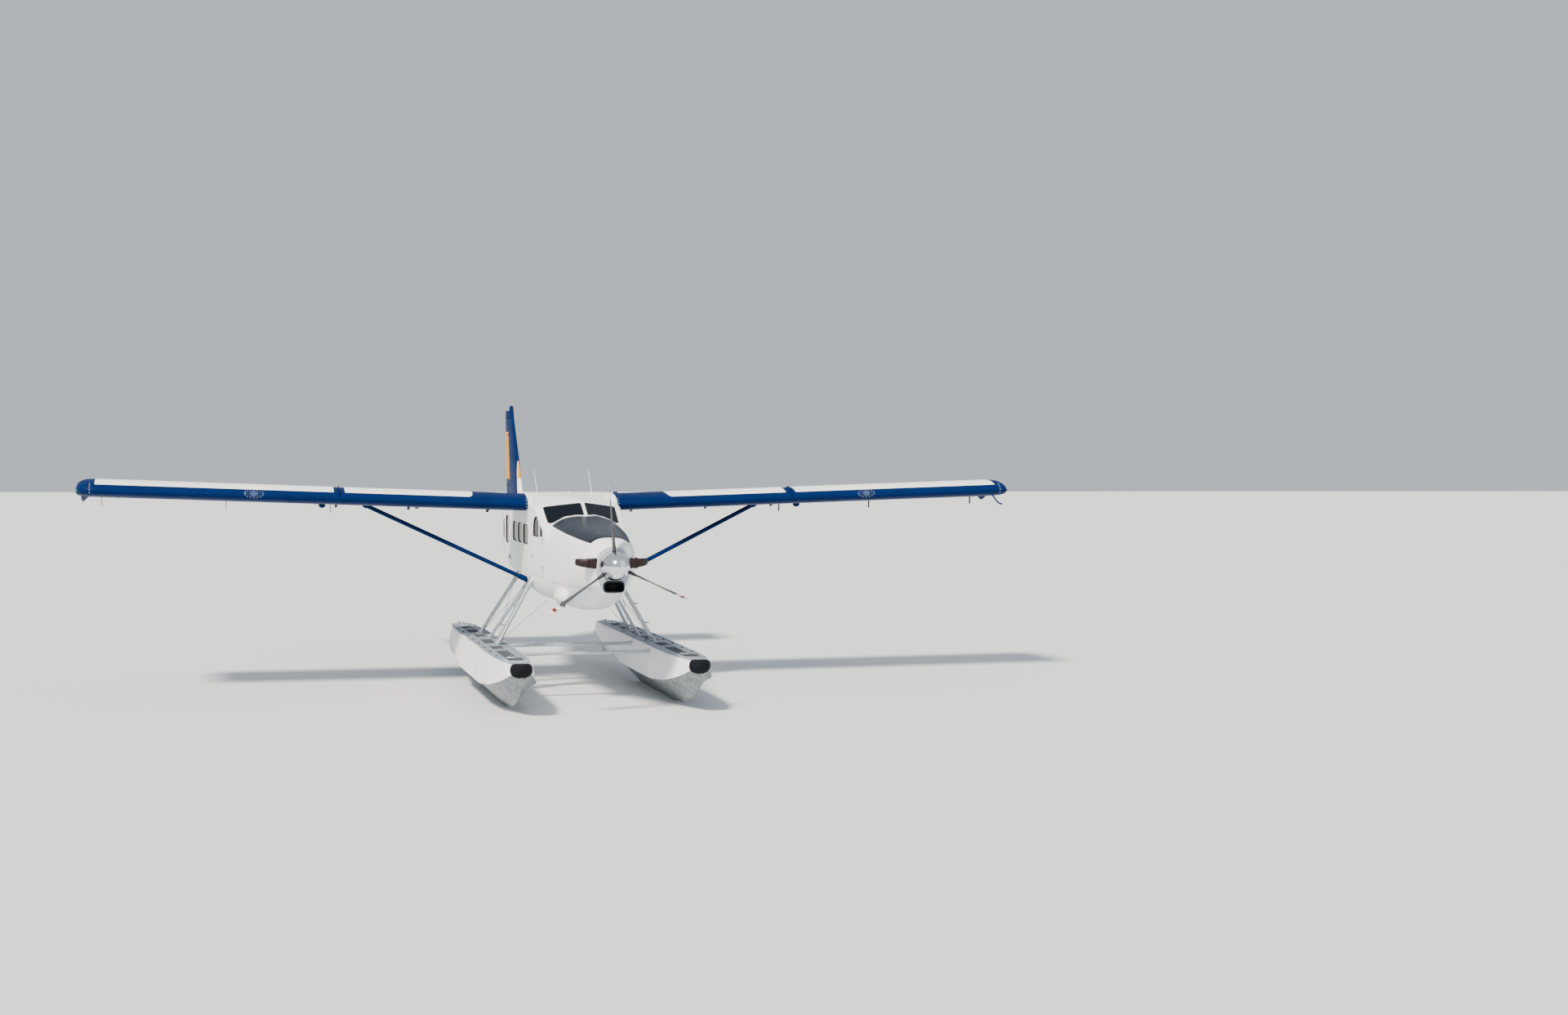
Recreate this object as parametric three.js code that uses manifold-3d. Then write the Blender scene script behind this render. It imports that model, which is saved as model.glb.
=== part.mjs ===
// Floatplane: a high-wing, strut-braced bush plane with one propeller turbine, parked on its two floats.
// Millimetres. +X is the aircraft's left side, +Y is aft and +Z is up.
// Stations (y) count aft from the wing root's leading edge and heights (z) count up from the float keels.
import * as THREE from "three";
import { mergeVertices } from "three/addons/utils/BufferGeometryUtils.js";
import Module from "manifold-3d";

const wasm = await Module();
wasm.setup();

// Driving dimensions
const GAP = 0.4;
const NOSE_TIP_Y = -4450;
const RUDDER_END_Y = 8850;
const HALF_SPAN = 8845;
const CHORD = 1980;
const WING_ROOT_X = 845;
const WING_EDGE_Z = 3495;
const WING_THICKNESS = 0.165;
const WING_CAMBER = 0.03;
const DIHEDRAL = THREE.MathUtils.degToRad(2);
const INCIDENCE = THREE.MathUtils.degToRad(2.5);
const WALL = 35;
const SKIN = 14;
const FIREWALL_Y = -1500;
const BULKHEAD_Y = 4300;
const FLOOR_Z = 2010;
const COWL_FRONT_Y = -3950;
const PROPELLER_AXIS_Z = 2590;
const PROPELLER_DISC_Y = -4110;
const PROPELLER_RADIUS = 1370;
const SPINNER_RADIUS = 250;
const FLOAT_X = 1540;
const DECK_Z = 920;
const STEP_Y = 1100;
const TAIL_SEMI_SPAN = 3230;
const TAIL_Z = 3320;
const ELEVATOR_HINGE_Y = 7480;
const ELEVATOR_END_Y = 8180;
const RUDDER_FOOT = { y: 7340, z: 2460 };
const RUDDER_HEAD = { y: 8210, z: 5200 };
const SIDES = { left: 1, right: -1 };

// Finishes
function paint(color, roughness, metalness = 0) {
  return new THREE.MeshStandardMaterial({ color, roughness, metalness });
}
const finishes = {
  white: paint(0xf2f3f4, 0.35),
  navy: paint(0x1b3a70, 0.32),
  aluminium: paint(0xb9bdc1, 0.38, 0.9),
  polished: paint(0xdfe2e6, 0.12, 1),
  darkMetal: paint(0x3a3530, 0.55, 0.8),
  bladeGrey: paint(0x4a4d50, 0.5, 0.3),
  rubber: paint(0x1a1a1b, 0.8),
  glass: paint(0x3d474f, 0.08),
  trim: paint(0x6d7074, 0.7),
  seat: paint(0x33373d, 0.85),
};

const aircraft = new THREE.Group();
aircraft.position.y = -(NOSE_TIP_Y + RUDDER_END_Y) / 2;

// Solids from closed geometry, and named meshes from solids
function solid(geometry) {
  geometry.deleteAttribute("normal");
  geometry.deleteAttribute("uv");
  const merged = mergeVertices(geometry, 1e-3);
  return fromArrays(merged.attributes.position.array, merged.index.array);
}

function fromArrays(positions, indices) {
  const vertProperties = new Float32Array(positions);
  const build = (order) =>
    new wasm.Manifold(
      new wasm.Mesh({ numProp: 3, vertProperties, triVerts: new Uint32Array(order) })
    );
  const made = build(indices);
  return made.volume() < 0 ? build([...indices].reverse()) : made;
}

function geometryOf(shape) {
  const data = shape.getMesh();
  const geometry = new THREE.BufferGeometry();
  geometry.setAttribute("position", new THREE.BufferAttribute(new Float32Array(data.vertProperties), 3));
  geometry.setIndex(new THREE.BufferAttribute(new Uint32Array(data.triVerts), 1));
  return geometry;
}

function addPart(name, shape, material) {
  const geometry = geometryOf(shape);
  geometry.computeVertexNormals();
  const mesh = new THREE.Mesh(geometry, material);
  mesh.name = name;
  aircraft.add(mesh);
  return shape;
}

// The same solid with each point pushed out along its normal, to cut running room in a neighbour
function grown(shape, room = GAP) {
  const geometry = geometryOf(shape);
  geometry.computeVertexNormals();
  const place = geometry.attributes.position;
  const normal = geometry.attributes.normal;
  for (let i = 0; i < place.count; i += 1) {
    place.setXYZ(
      i,
      place.getX(i) + normal.getX(i) * room,
      place.getY(i) + normal.getY(i) * room,
      place.getZ(i) + normal.getZ(i) * room
    );
  }
  return fromArrays(place.array, geometry.index.array);
}

function joined(shapes) {
  return shapes.reduce((whole, shape) => whole.add(shape));
}

// A closed solid through rings of points; every outline has the same number of points
function loft(rings) {
  const outline = rings[0].outline;
  const count = outline.length;
  const points = rings.flatMap((ring) => ring.outline.map((p) => ring.at(p)));
  const faces = [];
  for (let k = 0; k < rings.length - 1; k += 1) {
    for (let j = 0; j < count; j += 1) {
      const a = k * count + j;
      const b = k * count + ((j + 1) % count);
      faces.push(a, b, b + count, a, b + count, a + count);
    }
  }
  const last = (rings.length - 1) * count;
  THREE.ShapeUtils.triangulateShape(outline, []).forEach(([a, b, c]) => faces.push(a, c, b));
  THREE.ShapeUtils.triangulateShape(rings.at(-1).outline, []).forEach(([a, b, c]) =>
    faces.push(last + a, last + b, last + c)
  );
  return fromArrays(points.flatMap((p) => [p.x, p.y, p.z]), faces);
}

// Simple shapes: a box between two corners, a round rod between two points, and a plate along X or Z
function box(low, high) {
  const size = high.map((value, i) => value - low[i]);
  const geometry = new THREE.BoxGeometry(...size);
  geometry.translate(...low.map((value, i) => value + size[i] / 2));
  return solid(geometry);
}

function rod(start, end, radius, sides = 12, endRadius = radius) {
  const from = new THREE.Vector3(...start);
  const to = new THREE.Vector3(...end);
  const along = to.clone().sub(from);
  const geometry = new THREE.CylinderGeometry(endRadius, radius, along.length(), sides);
  geometry.applyQuaternion(
    new THREE.Quaternion().setFromUnitVectors(new THREE.Vector3(0, 1, 0), along.normalize())
  );
  const middle = from.add(to).multiplyScalar(0.5);
  geometry.translate(middle.x, middle.y, middle.z);
  return solid(geometry);
}

// A flat outline of [y, z] points carried from x0 to x1
function plateAlongX(points, x0, x1) {
  const outline = anticlockwise(points.map(([y, z]) => new THREE.Vector2(y, z)));
  return loft([x0, x1].map((x) => ({ outline, at: (p) => new THREE.Vector3(x, p.x, p.y) })));
}

function anticlockwise(points) {
  return THREE.ShapeUtils.isClockWise(points) ? [...points].reverse() : points;
}

// A rectangle with round corners, as [u, v] points
function roundRectangle(u0, u1, v0, v1, radius, steps = 4) {
  const corners = [
    { u: u1 - radius, v: v1 - radius, start: 0 },
    { u: u0 + radius, v: v1 - radius, start: 1 },
    { u: u0 + radius, v: v0 + radius, start: 2 },
    { u: u1 - radius, v: v0 + radius, start: 3 },
  ];
  return corners.flatMap(({ u, v, start }) =>
    Array.from({ length: steps + 1 }, (_, i) => {
      const angle = ((start + i / steps) * Math.PI) / 2;
      return [u + radius * Math.cos(angle), v + radius * Math.sin(angle)];
    })
  );
}

// Aerofoil outline from the trailing edge over the top to the nose and back below, in chord fractions
function aerofoil(thickness, camber, steps = 11) {
  const crest = 0.4;
  const taper = (x) => -0.126 * x - 0.3516 * x ** 2 + 0.2843 * x ** 3 - 0.1036 * x ** 4;
  const half = (x) => 5 * thickness * (0.2969 * Math.sqrt(x) + taper(x));
  const line = (x) =>
    x < crest
      ? (camber / crest ** 2) * (2 * crest * x - x * x)
      : (camber / (1 - crest) ** 2) * (1 - 2 * crest + 2 * crest * x - x * x);
  const stations = Array.from({ length: steps + 1 }, (_, i) => (1 + Math.cos((Math.PI * i) / steps)) / 2);
  const over = stations.map((x) => new THREE.Vector2(x, line(x) + half(x)));
  const under = stations.slice(1, -1).reverse().map((x) => new THREE.Vector2(x, line(x) - half(x)));
  return [...over, ...under];
}

// Body section: an oval with its own squareness above and below its widest height
function bodyRing({ y, w, top, mid, bottom, nTop, nBottom }, inset = 0, steps = 24) {
  const outline = Array.from({ length: steps }, (_, i) => {
    const angle = (2 * Math.PI * (i + 0.5)) / steps;
    const cos = Math.cos(angle);
    const sin = Math.sin(angle);
    const power = 2 / (sin > 0 ? nTop : nBottom);
    const height = sin > 0 ? top - mid - inset : mid - bottom - inset;
    return new THREE.Vector2(
      (w - inset) * Math.sign(cos) * Math.abs(cos) ** power,
      mid + height * Math.sign(sin) * Math.abs(sin) ** power
    );
  });
  return { outline, at: (p) => new THREE.Vector3(p.x, typeof y === "function" ? y(p.y) : y, p.y) };
}

function bodySolid(sections, inset = 0) {
  return loft(sections.map((section) => bodyRing(section, inset)));
}

// Engine cowl sections, from the front ring to the firewall
const cowlSections = [
  { y: COWL_FRONT_Y, w: 262, top: 2850, mid: 2590, bottom: 2110, nTop: 2, nBottom: 2 },
  { y: -3820, w: 345, top: 2960, mid: 2590, bottom: 2085, nTop: 2.3, nBottom: 2.1 },
  { y: -3600, w: 440, top: 3055, mid: 2590, bottom: 2070, nTop: 2.8, nBottom: 2.2 },
  { y: -3000, w: 545, top: 3125, mid: 2590, bottom: 1925, nTop: 3, nBottom: 2.2 },
  { y: -2300, w: 645, top: 3210, mid: 2600, bottom: 1720, nTop: 3, nBottom: 2.4 },
  { y: -1900, w: 690, top: 3265, mid: 2600, bottom: 1665, nTop: 2.8, nBottom: 2.6 },
  { y: FIREWALL_Y - 0.3, w: 735, top: 3325, mid: 2600, bottom: 1690, nTop: 2.6, nBottom: 3 },
];

// Cabin sections with the roof on top; the deck, the nose top below the windshield, shares the two first
const NOSE_DECK = { top: 3325, nTop: 2.6 };
const roofSections = [
  { y: FIREWALL_Y, w: 735, top: 3672, nTop: 8, mid: 2600, bottom: 1690, nBottom: 3 },
  { y: -150, w: 835, top: 3672, nTop: 11, mid: 2750, bottom: 1775, nBottom: 5 },
  { y: 900, w: 835, top: 3675, nTop: 11, mid: 2750, bottom: 1840, nBottom: 5 },
  { y: 2000, w: 832, top: 3665, nTop: 8, mid: 2760, bottom: 1915, nBottom: 5 },
  { y: 3300, w: 790, top: 3630, nTop: 6, mid: 2790, bottom: 2020, nBottom: 4.5 },
  { y: BULKHEAD_Y, w: 700, top: 3580, nTop: 5, mid: 2820, bottom: 2105, nBottom: 4 },
];
const deckSections = roofSections.slice(0, 2).map((section) => ({ ...section, ...NOSE_DECK }));

// Planes that cut the cabin top: the two windshield panes and the roof's slope above them
const windshieldSlope = {
  crown: new THREE.Vector3(0, -950, 3580),
  foot: new THREE.Vector3(0, -1400, 3325),
  lowCorner: new THREE.Vector3(670, -1150, 3150),
};
const roofSlope = {
  crown: new THREE.Vector3(0, -290, 3675),
  foot: new THREE.Vector3(0, -950, 3590),
  lowCorner: new THREE.Vector3(680, -450, 3515),
};

function outwardNormal({ crown, foot, lowCorner }, side) {
  const mirror = (p) => new THREE.Vector3(side * p.x, p.y, p.z);
  const a = mirror(crown);
  const normal = mirror(foot).sub(a).cross(mirror(lowCorner).sub(a)).normalize();
  return normal.z < 0 ? normal.negate() : normal;
}

// The block of air on the outer side of a plane, moved inwards by depth
function airAbove(plane, side, depth = 0) {
  const reach = 5000;
  const normal = outwardNormal(plane, side);
  const geometry = new THREE.BoxGeometry(2 * reach, 2 * reach, 2 * reach);
  geometry.translate(0, 0, reach - depth);
  geometry.applyQuaternion(new THREE.Quaternion().setFromUnitVectors(new THREE.Vector3(0, 0, 1), normal));
  geometry.translate(0, plane.crown.y, plane.crown.z);
  return solid(geometry);
}

function cabinBlock(inset, frontY = FIREWALL_Y) {
  let upper = bodySolid(roofSections, inset);
  for (const side of Object.values(SIDES)) {
    upper = upper.subtract(airAbove(windshieldSlope, side, inset));
    upper = upper.subtract(airAbove(roofSlope, side, inset));
  }
  const whole = upper.add(bodySolid(deckSections, inset));
  return frontY > FIREWALL_Y ? whole.subtract(box([-2000, -2000, 0], [2000, frontY, 5000])) : whole;
}

const cabinOuter = cabinBlock(0);
const cabinInner = cabinBlock(WALL, FIREWALL_Y + WALL).add(
  bodySolid([
    { ...roofSections.at(-1), y: BULKHEAD_Y - 1 },
    { ...roofSections.at(-1), y: BULKHEAD_Y + 50 },
  ], WALL)
);

// Side openings: doors swing on their front edges, windows are cut through and the rear pane is a recess
const DOOR_GAP = 6;
const DOOR_SWING_GAP = 14;
const HINGE_OUT = 22;
const doors = [
  {
    name: "cockpit_door", y0: -1180, y1: -280, z0: 2210, top: [3420, 3385, 3275, 3060],
    skinX: 759, hinges: [2390, 2890], windows: ["vent", "cockpit"],
  },
  {
    name: "cabin_door", y0: 2480, y1: 3430, z0: 2150, top: [3330, 3330, 3330, 3330],
    skinX: 816, hinges: [2400, 3080], windows: ["door"],
  },
];
const BAY_SILL_Z = 2745;
const BAY_TOP_Z = 3115;
const windows = [
  { name: "cockpit", points: archedWindow(-865, -430, 2930, 3300) },
  { name: "vent", points: [[-1140, 2940], [-965, 2940], [-965, 3145], [-1140, 3045]] },
  { name: "door", points: roundRectangle(2680, 3230, 2640, 3190, 110) },
  { name: "bay_1", points: roundRectangle(60, 640, BAY_SILL_Z, BAY_TOP_Z, 90) },
  { name: "bay_2", points: roundRectangle(780, 1330, BAY_SILL_Z, BAY_TOP_Z, 90) },
  { name: "bay_3", points: roundRectangle(1450, 2000, BAY_SILL_Z, BAY_TOP_Z, 90) },
];
const roundPane = roundRectangle(3640, 4060, 2680, 3100, 190, 5);
const PANE_RECESS = 15;

function archedWindow(y0, y1, z0, z1) {
  const radius = (y1 - y0) / 2;
  const arch = Array.from({ length: 9 }, (_, i) => {
    const angle = (Math.PI * i) / 8;
    return [(y0 + y1) / 2 + radius * Math.cos(angle), z1 - radius + radius * Math.sin(angle)];
  });
  return [[y0, z0], [y1, z0], ...arch];
}

// A door outline: straight sides and sill, and a top edge that follows the cabin's shoulder line
function doorOutline({ y0, y1, z0, top }, inset, swingInset = inset) {
  const low = y0 + inset;
  const high = y1 - swingInset;
  const edgeAt = [y1, y1 - (y1 - y0) * 0.31, y1 - (y1 - y0) * 0.58, y0];
  const crest = edgeAt.map((y, i) => [Math.min(high, Math.max(low, y)), top[i] - inset]);
  return [[low, z0 + inset], [high, z0 + inset], ...crest];
}

// Door hinges: a pin standing on a block of the shell, and a knuckle on the door that turns on it
function doorHinge({ y0, skinX, hinges }, side) {
  const axisX = side * (skinX + HINGE_OUT);
  const axisY = y0 + DOOR_GAP / 2;
  const across = (a, b) => [side * a, side * b].sort((p, q) => p - q);
  const upright = (z0, z1, radius) => rod([axisX, axisY, z0], [axisX, axisY, z1], radius, 12);
  const block = (x0, x1, ya, yb, z0, z1) => {
    const [low, high] = across(x0, x1);
    return box([low, ya, z0], [high, yb, z1]);
  };
  const fixed = hinges.flatMap((z) => [
    block(skinX - 25, skinX + 33, y0 - 60, y0 - 4, z - 58, z - 25.5),
    block(skinX + 10, skinX + 33, y0 - 20, axisY, z - 58, z - 25.5),
    upright(z - 58, z - 25.5, 12),
    upright(z - 40, z + 24, 7),
  ]);
  const moving = hinges.map((z) =>
    upright(z - 25, z + 25, 13)
      .add(block(skinX - 20, skinX + HINGE_OUT + 10, axisY + 5, y0 + 75, z - 25, z + 25))
      .subtract(upright(z - 60, z + 60, 7.6))
  );
  return { fixed: joined(fixed), moving: joined(moving) };
}

const sideReach = [500, 1200];
const ascending = (values) => [...values].sort((a, b) => a - b);
const sideCut = (points, side) => plateAlongX(points, ...ascending(sideReach.map((x) => side * x)));

// The windshield opening on one side, as a prism square to the glass
function windshieldPrism(side, inset, low, high) {
  const normal = outwardNormal(windshieldSlope, side);
  const corners = [
    new THREE.Vector3(30, -1365, 0),
    new THREE.Vector3(340, -1135, 0),
    new THREE.Vector3(590, -1160, 0),
    new THREE.Vector3(655, -1090, 0),
    new THREE.Vector3(672, -590, 0),
    new THREE.Vector3(350, -775, 0),
    new THREE.Vector3(30, -965, 0),
  ];
  const centre = corners.reduce((sum, p) => sum.clone().add(p)).divideScalar(corners.length);
  const outline = corners.map((p) => {
    const inwards = centre.clone().sub(p).setLength(inset);
    const moved = p.clone().add(inwards);
    return new THREE.Vector2(moved.x, moved.y);
  });
  const onGlass = (p, lift) => {
    const x = side * p.x;
    const crown = windshieldSlope.crown;
    const z = crown.z - (normal.x * x + normal.y * (p.y - crown.y)) / normal.z;
    return new THREE.Vector3(x, p.y, z).addScaledVector(normal, lift);
  };
  return loft([low, high].map((lift) => ({ outline, at: (p) => onGlass(p, lift) })));
}

function buildCabin() {
  let shell = cabinOuter.subtract(cabinInner);
  for (const [sideName, side] of Object.entries(SIDES)) {
    for (const door of doors) {
      const leaf = sideCut(doorOutline(door, DOOR_GAP, DOOR_SWING_GAP), side);
      let panel = cabinOuter.subtract(cabinInner).intersect(leaf);
      for (const window of windows.filter(({ name }) => door.windows.includes(name))) {
        panel = panel.subtract(sideCut(window.points, side));
      }
      const hinge = doorHinge(door, side);
      addPart(`${door.name}_${sideName}`, panel.add(hinge.moving), finishes.white);
      shell = shell.subtract(sideCut(doorOutline(door, 0), side)).add(hinge.fixed);
    }
    for (const window of windows.filter(({ name }) => name.startsWith("bay"))) {
      shell = shell.subtract(sideCut(window.points, side));
    }
    shell = shell.subtract(sideCut(roundPane, side).subtract(bodySolid(roofSections, PANE_RECESS)));
    shell = shell.subtract(windshieldPrism(side, 0, -2 * WALL, 20));
    const pane = windshieldPrism(side, GAP, -16, -6);
    addPart(`windshield_${sideName}`, pane, finishes.glass);
    const edge = [BAY_SILL_Z - 30, BAY_TOP_Z + 30];
    const glazing = sideCut([[20, edge[0]], [2040, edge[0]], [2040, edge[1]], [20, edge[1]]], side);
    const sheet = bodySolid(roofSections, WALL + GAP).subtract(bodySolid(roofSections, WALL + GAP + 6));
    addPart(`side_glass_${sideName}`, sheet.intersect(glazing), finishes.glass);
  }
  return addPart("cabin_shell", shell, finishes.white);
}

// Cabin floor, rear bulkhead, seats and the instrument panel on its pedestal
function buildInterior() {
  const innerRoom = (inset) => bodySolid(roofSections, WALL + inset);
  const floor = box([-820, FIREWALL_Y + WALL + GAP, FLOOR_Z - 25], [820, BULKHEAD_Y - 1, FLOOR_Z]);
  addPart("cabin_floor", floor.intersect(innerRoom(GAP)), finishes.trim);
  const frame = roofSections.at(-1);
  const bulkhead = bodySolid([{ ...frame, y: BULKHEAD_Y + GAP }, { ...frame, y: BULKHEAD_Y + 20 }]);
  addPart("cabin_bulkhead", bulkhead, finishes.trim);
  const panel = box([-560, -1040, 2700], [560, -1000, 3020]);
  const pedestal = box([-130, -1035, FLOOR_Z + GAP], [130, -800, 2710]);
  addPart("instrument_panel", panel.add(pedestal), finishes.trim);
  const seat = (x, y, width) => [
    box([x - width / 2, y - 230, 2300], [x + width / 2, y + 230, 2410]),
    box([x - width / 2 + 10, y + 170, 2400], [x + width / 2 - 10, y + 260, 2960]),
    box([x - width / 2 + 60, y - 180, FLOOR_Z + GAP], [x - width / 2 + 100, y + 200, 2310]),
    box([x + width / 2 - 100, y - 180, FLOOR_Z + GAP], [x + width / 2 - 60, y + 200, 2310]),
  ];
  for (const [sideName, side] of Object.entries(SIDES)) {
    addPart(`pilot_seat_${sideName}`, joined(seat(side * 380, -330, 460)), finishes.seat);
    const rowsAt = [600, 1300, 2000];
    const x = side * 380;
    const rows = rowsAt.flatMap((y) => seat(x, y, 420));
    const rail = box([x - 25, 400, FLOOR_Z + GAP], [x + 25, 2200, FLOOR_Z + 20]);
    const ties = rowsAt.map((y) => box([x - 140, y - 60, FLOOR_Z + GAP], [x + 140, y, FLOOR_Z + 20]));
    addPart(`cabin_seats_${sideName}`, joined([...rows, rail, ...ties]), finishes.seat);
  }
}

// Cowl shell with its shaft hole and intake mouth; the plain engine block stands on the firewall
const INTAKE = { half: 165, z0: 2145, z1: 2305 };

function buildNose() {
  const outer = bodySolid(cowlSections);
  const innerSections = cowlSections.map((s, i) => {
    const shift = i === 0 ? SKIN : i === cowlSections.length - 1 ? 40 : 0;
    return { ...s, y: s.y + shift };
  });
  const throughFront = [COWL_FRONT_Y - 50, COWL_FRONT_Y + 90];
  const shaftHole = rod(...throughFront.map((y) => [0, y, PROPELLER_AXIS_Z]), 70, 20);
  const mouth = box([-INTAKE.half, throughFront[0], INTAKE.z0], [INTAKE.half, throughFront[1], INTAKE.z1]);
  const shell = outer.subtract(bodySolid(innerSections, SKIN)).subtract(shaftHole).subtract(mouth);
  const exhausts = Object.values(SIDES).map((side) => exhaustStack(side));
  const cut = exhausts.reduce((body, pipe) => body.subtract(grown(pipe)), shell);
  const scoop = oilCoolerScoop();
  addPart("engine_cowl", cut, finishes.white);
  addPart("oil_cooler_scoop", scoop.subtract(grown(outer)), finishes.white);
  Object.keys(SIDES).forEach((name, i) => addPart(`exhaust_stack_${name}`, exhausts[i], finishes.darkMetal));

  const lip = { half: INTAKE.half + 22, z0: INTAKE.z0 - 22, z1: INTAKE.z1 + 18 };
  const lipRing = intakeFrame(lip, 60, -45, -GAP).subtract(intakeFrame(INTAKE, 40, -80, 40));
  addPart("intake_lip", lipRing, finishes.darkMetal);

  const block = box([-215, -3400, 2375], [215, -1900, 2805]);
  const gearbox = rod([0, -3700 + GAP, PROPELLER_AXIS_Z], [0, -3390, PROPELLER_AXIS_Z], 150, 20, 190);
  const mountAt = (x, z, spread) => rod([x * 180, -1910, z], [x * 330, FIREWALL_Y + 20, z + spread], 22, 8);
  const mounts = [-1, 1].flatMap((x) => [mountAt(x, 2420, -60), mountAt(x, 2760, 60)]);
  const behindFirewall = box([-900, FIREWALL_Y - GAP, 0], [900, 0, 5000]);
  const engine = joined([block, gearbox, ...mounts]).subtract(behindFirewall);
  addPart("engine_block", engine, finishes.darkMetal);
}

function intakeFrame({ half, z0, z1 }, radius, ...ends) {
  const outline = roundRectangle(-half, half, z0, z1, radius, 4).map(([x, z]) => new THREE.Vector2(x, z));
  return loft(ends.map((end) => ({ outline, at: (p) => new THREE.Vector3(p.x, COWL_FRONT_Y + end, p.y) })));
}

// Exhaust: an oval duct that leaves the cowl side and turns aft, taller at its root, open at its outer end
const EXHAUST = { half: 60, rootHigh: 92, endHigh: 56, wall: 8 };

function exhaustStack(side) {
  const bend = new THREE.QuadraticBezierCurve3(
    new THREE.Vector3(side * 250, -3850, 2620),
    new THREE.Vector3(side * 560, -3865, 2625),
    new THREE.Vector3(side * 600, -3730, 2648)
  );
  const duct = (inset, from, to) => {
    const count = 5;
    const outline = Array.from({ length: 12 }, (_, i) => {
      const angle = (2 * Math.PI * i) / 12;
      return new THREE.Vector2(Math.cos(angle), Math.sin(angle));
    });
    const rings = Array.from({ length: count + 1 }, (_, k) => {
      const t = from + ((to - from) * k) / count;
      const high = THREE.MathUtils.lerp(EXHAUST.rootHigh, EXHAUST.endHigh, t) - inset;
      const centre = bend.getPoint(Math.min(t, 1));
      const along = bend.getTangent(Math.min(t, 1));
      if (t > 1) {
        centre.addScaledVector(along, (t - 1) * 400);
      }
      const across = new THREE.Vector3(0, 0, 1).cross(along).setLength(EXHAUST.half - inset);
      return {
        outline,
        at: (p) => centre.clone().addScaledVector(across, p.x).add(new THREE.Vector3(0, 0, high * p.y)),
      };
    });
    return loft(rings);
  };
  return duct(0, 0, 1).subtract(duct(EXHAUST.wall, 0.7, 1.1));
}

// Oil cooler scoop: a round-nosed blister on the lower right of the cowl
function oilCoolerScoop() {
  const rings = [
    { y: -2440, radius: 45 },
    { y: -2415, radius: 84 },
    { y: -2370, radius: 110 },
    { y: -2250, radius: 135 },
    { y: -2000, radius: 145 },
    { y: -1800, radius: 110 },
    { y: -1620, radius: 40 },
  ];
  const count = 12;
  const outline = Array.from({ length: count }, (_, i) => {
    const angle = (2 * Math.PI * i) / count;
    return new THREE.Vector2(Math.cos(angle), Math.sin(angle));
  });
  return loft(
    rings.map(({ y, radius }) => ({
      outline,
      at: (p) => new THREE.Vector3(-560 + radius * p.x * 0.9, y, 1945 + radius * p.y),
    }))
  );
}

// Propeller: a spinner on its shaft and three blades whose shanks pass into it
function buildPropeller() {
  const dome = [[0, NOSE_TIP_Y], [60, -4440], [130, -4395], [190, -4320], [230, -4220], [248, -4100]];
  const plate = [[SPINNER_RADIUS, -3965], [45, -3965], [45, -3700], [0, -3700]];
  const profile = [...dome, ...plate].map(([r, y]) => new THREE.Vector2(r, y));
  const turned = new THREE.LatheGeometry(profile, 20);
  turned.translate(0, 0, PROPELLER_AXIS_Z);
  const blades = [95, 215, 335].map((degrees) => bladeAt(THREE.MathUtils.degToRad(degrees)));
  const spinner = blades.reduce((body, blade) => body.subtract(grown(blade)), solid(turned));
  addPart("spinner", spinner, finishes.polished);
  blades.forEach((blade, i) => addPart(`propeller_blade_${i + 1}`, blade, finishes.bladeGrey));
}

// Blade stations, feathered as the propeller is left when parked:
// radius from the hub, chord, thickness ratio and twist from the disc plane in degrees
const bladeStations = [
  { r: 120, chord: 80, thick: 1, twist: 72 },
  { r: 250, chord: 76, thick: 0.9, twist: 75 },
  { r: 400, chord: 142, thick: 0.32, twist: 81 },
  { r: 620, chord: 220, thick: 0.14, twist: 88 },
  { r: 950, chord: 232, thick: 0.09, twist: 96 },
  { r: 1250, chord: 208, thick: 0.07, twist: 104 },
  { r: PROPELLER_RADIUS - 30, chord: 186, thick: 0.06, twist: 106 },
  { r: PROPELLER_RADIUS, chord: 140, thick: 0.06, twist: 106 },
];

function bladeAt(angle) {
  const outward = new THREE.Vector3(Math.cos(angle), 0, Math.sin(angle));
  const around = new THREE.Vector3(-Math.sin(angle), 0, Math.cos(angle));
  const count = 10;
  const outline = Array.from({ length: count }, (_, i) => {
    const turn = (2 * Math.PI * i) / count;
    return new THREE.Vector2(Math.cos(turn), Math.sin(turn));
  });
  return loft(
    bladeStations.map(({ r, chord, thick, twist }) => {
      const pitch = THREE.MathUtils.degToRad(twist);
      const chordwise = around.clone().multiplyScalar(Math.cos(pitch));
      chordwise.y += Math.sin(pitch);
      const flatwise = chordwise.clone().cross(outward);
      return {
        outline,
        at: (p) =>
          new THREE.Vector3(0, PROPELLER_DISC_Y, PROPELLER_AXIS_Z)
            .addScaledVector(outward, r)
            .addScaledVector(chordwise, (p.x * chord) / 2)
            .addScaledVector(flatwise, (p.y * chord * thick) / 2),
      };
    })
  );
}

// A point of the wing: chordwise and upward distances from the leading edge, at a span position
function wingPoint(side, x, chordwise, height) {
  const cos = Math.cos(INCIDENCE);
  const sin = Math.sin(INCIDENCE);
  const edgeZ = WING_EDGE_Z + (x - WING_ROOT_X) * Math.tan(DIHEDRAL);
  return new THREE.Vector3(side * x, chordwise * cos + height * sin, edgeZ - chordwise * sin + height * cos);
}

function alongWing(side, outline, x0, x1) {
  return loft([x0, x1].map((x) => ({ outline, at: (p) => wingPoint(side, x, p.x, p.y) })));
}

function chordOutline(points) {
  return anticlockwise(points.map(([c, h]) => new THREE.Vector2(c, h)));
}

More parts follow.
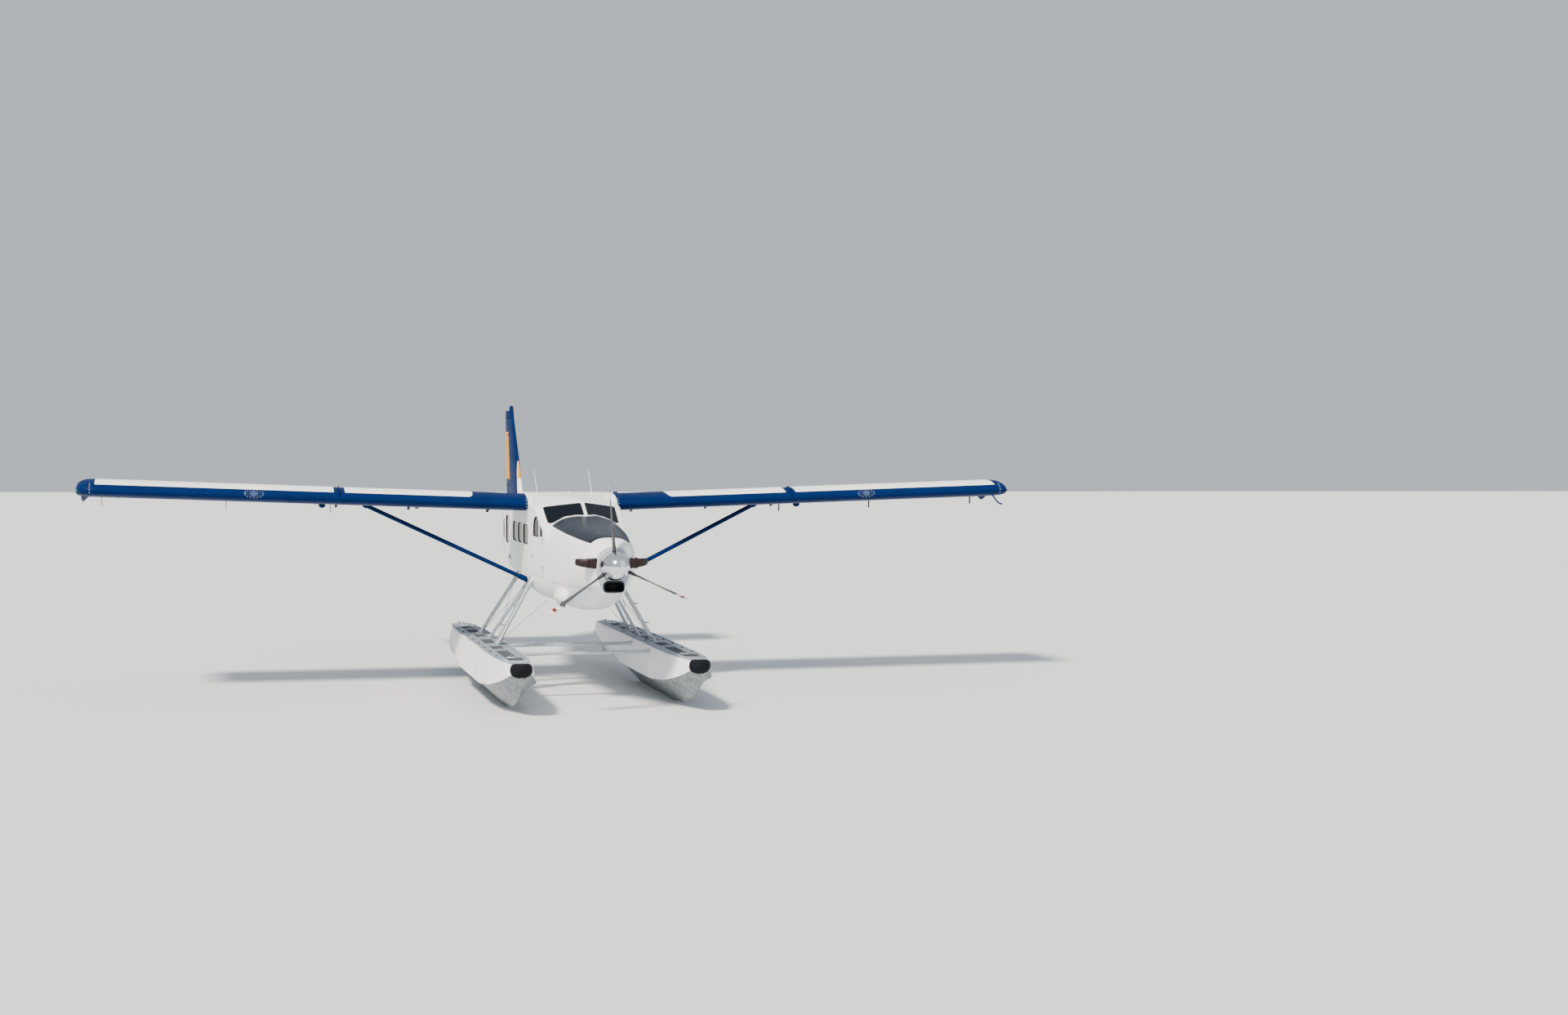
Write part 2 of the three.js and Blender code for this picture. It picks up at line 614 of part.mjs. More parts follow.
// Flap and aileron share one section, with a round nose in the wing's cove; their hinges hang below it
const NOSE = { c: 1490, h: 36, radius: 50 };
const COVE_C = 1388;
const LIP = { end: 1480, under: 101 };
const flapHinge = { c: 1500, h: -130, eye: 22 };
const aileronHinge = { c: 1480, h: -63, eye: 18 };
const PIN_RADIUS = 9;
const surfaces = [
  { name: "flap", x0: 872, x1: 4345, hinge: flapHinge, arms: [1400, 2900, 4250] },
  { name: "aileron", x0: 4385, x1: 8395, hinge: aileronHinge, arms: [4480, 6240, 8290] },
];

function surfaceOutline() {
  const distance = Math.hypot(CHORD - NOSE.c, NOSE.h);
  const slope = Math.atan2(-NOSE.h, CHORD - NOSE.c);
  const open = Math.acos(NOSE.radius / distance);
  const steps = 7;
  const arc = Array.from({ length: steps + 1 }, (_, i) => {
    const angle = slope + open + ((2 * Math.PI - 2 * open) * i) / steps;
    return [NOSE.c + NOSE.radius * Math.cos(angle), NOSE.h + NOSE.radius * Math.sin(angle)];
  });
  return chordOutline([[CHORD, 3], ...arc, [CHORD, -3]]);
}

// A hinge arm's eye end: two straight edges that run round the hinge point
function eyeEnd({ c, h, eye }) {
  return Array.from({ length: 5 }, (_, i) => {
    const angle = -Math.PI / 2 + (Math.PI * i) / 4;
    return [c + eye * Math.cos(angle), h + eye * Math.sin(angle)];
  });
}

function wingArm(hinge) {
  const bend = (hinge.h - hinge.eye) * 0.62 - 20;
  const behind = [[1382, -52], [1382, -10]];
  return chordOutline([[1230, -10], [1230, -52], [1310, bend], ...eyeEnd(hinge), ...behind]);
}

function surfaceLug({ c, h, eye }) {
  const round = [[c - eye, h], [c - eye * 0.7, h - eye * 0.7], [c, h - eye], [c + eye, h]];
  return chordOutline([[1478, 0], ...round, [1580, 0]]);
}

const ARM_HALF = 8;
const LUG_OFFSET = 2 * ARM_HALF + 2;

function buildWing(sideName, side) {
  const section = aerofoil(WING_THICKNESS, WING_CAMBER).map((p) => p.multiplyScalar(CHORD));
  const coveEnd = 8415;
  let wing = alongWing(side, section, 745, 8500);
  const cove = chordOutline([
    [COVE_C, -300], [2200, -300], [2200, 300], [LIP.end, 300], [LIP.end, LIP.under], [COVE_C, LIP.under + 6],
  ]);
  wing = wing.subtract(alongWing(side, cove, 858, coveEnd));
  wing = joined([wing, wingTip(side, section), leadingEdgeFence(side)]);
  for (const surface of surfaces) {
    const lugs = [];
    for (const x of surface.arms) {
      wing = wing.add(alongWing(side, wingArm(surface.hinge), x - ARM_HALF, x + ARM_HALF));
      wing = wing.subtract(hingePin(side, surface.hinge, x, PIN_RADIUS + 1, 3 * ARM_HALF));
      const lugX = x + LUG_OFFSET;
      const pinX = x + LUG_OFFSET / 2;
      lugs.push(alongWing(side, surfaceLug(surface.hinge), lugX - ARM_HALF, lugX + ARM_HALF));
      lugs.push(hingePin(side, surface.hinge, pinX, PIN_RADIUS, lugX - pinX + ARM_HALF + 3));
    }
    const panel = alongWing(side, surfaceOutline(), surface.x0, surface.x1);
    addPart(`${surface.name}_${sideName}`, joined([panel, ...lugs]), finishes.navy);
  }
  wing = wing.subtract(grown(cabinOuter));
  return addPart(`wing_${sideName}`, wing, finishes.navy);
}

function hingePin(side, { c, h }, x, radius, half) {
  const ends = [x - half, x + half].map((at) => wingPoint(side, at, c, h).toArray());
  return rod(...ends, radius, 8);
}

// Tip: a bulbous cap that rounds off over the last stretch of span, and a pointed droop behind and below
function wingTip(side, section) {
  const rings = [
    { x: 8480, chord: 1, thick: 1, back: 0 },
    { x: 8620, chord: 0.98, thick: 0.98, back: 20 },
    { x: 8720, chord: 0.94, thick: 0.9, back: 65 },
    { x: 8790, chord: 0.87, thick: 0.76, back: 150 },
    { x: 8830, chord: 0.78, thick: 0.55, back: 270 },
    { x: HALF_SPAN, chord: 0.66, thick: 0.3, back: 420 },
  ];
  const cap = loft(
    rings.map(({ x, chord, thick, back }) => ({
      outline: section,
      at: (p) => wingPoint(side, x, back + p.x * chord, p.y * thick - (1 - thick) * 30),
    }))
  );
  const droops = [
    { x: 8540, low: -20 },
    { x: 8775, low: -190 },
    { x: 8800, low: -150 },
  ];
  const droop = loft(
    droops.map(({ x, low }) => ({
      outline: chordOutline([[900, 30], [1780, 30], [1720, -0.1], [1500, -1], [1250, -0.6]]),
      at: (p) => wingPoint(side, x, p.x, p.y > 0 ? p.y : -low * p.y),
    }))
  );
  return cap.add(droop);
}

// Fence: a plate on the upper nose of the wing, outboard of the flap
const FENCE = { x: 4284, wide: 12 };

function leadingEdgeFence(side) {
  const foot = [[470, 190], [400, 150], [250, 120], [60, 30]];
  const edge = [[-5, 20], [0, 90], [55, 160], [180, 225], [330, 258], [430, 250]];
  return alongWing(side, chordOutline([...edge, ...foot]), FENCE.x, FENCE.x + FENCE.wide);
}

// A streamlined bar between two points, its chord along the aircraft; it may change size on the way
function streamBar(start, end, chord, thickness, endChord = chord) {
  const from = new THREE.Vector3(...start);
  const to = new THREE.Vector3(...end);
  const along = to.clone().sub(from).normalize();
  const chordwise = new THREE.Vector3(0, 1, 0);
  const across = along.clone().cross(chordwise).normalize();
  const shape = aerofoil(1, 0, 7);
  return loft(
    [[from, chord], [to, endChord]].map(([centre, width]) => ({
      outline: shape,
      at: (p) => {
        const onLine = centre.clone().addScaledVector(chordwise, (p.x - 0.4) * width);
        return onLine.addScaledVector(across, p.y * thickness);
      },
    }))
  );
}

function pastEnds(start, end, before, after) {
  const from = new THREE.Vector3(...start);
  const to = new THREE.Vector3(...end);
  const along = to.clone().sub(from).normalize();
  return [from.addScaledVector(along, -before).toArray(), to.addScaledVector(along, after).toArray()];
}

// Wing struts, from a fuselage fitting up to the wing
function buildWingStrut(sideName, side, wing) {
  const ends = pastEnds([side * 850, 350, 2090], [side * 3800, 950, 3480], 120, 60);
  const strut = streamBar(...ends, 230, 84).subtract(grown(cabinOuter)).subtract(grown(wing));
  addPart(`wing_strut_${sideName}`, largest(strut), finishes.navy);
}

function largest(shape) {
  return shape.decompose().sort((a, b) => b.volume() - a.volume())[0];
}

// Pitot mast, only on the left wing: a tube that leaves the wing nose, drops and points forward
const PITOT = { radius: 16, noseRadius: 12 };

function buildPitotMast(wing) {
  const route = [
    { x: 8340, c: 120, h: -20 },
    { x: 8350, c: -50, h: -35 },
    { x: 8400, c: -380, h: -265 },
    { x: 8430, c: -720, h: -300 },
  ].map(({ x, c, h }) => wingPoint(1, x, c, h).toArray());
  const ends = [PITOT.radius, PITOT.radius, PITOT.noseRadius];
  const tubes = ends.map((radius, i) => rod(route[i], route[i + 1], PITOT.radius, 8, radius));
  const bends = route.slice(1, -1).map((at) => ball(at, PITOT.radius));
  addPart("pitot_mast", largest(joined([...tubes, ...bends]).subtract(grown(wing))), finishes.navy);
}

function ball(centre, radius) {
  const geometry = new THREE.SphereGeometry(radius * 1.02, 8, 6);
  geometry.translate(...centre);
  return solid(geometry);
}

// Tailplane, one piece through the fuselage top, cut off ahead of the elevators
const ELEVATOR_NOSE = 42;
const TAIL_TIP_ROUND = 130;

function tailPoint(side, x, y, height) {
  return new THREE.Vector3(side * x, y, TAIL_Z + height);
}

// Tailplane stations: span position, leading edge and greatest thickness
const tailStations = [
  { x: 0, edge: 6290, thick: 150 },
  { x: 2900, edge: 6560, thick: 112 },
  { x: TAIL_SEMI_SPAN - TAIL_TIP_ROUND, edge: 6620, thick: 104 },
  { x: TAIL_SEMI_SPAN - 40, edge: 6700, thick: 76 },
  { x: TAIL_SEMI_SPAN, edge: 6860, thick: 40 },
];

function tailplaneHalf(side, end, hornCut) {
  const shape = aerofoil(1, 0, 8);
  const half = loft(
    tailStations.map(({ x, edge, thick }) => ({
      outline: shape,
      at: (p) => tailPoint(side, x, edge + p.x * (ELEVATOR_END_Y - edge), p.y * thick),
    }))
  );
  const behind = ascending([side * 150, side * 4000]);
  const cut = box([behind[0], end, TAIL_Z - 400], [behind[1], 9000, TAIL_Z + 400]);
  const middle = box([-150, 7535, TAIL_Z - 400], [150, 9000, TAIL_Z + 400]);
  return half.subtract(cut).subtract(middle).subtract(hornCut);
}

function hornSpace(side, room) {
  const x = ascending([side * (2890 - room), side * 4000]);
  return box([x[0], 7230 - room, TAIL_Z - 400], [x[1], 9000, TAIL_Z + 400]);
}

function elevator(side) {
  const stations = [
    { x: 185, end: ELEVATOR_END_Y - 480 },
    { x: 375, end: ELEVATOR_END_Y },
    { x: 3110, end: ELEVATOR_END_Y - 60 },
    { x: TAIL_SEMI_SPAN, end: ELEVATOR_END_Y - 150 },
  ];
  const outlineFor = (end) => {
    const steps = 6;
    const nose = Array.from({ length: steps + 1 }, (_, i) => {
      const angle = Math.PI / 2 - 0.06 + ((Math.PI + 0.12) * i) / steps;
      return [ELEVATOR_HINGE_Y + ELEVATOR_NOSE * Math.cos(angle), ELEVATOR_NOSE * Math.sin(angle)];
    });
    return chordOutline([[end, 3], ...nose, [end, -3]]);
  };
  const blade = loft(
    stations.map(({ x, end }) => ({ outline: outlineFor(end), at: (p) => tailPoint(side, x, p.x, p.y) }))
  );
  const hornTop = [[7275, 22], [7360, 38], [7520, 40]];
  const hornUnder = [...hornTop].reverse().map(([c, h]) => [c, -h]);
  const horn = loft(
    [2900, 3110, TAIL_SEMI_SPAN - 15].map((x) => ({
      outline: chordOutline([[7250, 0], ...hornTop, ...hornUnder]),
      at: (p) => tailPoint(side, x, p.x, p.y),
    }))
  );
  const tube = rod([side * 0.3, ELEVATOR_HINGE_Y, TAIL_Z], [side * 200, ELEVATOR_HINGE_Y, TAIL_Z], 26, 16);
  return joined([blade, horn, tube]);
}

function buildTailplane() {
  const ends = ELEVATOR_HINGE_Y - ELEVATOR_NOSE - 10;
  const halves = Object.values(SIDES).map((side) => tailplaneHalf(side, ends, hornSpace(side, 0)));
  const bearing = rod([-160, ELEVATOR_HINGE_Y, TAIL_Z], [160, ELEVATOR_HINGE_Y, TAIL_Z], 26.8, 16);
  const tailplane = joined(halves).subtract(bearing);
  addPart("tailplane", tailplane, finishes.white);
  for (const [sideName, side] of Object.entries(SIDES)) {
    addPart(`elevator_${sideName}`, elevator(side), finishes.navy);
    const x = ascending([side * 2194, side * 2210]);
    const edge = [[6600, 3130], [7290, 3080], [7340, 3630], [6830, 3660]];
    const finlet = plateAlongX(edge, ...x).subtract(grown(tailplane));
    finlet.decompose().forEach((piece) => {
      const level = (piece.boundingBox().max[2] > TAIL_Z + 200 ? "upper" : "lower");
      addPart(`finlet_${level}_${sideName}`, piece, finishes.navy);
    });
  }
  return tailplane;
}

// The rudder hinge leans aft; the fin and the tail cone end just ahead of the rudder's round nose
const RUDDER_NOSE = 56;
const RUDDER_TOP_Z = 5350;
const HORN_Z = 5170;
const FIN_TOP_Z = 5490;
const rudderBrackets = [2640, 3900, 4800];
const rudderRise = { y: RUDDER_HEAD.y - RUDDER_FOOT.y, z: RUDDER_HEAD.z - RUDDER_FOOT.z };
const rudderAxis = new THREE.Vector3(0, rudderRise.y, rudderRise.z).normalize();

function rudderHingeY(z) {
  return RUDDER_FOOT.y + ((z - RUDDER_FOOT.z) * rudderAxis.y) / rudderAxis.z;
}

function rudderEndY(z) {
  return RUDDER_END_Y - ((RUDDER_TOP_Z - z) * 400) / 2890;
}

function buildRudder() {
  const steps = 6;
  const outlineAt = (z) => {
    const arc = Array.from({ length: steps + 1 }, (_, i) => {
      const angle = (Math.PI * i) / steps;
      return [RUDDER_NOSE * Math.cos(angle), rudderHingeY(z) - RUDDER_NOSE * Math.sin(angle)];
    });
    const end = rudderEndY(z);
    return anticlockwise([[5, end], ...arc, [-5, end]].map(([x, y]) => new THREE.Vector2(x, y)));
  };
  const ring = (z) => ({ outline: outlineAt(z), at: (p) => new THREE.Vector3(p.x, p.y, z) });
  const blade = loft([RUDDER_FOOT.z, HORN_Z, RUDDER_TOP_Z].map(ring));
  const hornFront = rudderHingeY(HORN_Z) - 300;
  const hornSide = [[30, hornFront + 60], [46, hornFront + 200], [46, hornFront + 340]];
  const hornOutline = [[0, hornFront], ...hornSide, ...[...hornSide].reverse().map(([x, y]) => [-x, y])];
  const horn = loft([HORN_Z + 20, RUDDER_TOP_Z].map((z) => ({
    outline: anticlockwise(hornOutline.map(([x, y]) => new THREE.Vector2(x, y))),
    at: (p) => new THREE.Vector3(p.x, p.y + (z - HORN_Z) * 0.3, z),
  })));
  let rudder = blade.add(horn);
  const pins = [];
  for (const z of rudderBrackets) {
    const hingeY = rudderHingeY(z);
    rudder = rudder.subtract(box([-200, hingeY - 200, z - 22], [200, hingeY + 44, z + 22]));
    pins.push(rudderPin(z, 12, 40));
  }
  return addPart("rudder", joined([rudder, ...pins]), finishes.navy);
}

function rudderPin(z, radius, half) {
  const centre = new THREE.Vector3(0, rudderHingeY(z), z);
  const ends = [-half, half].map((s) => centre.clone().addScaledVector(rudderAxis, s).toArray());
  return rod(...ends, radius, 12);
}

// Bracket plates that reach from the fixed structure to the rudder's pins
function rudderBracket(z, reach) {
  const hingeY = rudderHingeY(z);
  return box([-17, hingeY - reach, z - 12], [17, hingeY + 24, z + 12]).subtract(rudderPin(z, 12.8, 60));
}

const finStations = [
  { z: TAIL_Z - 60, edge: 6160, thick: 190 },
  { z: 3600, edge: 6410, thick: 176 },
  { z: HORN_Z, edge: 7690, thick: 106 },
  { z: 5400, edge: 7880, thick: 90 },
  { z: FIN_TOP_Z, edge: 8010, thick: 44 },
];

function buildFin(tailplane, coneOuter) {
  const shape = aerofoil(1, 0, 8);
  const body = loft(
    finStations.map(({ z, edge, thick }) => ({
      outline: shape,
      at: (p) => new THREE.Vector3(p.y * thick, edge + p.x * (rudderEndY(z) + 60 - edge), z),
    }))
  );
  const cove = plateAlongX(
    [
      [rudderHingeY(2000) - RUDDER_NOSE - 10, 2000], [rudderHingeY(HORN_Z) - RUDDER_NOSE - 10, HORN_Z],
      [rudderHingeY(HORN_Z) - 325, HORN_Z], [rudderHingeY(6000) - 325, 6000], [10000, 6000], [10000, 2000],
    ],
    -500,
    500
  );
  let fin = body.subtract(cove).subtract(grown(tailplane)).subtract(grown(coneOuter));
  fin = largest(fin);
  rudderBrackets.slice(1).forEach((z) => {
    fin = fin.add(rudderBracket(z, 120));
  });
  addPart("fin", fin, finishes.navy);
}

// Tail cone: a thin shell, open at its front, that ends at the rudder
const coneEndY = (z) => rudderHingeY(z) - RUDDER_NOSE - 10;
const coneSections = [
  { y: BULKHEAD_Y + 20 + GAP, w: 700, top: 3580, mid: 2820, bottom: 2105, nTop: 5, nBottom: 4 },
  { y: 5300, w: 545, top: 3485, mid: 2850, bottom: 2215, nTop: 3.6, nBottom: 3.4 },
  { y: 6300, w: 375, top: 3365, mid: 2870, bottom: 2330, nTop: 3, nBottom: 3 },
  { y: coneEndY, w: 120, top: 3262, mid: 2880, bottom: 2470, nTop: 3, nBottom: 3 },
];

function buildTailCone(tailplane) {
  const outer = bodySolid(coneSections);
  const back = coneSections.at(-1);
  const inner = bodySolid([
    { ...coneSections[0], y: coneSections[0].y - 60 },
    ...coneSections.slice(0, -1),
    { ...back, y: (z) => back.y(z) - 40 },
  ], SKIN);
  const bracketZ = rudderBrackets[0];
  const shell = outer.subtract(inner).subtract(grown(tailplane)).add(rudderBracket(bracketZ, 120));
  addPart("tail_cone", largest(shell), finishes.navy);
  return outer;
}

// Floats: flat deck, hard chine and V bottom, with one step
// Stations: y, half width of the deck, deck height, half width and height of the chine, keel height
const foreBody = [
  { y: -3900, deckHalf: 70, deck: 905, chineHalf: 74, chine: 840, keel: 790 },
  { y: -3780, deckHalf: 150, deck: 925, chineHalf: 168, chine: 740, keel: 560 },
  { y: -3450, deckHalf: 235, deck: 930, chineHalf: 290, chine: 610, keel: 290 },
  { y: -2800, deckHalf: 300, deck: 925, chineHalf: 405, chine: 480, keel: 80 },
  { y: -1900, deckHalf: 320, deck: DECK_Z, chineHalf: 450, chine: 410, keel: 0 },
  { y: STEP_Y, deckHalf: 320, deck: DECK_Z, chineHalf: 450, chine: 400, keel: 0 },
];
const afterBody = [
  { y: STEP_Y, deckHalf: 320, deck: DECK_Z, chineHalf: 436, chine: 430, keel: 90 },
  { y: 2900, deckHalf: 305, deck: 905, chineHalf: 380, chine: 510, keel: 255 },
  { y: 4200, deckHalf: 255, deck: 885, chineHalf: 290, chine: 610, keel: 420 },
  { y: 4700, deckHalf: 205, deck: 875, chineHalf: 232, chine: 665, keel: 500 },
];

function hull(stations, side) {
  return loft(
    stations.map(({ y, deckHalf, deck, chineHalf, chine, keel }) => ({
      outline: [
        new THREE.Vector2(0, keel),
        new THREE.Vector2(chineHalf, chine),
        new THREE.Vector2(deckHalf, deck),
        new THREE.Vector2(-deckHalf, deck),
        new THREE.Vector2(-chineHalf, chine),
      ],
      at: (p) => new THREE.Vector3(side * FLOAT_X + p.x, y, p.y),
    }))
  );
}

const FLOAT_END_Y = 4700;
const WATER_RUDDER = { hingeY: FLOAT_END_Y + 60, top: 900, bottom: 180, chord: 330, brackets: [560, 800] };

function buildFloat(sideName, side) {
  const x = side * FLOAT_X;
  const [stepStation, ...behind] = afterBody;
  let float = hull(foreBody, side).add(hull([{ ...stepStation, y: STEP_Y - 1 }, ...behind], side));
  const { hingeY, brackets } = WATER_RUDDER;
  for (const z of brackets) {
    float = float.add(box([x - 22, FLOAT_END_Y - 60, z - 14], [x + 22, hingeY + 24, z + 14]));
    float = float.subtract(rod([x, hingeY, z - 60], [x, hingeY, z + 60], 14.7, 12));
  }
  const cleatSeats = [
    box([x - 60, -2660, 915], [x + 60, -2540, 945]),
    box([x - 60, 3940, 870], [x + 60, 4060, 915]),
  ];
  const bumper = hull([
    { ...foreBody[0], y: -3960, deckHalf: 50, deck: 906, chineHalf: 54, chine: 856, keel: 840 },
    { ...foreBody[0], y: -3925, deckHalf: 98, deck: 932, chineHalf: 102, chine: 812, keel: 765 },
    { ...foreBody[1], y: -3790, deckHalf: 174, deck: 942, chineHalf: 186, chine: 752, keel: 664 },
  ], side).subtract(grown(float));
  addPart(`bow_bumper_${sideName}`, largest(bumper), finishes.rubber);
  return addPart(`float_${sideName}`, joined([float, ...cleatSeats]), finishes.aluminium);
}

function buildWaterRudder(sideName, side) {
  const x = side * FLOAT_X;
  const { hingeY, top, bottom, chord, brackets } = WATER_RUDDER;
  const leadingEdge = [[60, bottom], [6, 300], [-20, 420], [-20, top], [60, top]];
  const trailingEdge = [[130, 620], [chord, 480], [chord, 230], [250, bottom]];
  const outline = [...leadingEdge, ...trailingEdge].map(([dy, z]) => [hingeY + dy, z]);
  let blade = plateAlongX(outline, x - 9, x + 9);
  blade = blade.add(rod([x, hingeY, 470], [x, hingeY, top], 20, 8));
  for (const z of brackets) {
    blade = blade.subtract(box([x - 60, hingeY - 60, z - 20], [x + 60, hingeY + 46, z + 20]));
  }
  blade = blade.add(rod([x, hingeY, 480], [x, hingeY, top - 5], 14, 12));
  addPart(`water_rudder_${sideName}`, blade, finishes.aluminium);
}

// Float struts: front, middle and rear pairs between the fuselage sides and the float decks
const floatStruts = [
  { name: "front", top: [850, -205, 2040], foot: [1480, -330, DECK_Z], chords: [240, 330], thick: 62 },
  { name: "middle", top: [800, 510, 1960], foot: [1450, 930, DECK_Z], chords: [150, 150], thick: 55 },
  { name: "rear", top: [850, 1470, 2040], foot: [1480, 1970, DECK_Z], chords: [190, 190], thick: 58 },
];
const spreaderBars = [
  { name: "front", y: -1260, z: 835 },
  { name: "rear", y: 320, z: 835 },
];

function buildFloatStruts(sideName, side, float) {
  const onSide = ([x, y, z]) => [side * x, y, z];
  for (const { name, top, foot, chords, thick } of floatStruts) {
    const ends = pastEnds(onSide(top), onSide(foot), 150, 70);
    const bar = streamBar(...ends, chords[0], thick, chords[1]);
    const seated = largest(bar.subtract(grown(cabinOuter)).subtract(grown(float)));
    addPart(`float_strut_${name}_${sideName}`, seated, finishes.aluminium);
  }
}

function buildSpreaderBars(floats) {
  for (const { name, y, z } of spreaderBars) {
    const bar = streamBar([-1300, y, z], [1300, y, z], 130, 60);
    const seated = largest(floats.reduce((rest, float) => rest.subtract(grown(float)), bar));
    addPart(`spreader_bar_${name}`, seated, finishes.aluminium);
  }
}

buildCabin();
buildInterior();
buildNose();
buildPropeller();
const tailplane = buildTailplane();
const coneOuter = buildTailCone(tailplane);
buildFin(tailplane, coneOuter);
buildRudder();
const floats = Object.entries(SIDES).map(([sideName, side]) => {
  const wing = buildWing(sideName, side);
  buildWingStrut(sideName, side, wing);
  if (side === SIDES.left) {
    buildPitotMast(wing);
  }
  const float = buildFloat(sideName, side);
  buildWaterRudder(sideName, side);
  buildFloatStruts(sideName, side, float);
  return float;
});
buildSpreaderBars(floats);

export default aircraft;
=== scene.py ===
"""The looks of a floatplane with a turbine nose: painted skins, glass, cabin, propeller, tail and floats."""

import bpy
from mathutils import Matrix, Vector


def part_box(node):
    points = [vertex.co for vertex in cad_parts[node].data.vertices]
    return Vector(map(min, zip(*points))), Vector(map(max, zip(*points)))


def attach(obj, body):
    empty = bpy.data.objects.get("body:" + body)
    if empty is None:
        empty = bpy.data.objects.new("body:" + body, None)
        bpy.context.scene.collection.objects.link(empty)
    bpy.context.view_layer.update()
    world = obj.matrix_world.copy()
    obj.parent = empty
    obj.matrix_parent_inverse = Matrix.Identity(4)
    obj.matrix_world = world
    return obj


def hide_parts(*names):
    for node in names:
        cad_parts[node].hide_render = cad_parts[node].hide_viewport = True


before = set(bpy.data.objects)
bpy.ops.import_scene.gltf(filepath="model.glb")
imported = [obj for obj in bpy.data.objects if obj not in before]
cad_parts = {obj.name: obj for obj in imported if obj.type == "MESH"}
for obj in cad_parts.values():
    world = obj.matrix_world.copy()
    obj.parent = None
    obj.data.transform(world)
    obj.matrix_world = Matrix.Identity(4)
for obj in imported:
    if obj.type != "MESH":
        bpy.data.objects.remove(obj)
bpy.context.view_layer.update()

import math

import bmesh
import bpy
import numpy as np
from mathutils import Matrix, Vector
from mathutils.bvhtree import BVHTree

# Studio. The camera stands where the photograph was taken from, about forty metres off the right bow
# and a little above the wing. One soft key stands on its left; a weak wide one and a pale sky fill the
# shade, and the floor is a plain pale sheet.
CAMERA_PLACE = Vector((-6.657, -39.801, 4.716))
CAMERA_YAW = 0.2790
CAMERA_PITCH = 0.0330
CAMERA_ROLL = 0.0065
CAMERA_LENS = 46.53


def linear(code):
    """An sRGB hex colour as a linear one."""
    channels = [int(code[i:i + 2], 16) / 255 for i in (1, 3, 5)]
    return tuple(c / 12.92 if c <= 0.04045 else ((c + 0.055) / 1.055) ** 2.4 for c in channels) + (1.0,)


def add_node(tree, kind, inputs=None, **settings):
    """One node with its settings; a socket given as an input is linked, and any other value is set."""
    made = tree.nodes.new(kind)
    for name, value in settings.items():
        setattr(made, name, value)
    for name, value in (inputs or {}).items():
        if isinstance(value, bpy.types.NodeSocket):
            tree.links.new(value, made.inputs[name])
        else:
            made.inputs[name].default_value = value
    return made


def camera_turn(yaw, pitch, roll):
    forward = Vector((math.sin(yaw) * math.cos(pitch), math.cos(yaw) * math.cos(pitch), -math.sin(pitch)))
    level = Vector((math.cos(yaw), -math.sin(yaw), 0))
    upright = level.cross(forward)
    right = math.cos(roll) * level + math.sin(roll) * upright
    up = -math.sin(roll) * level + math.cos(roll) * upright
    return Matrix((right, up, -forward)).transposed().to_4x4()


camera = bpy.data.objects.new("photo_camera", bpy.data.cameras.new("photo_camera"))
camera.data.lens = CAMERA_LENS
camera.data.sensor_width = 36
camera.data.sensor_fit = "HORIZONTAL"
camera.data.clip_end = 400
camera.matrix_world = Matrix.Translation(CAMERA_PLACE) @ camera_turn(CAMERA_YAW, CAMERA_PITCH, CAMERA_ROLL)
bpy.context.scene.collection.objects.link(camera)
bpy.context.scene.camera = camera


def add_sun(name, strength, softness, towards, colour):
    sun = bpy.data.lights.new(name, "SUN")
    sun.energy = strength
    sun.angle = math.radians(softness)
    sun.color = linear(colour)[:3]
    lamp = bpy.data.objects.new(name, sun)
    lamp.rotation_euler = Vector(towards).to_track_quat("-Z", "Y").to_euler()
    bpy.context.scene.collection.objects.link(lamp)


add_sun("key", 7.0, 8, (0.55, 0.6, -0.86), "#fff6ea")
add_sun("fill", 0.5, 60, (-0.7, 0.5, -0.45), "#e4eefc")

sky = bpy.data.worlds.new("studio")
sky.use_nodes = True
bpy.context.scene.world = sky
backdrop = sky.node_tree.nodes["Background"]
backdrop.inputs["Color"].default_value = linear("#dfe6ee")
backdrop.inputs["Strength"].default_value = 0.8

FLOOR_REACH = 140.0
floor_mesh = bpy.data.meshes.new("studio_floor")
floor_mesh.from_pydata([(x * FLOOR_REACH, y * FLOOR_REACH, 0)
                        for x, y in ((-1, -1), (1, -1), (1, 1), (-1, 1))], [], [(0, 1, 2, 3)])
floor = bpy.data.objects.new("studio_floor", floor_mesh)
bpy.context.scene.collection.objects.link(floor)
floor_paint = bpy.data.materials.new("pale_floor")
floor_paint.use_nodes = True
floor_shader = floor_paint.node_tree.nodes["Principled BSDF"]
floor_shader.inputs["Base Color"].default_value = linear("#dde0e2")
floor_shader.inputs["Roughness"].default_value = 0.75
floor_mesh.materials.append(floor_paint)

# Fuselage skin. Riveted aluminium sheet over frames, nearly flat on its sides and square at its roof,
# painted gloss white; it tapers forward of the wing and ends in two sloping windshield panes.
STATION_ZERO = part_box("spinner")[0].y * 1000 + 4450
WALL = 35
FIREWALL_Y = -1500
BULKHEAD_Y = 4310
# Station, half width, roof and its squareness, widest height, belly and its squareness
FUSELAGE = np.array([
    (-1500, 735, 3672, 8, 2600, 1690, 3),
    (-150, 835, 3672, 11, 2750, 1775, 5),
    (900, 835, 3675, 11, 2750, 1840, 5),
    (2000, 832, 3665, 8, 2760, 1915, 5),
    (3300, 790, 3630, 6, 2790, 2020, 4.5),
    (4300, 700, 3580, 5, 2820, 2105, 4),
    (5300, 545, 3485, 3.6, 2850, 2215, 3.4),
    (6300, 375, 3365, 3, 2870, 2330, 3),
    (7450, 120, 3262, 3, 2880, 2470, 3),
], float)
CREASE_Y = -150
SOFT_FROM_Y, SOFT_REACH = 400, 260
DECK_TOP, DECK_SQUARE = 3325, 2.6
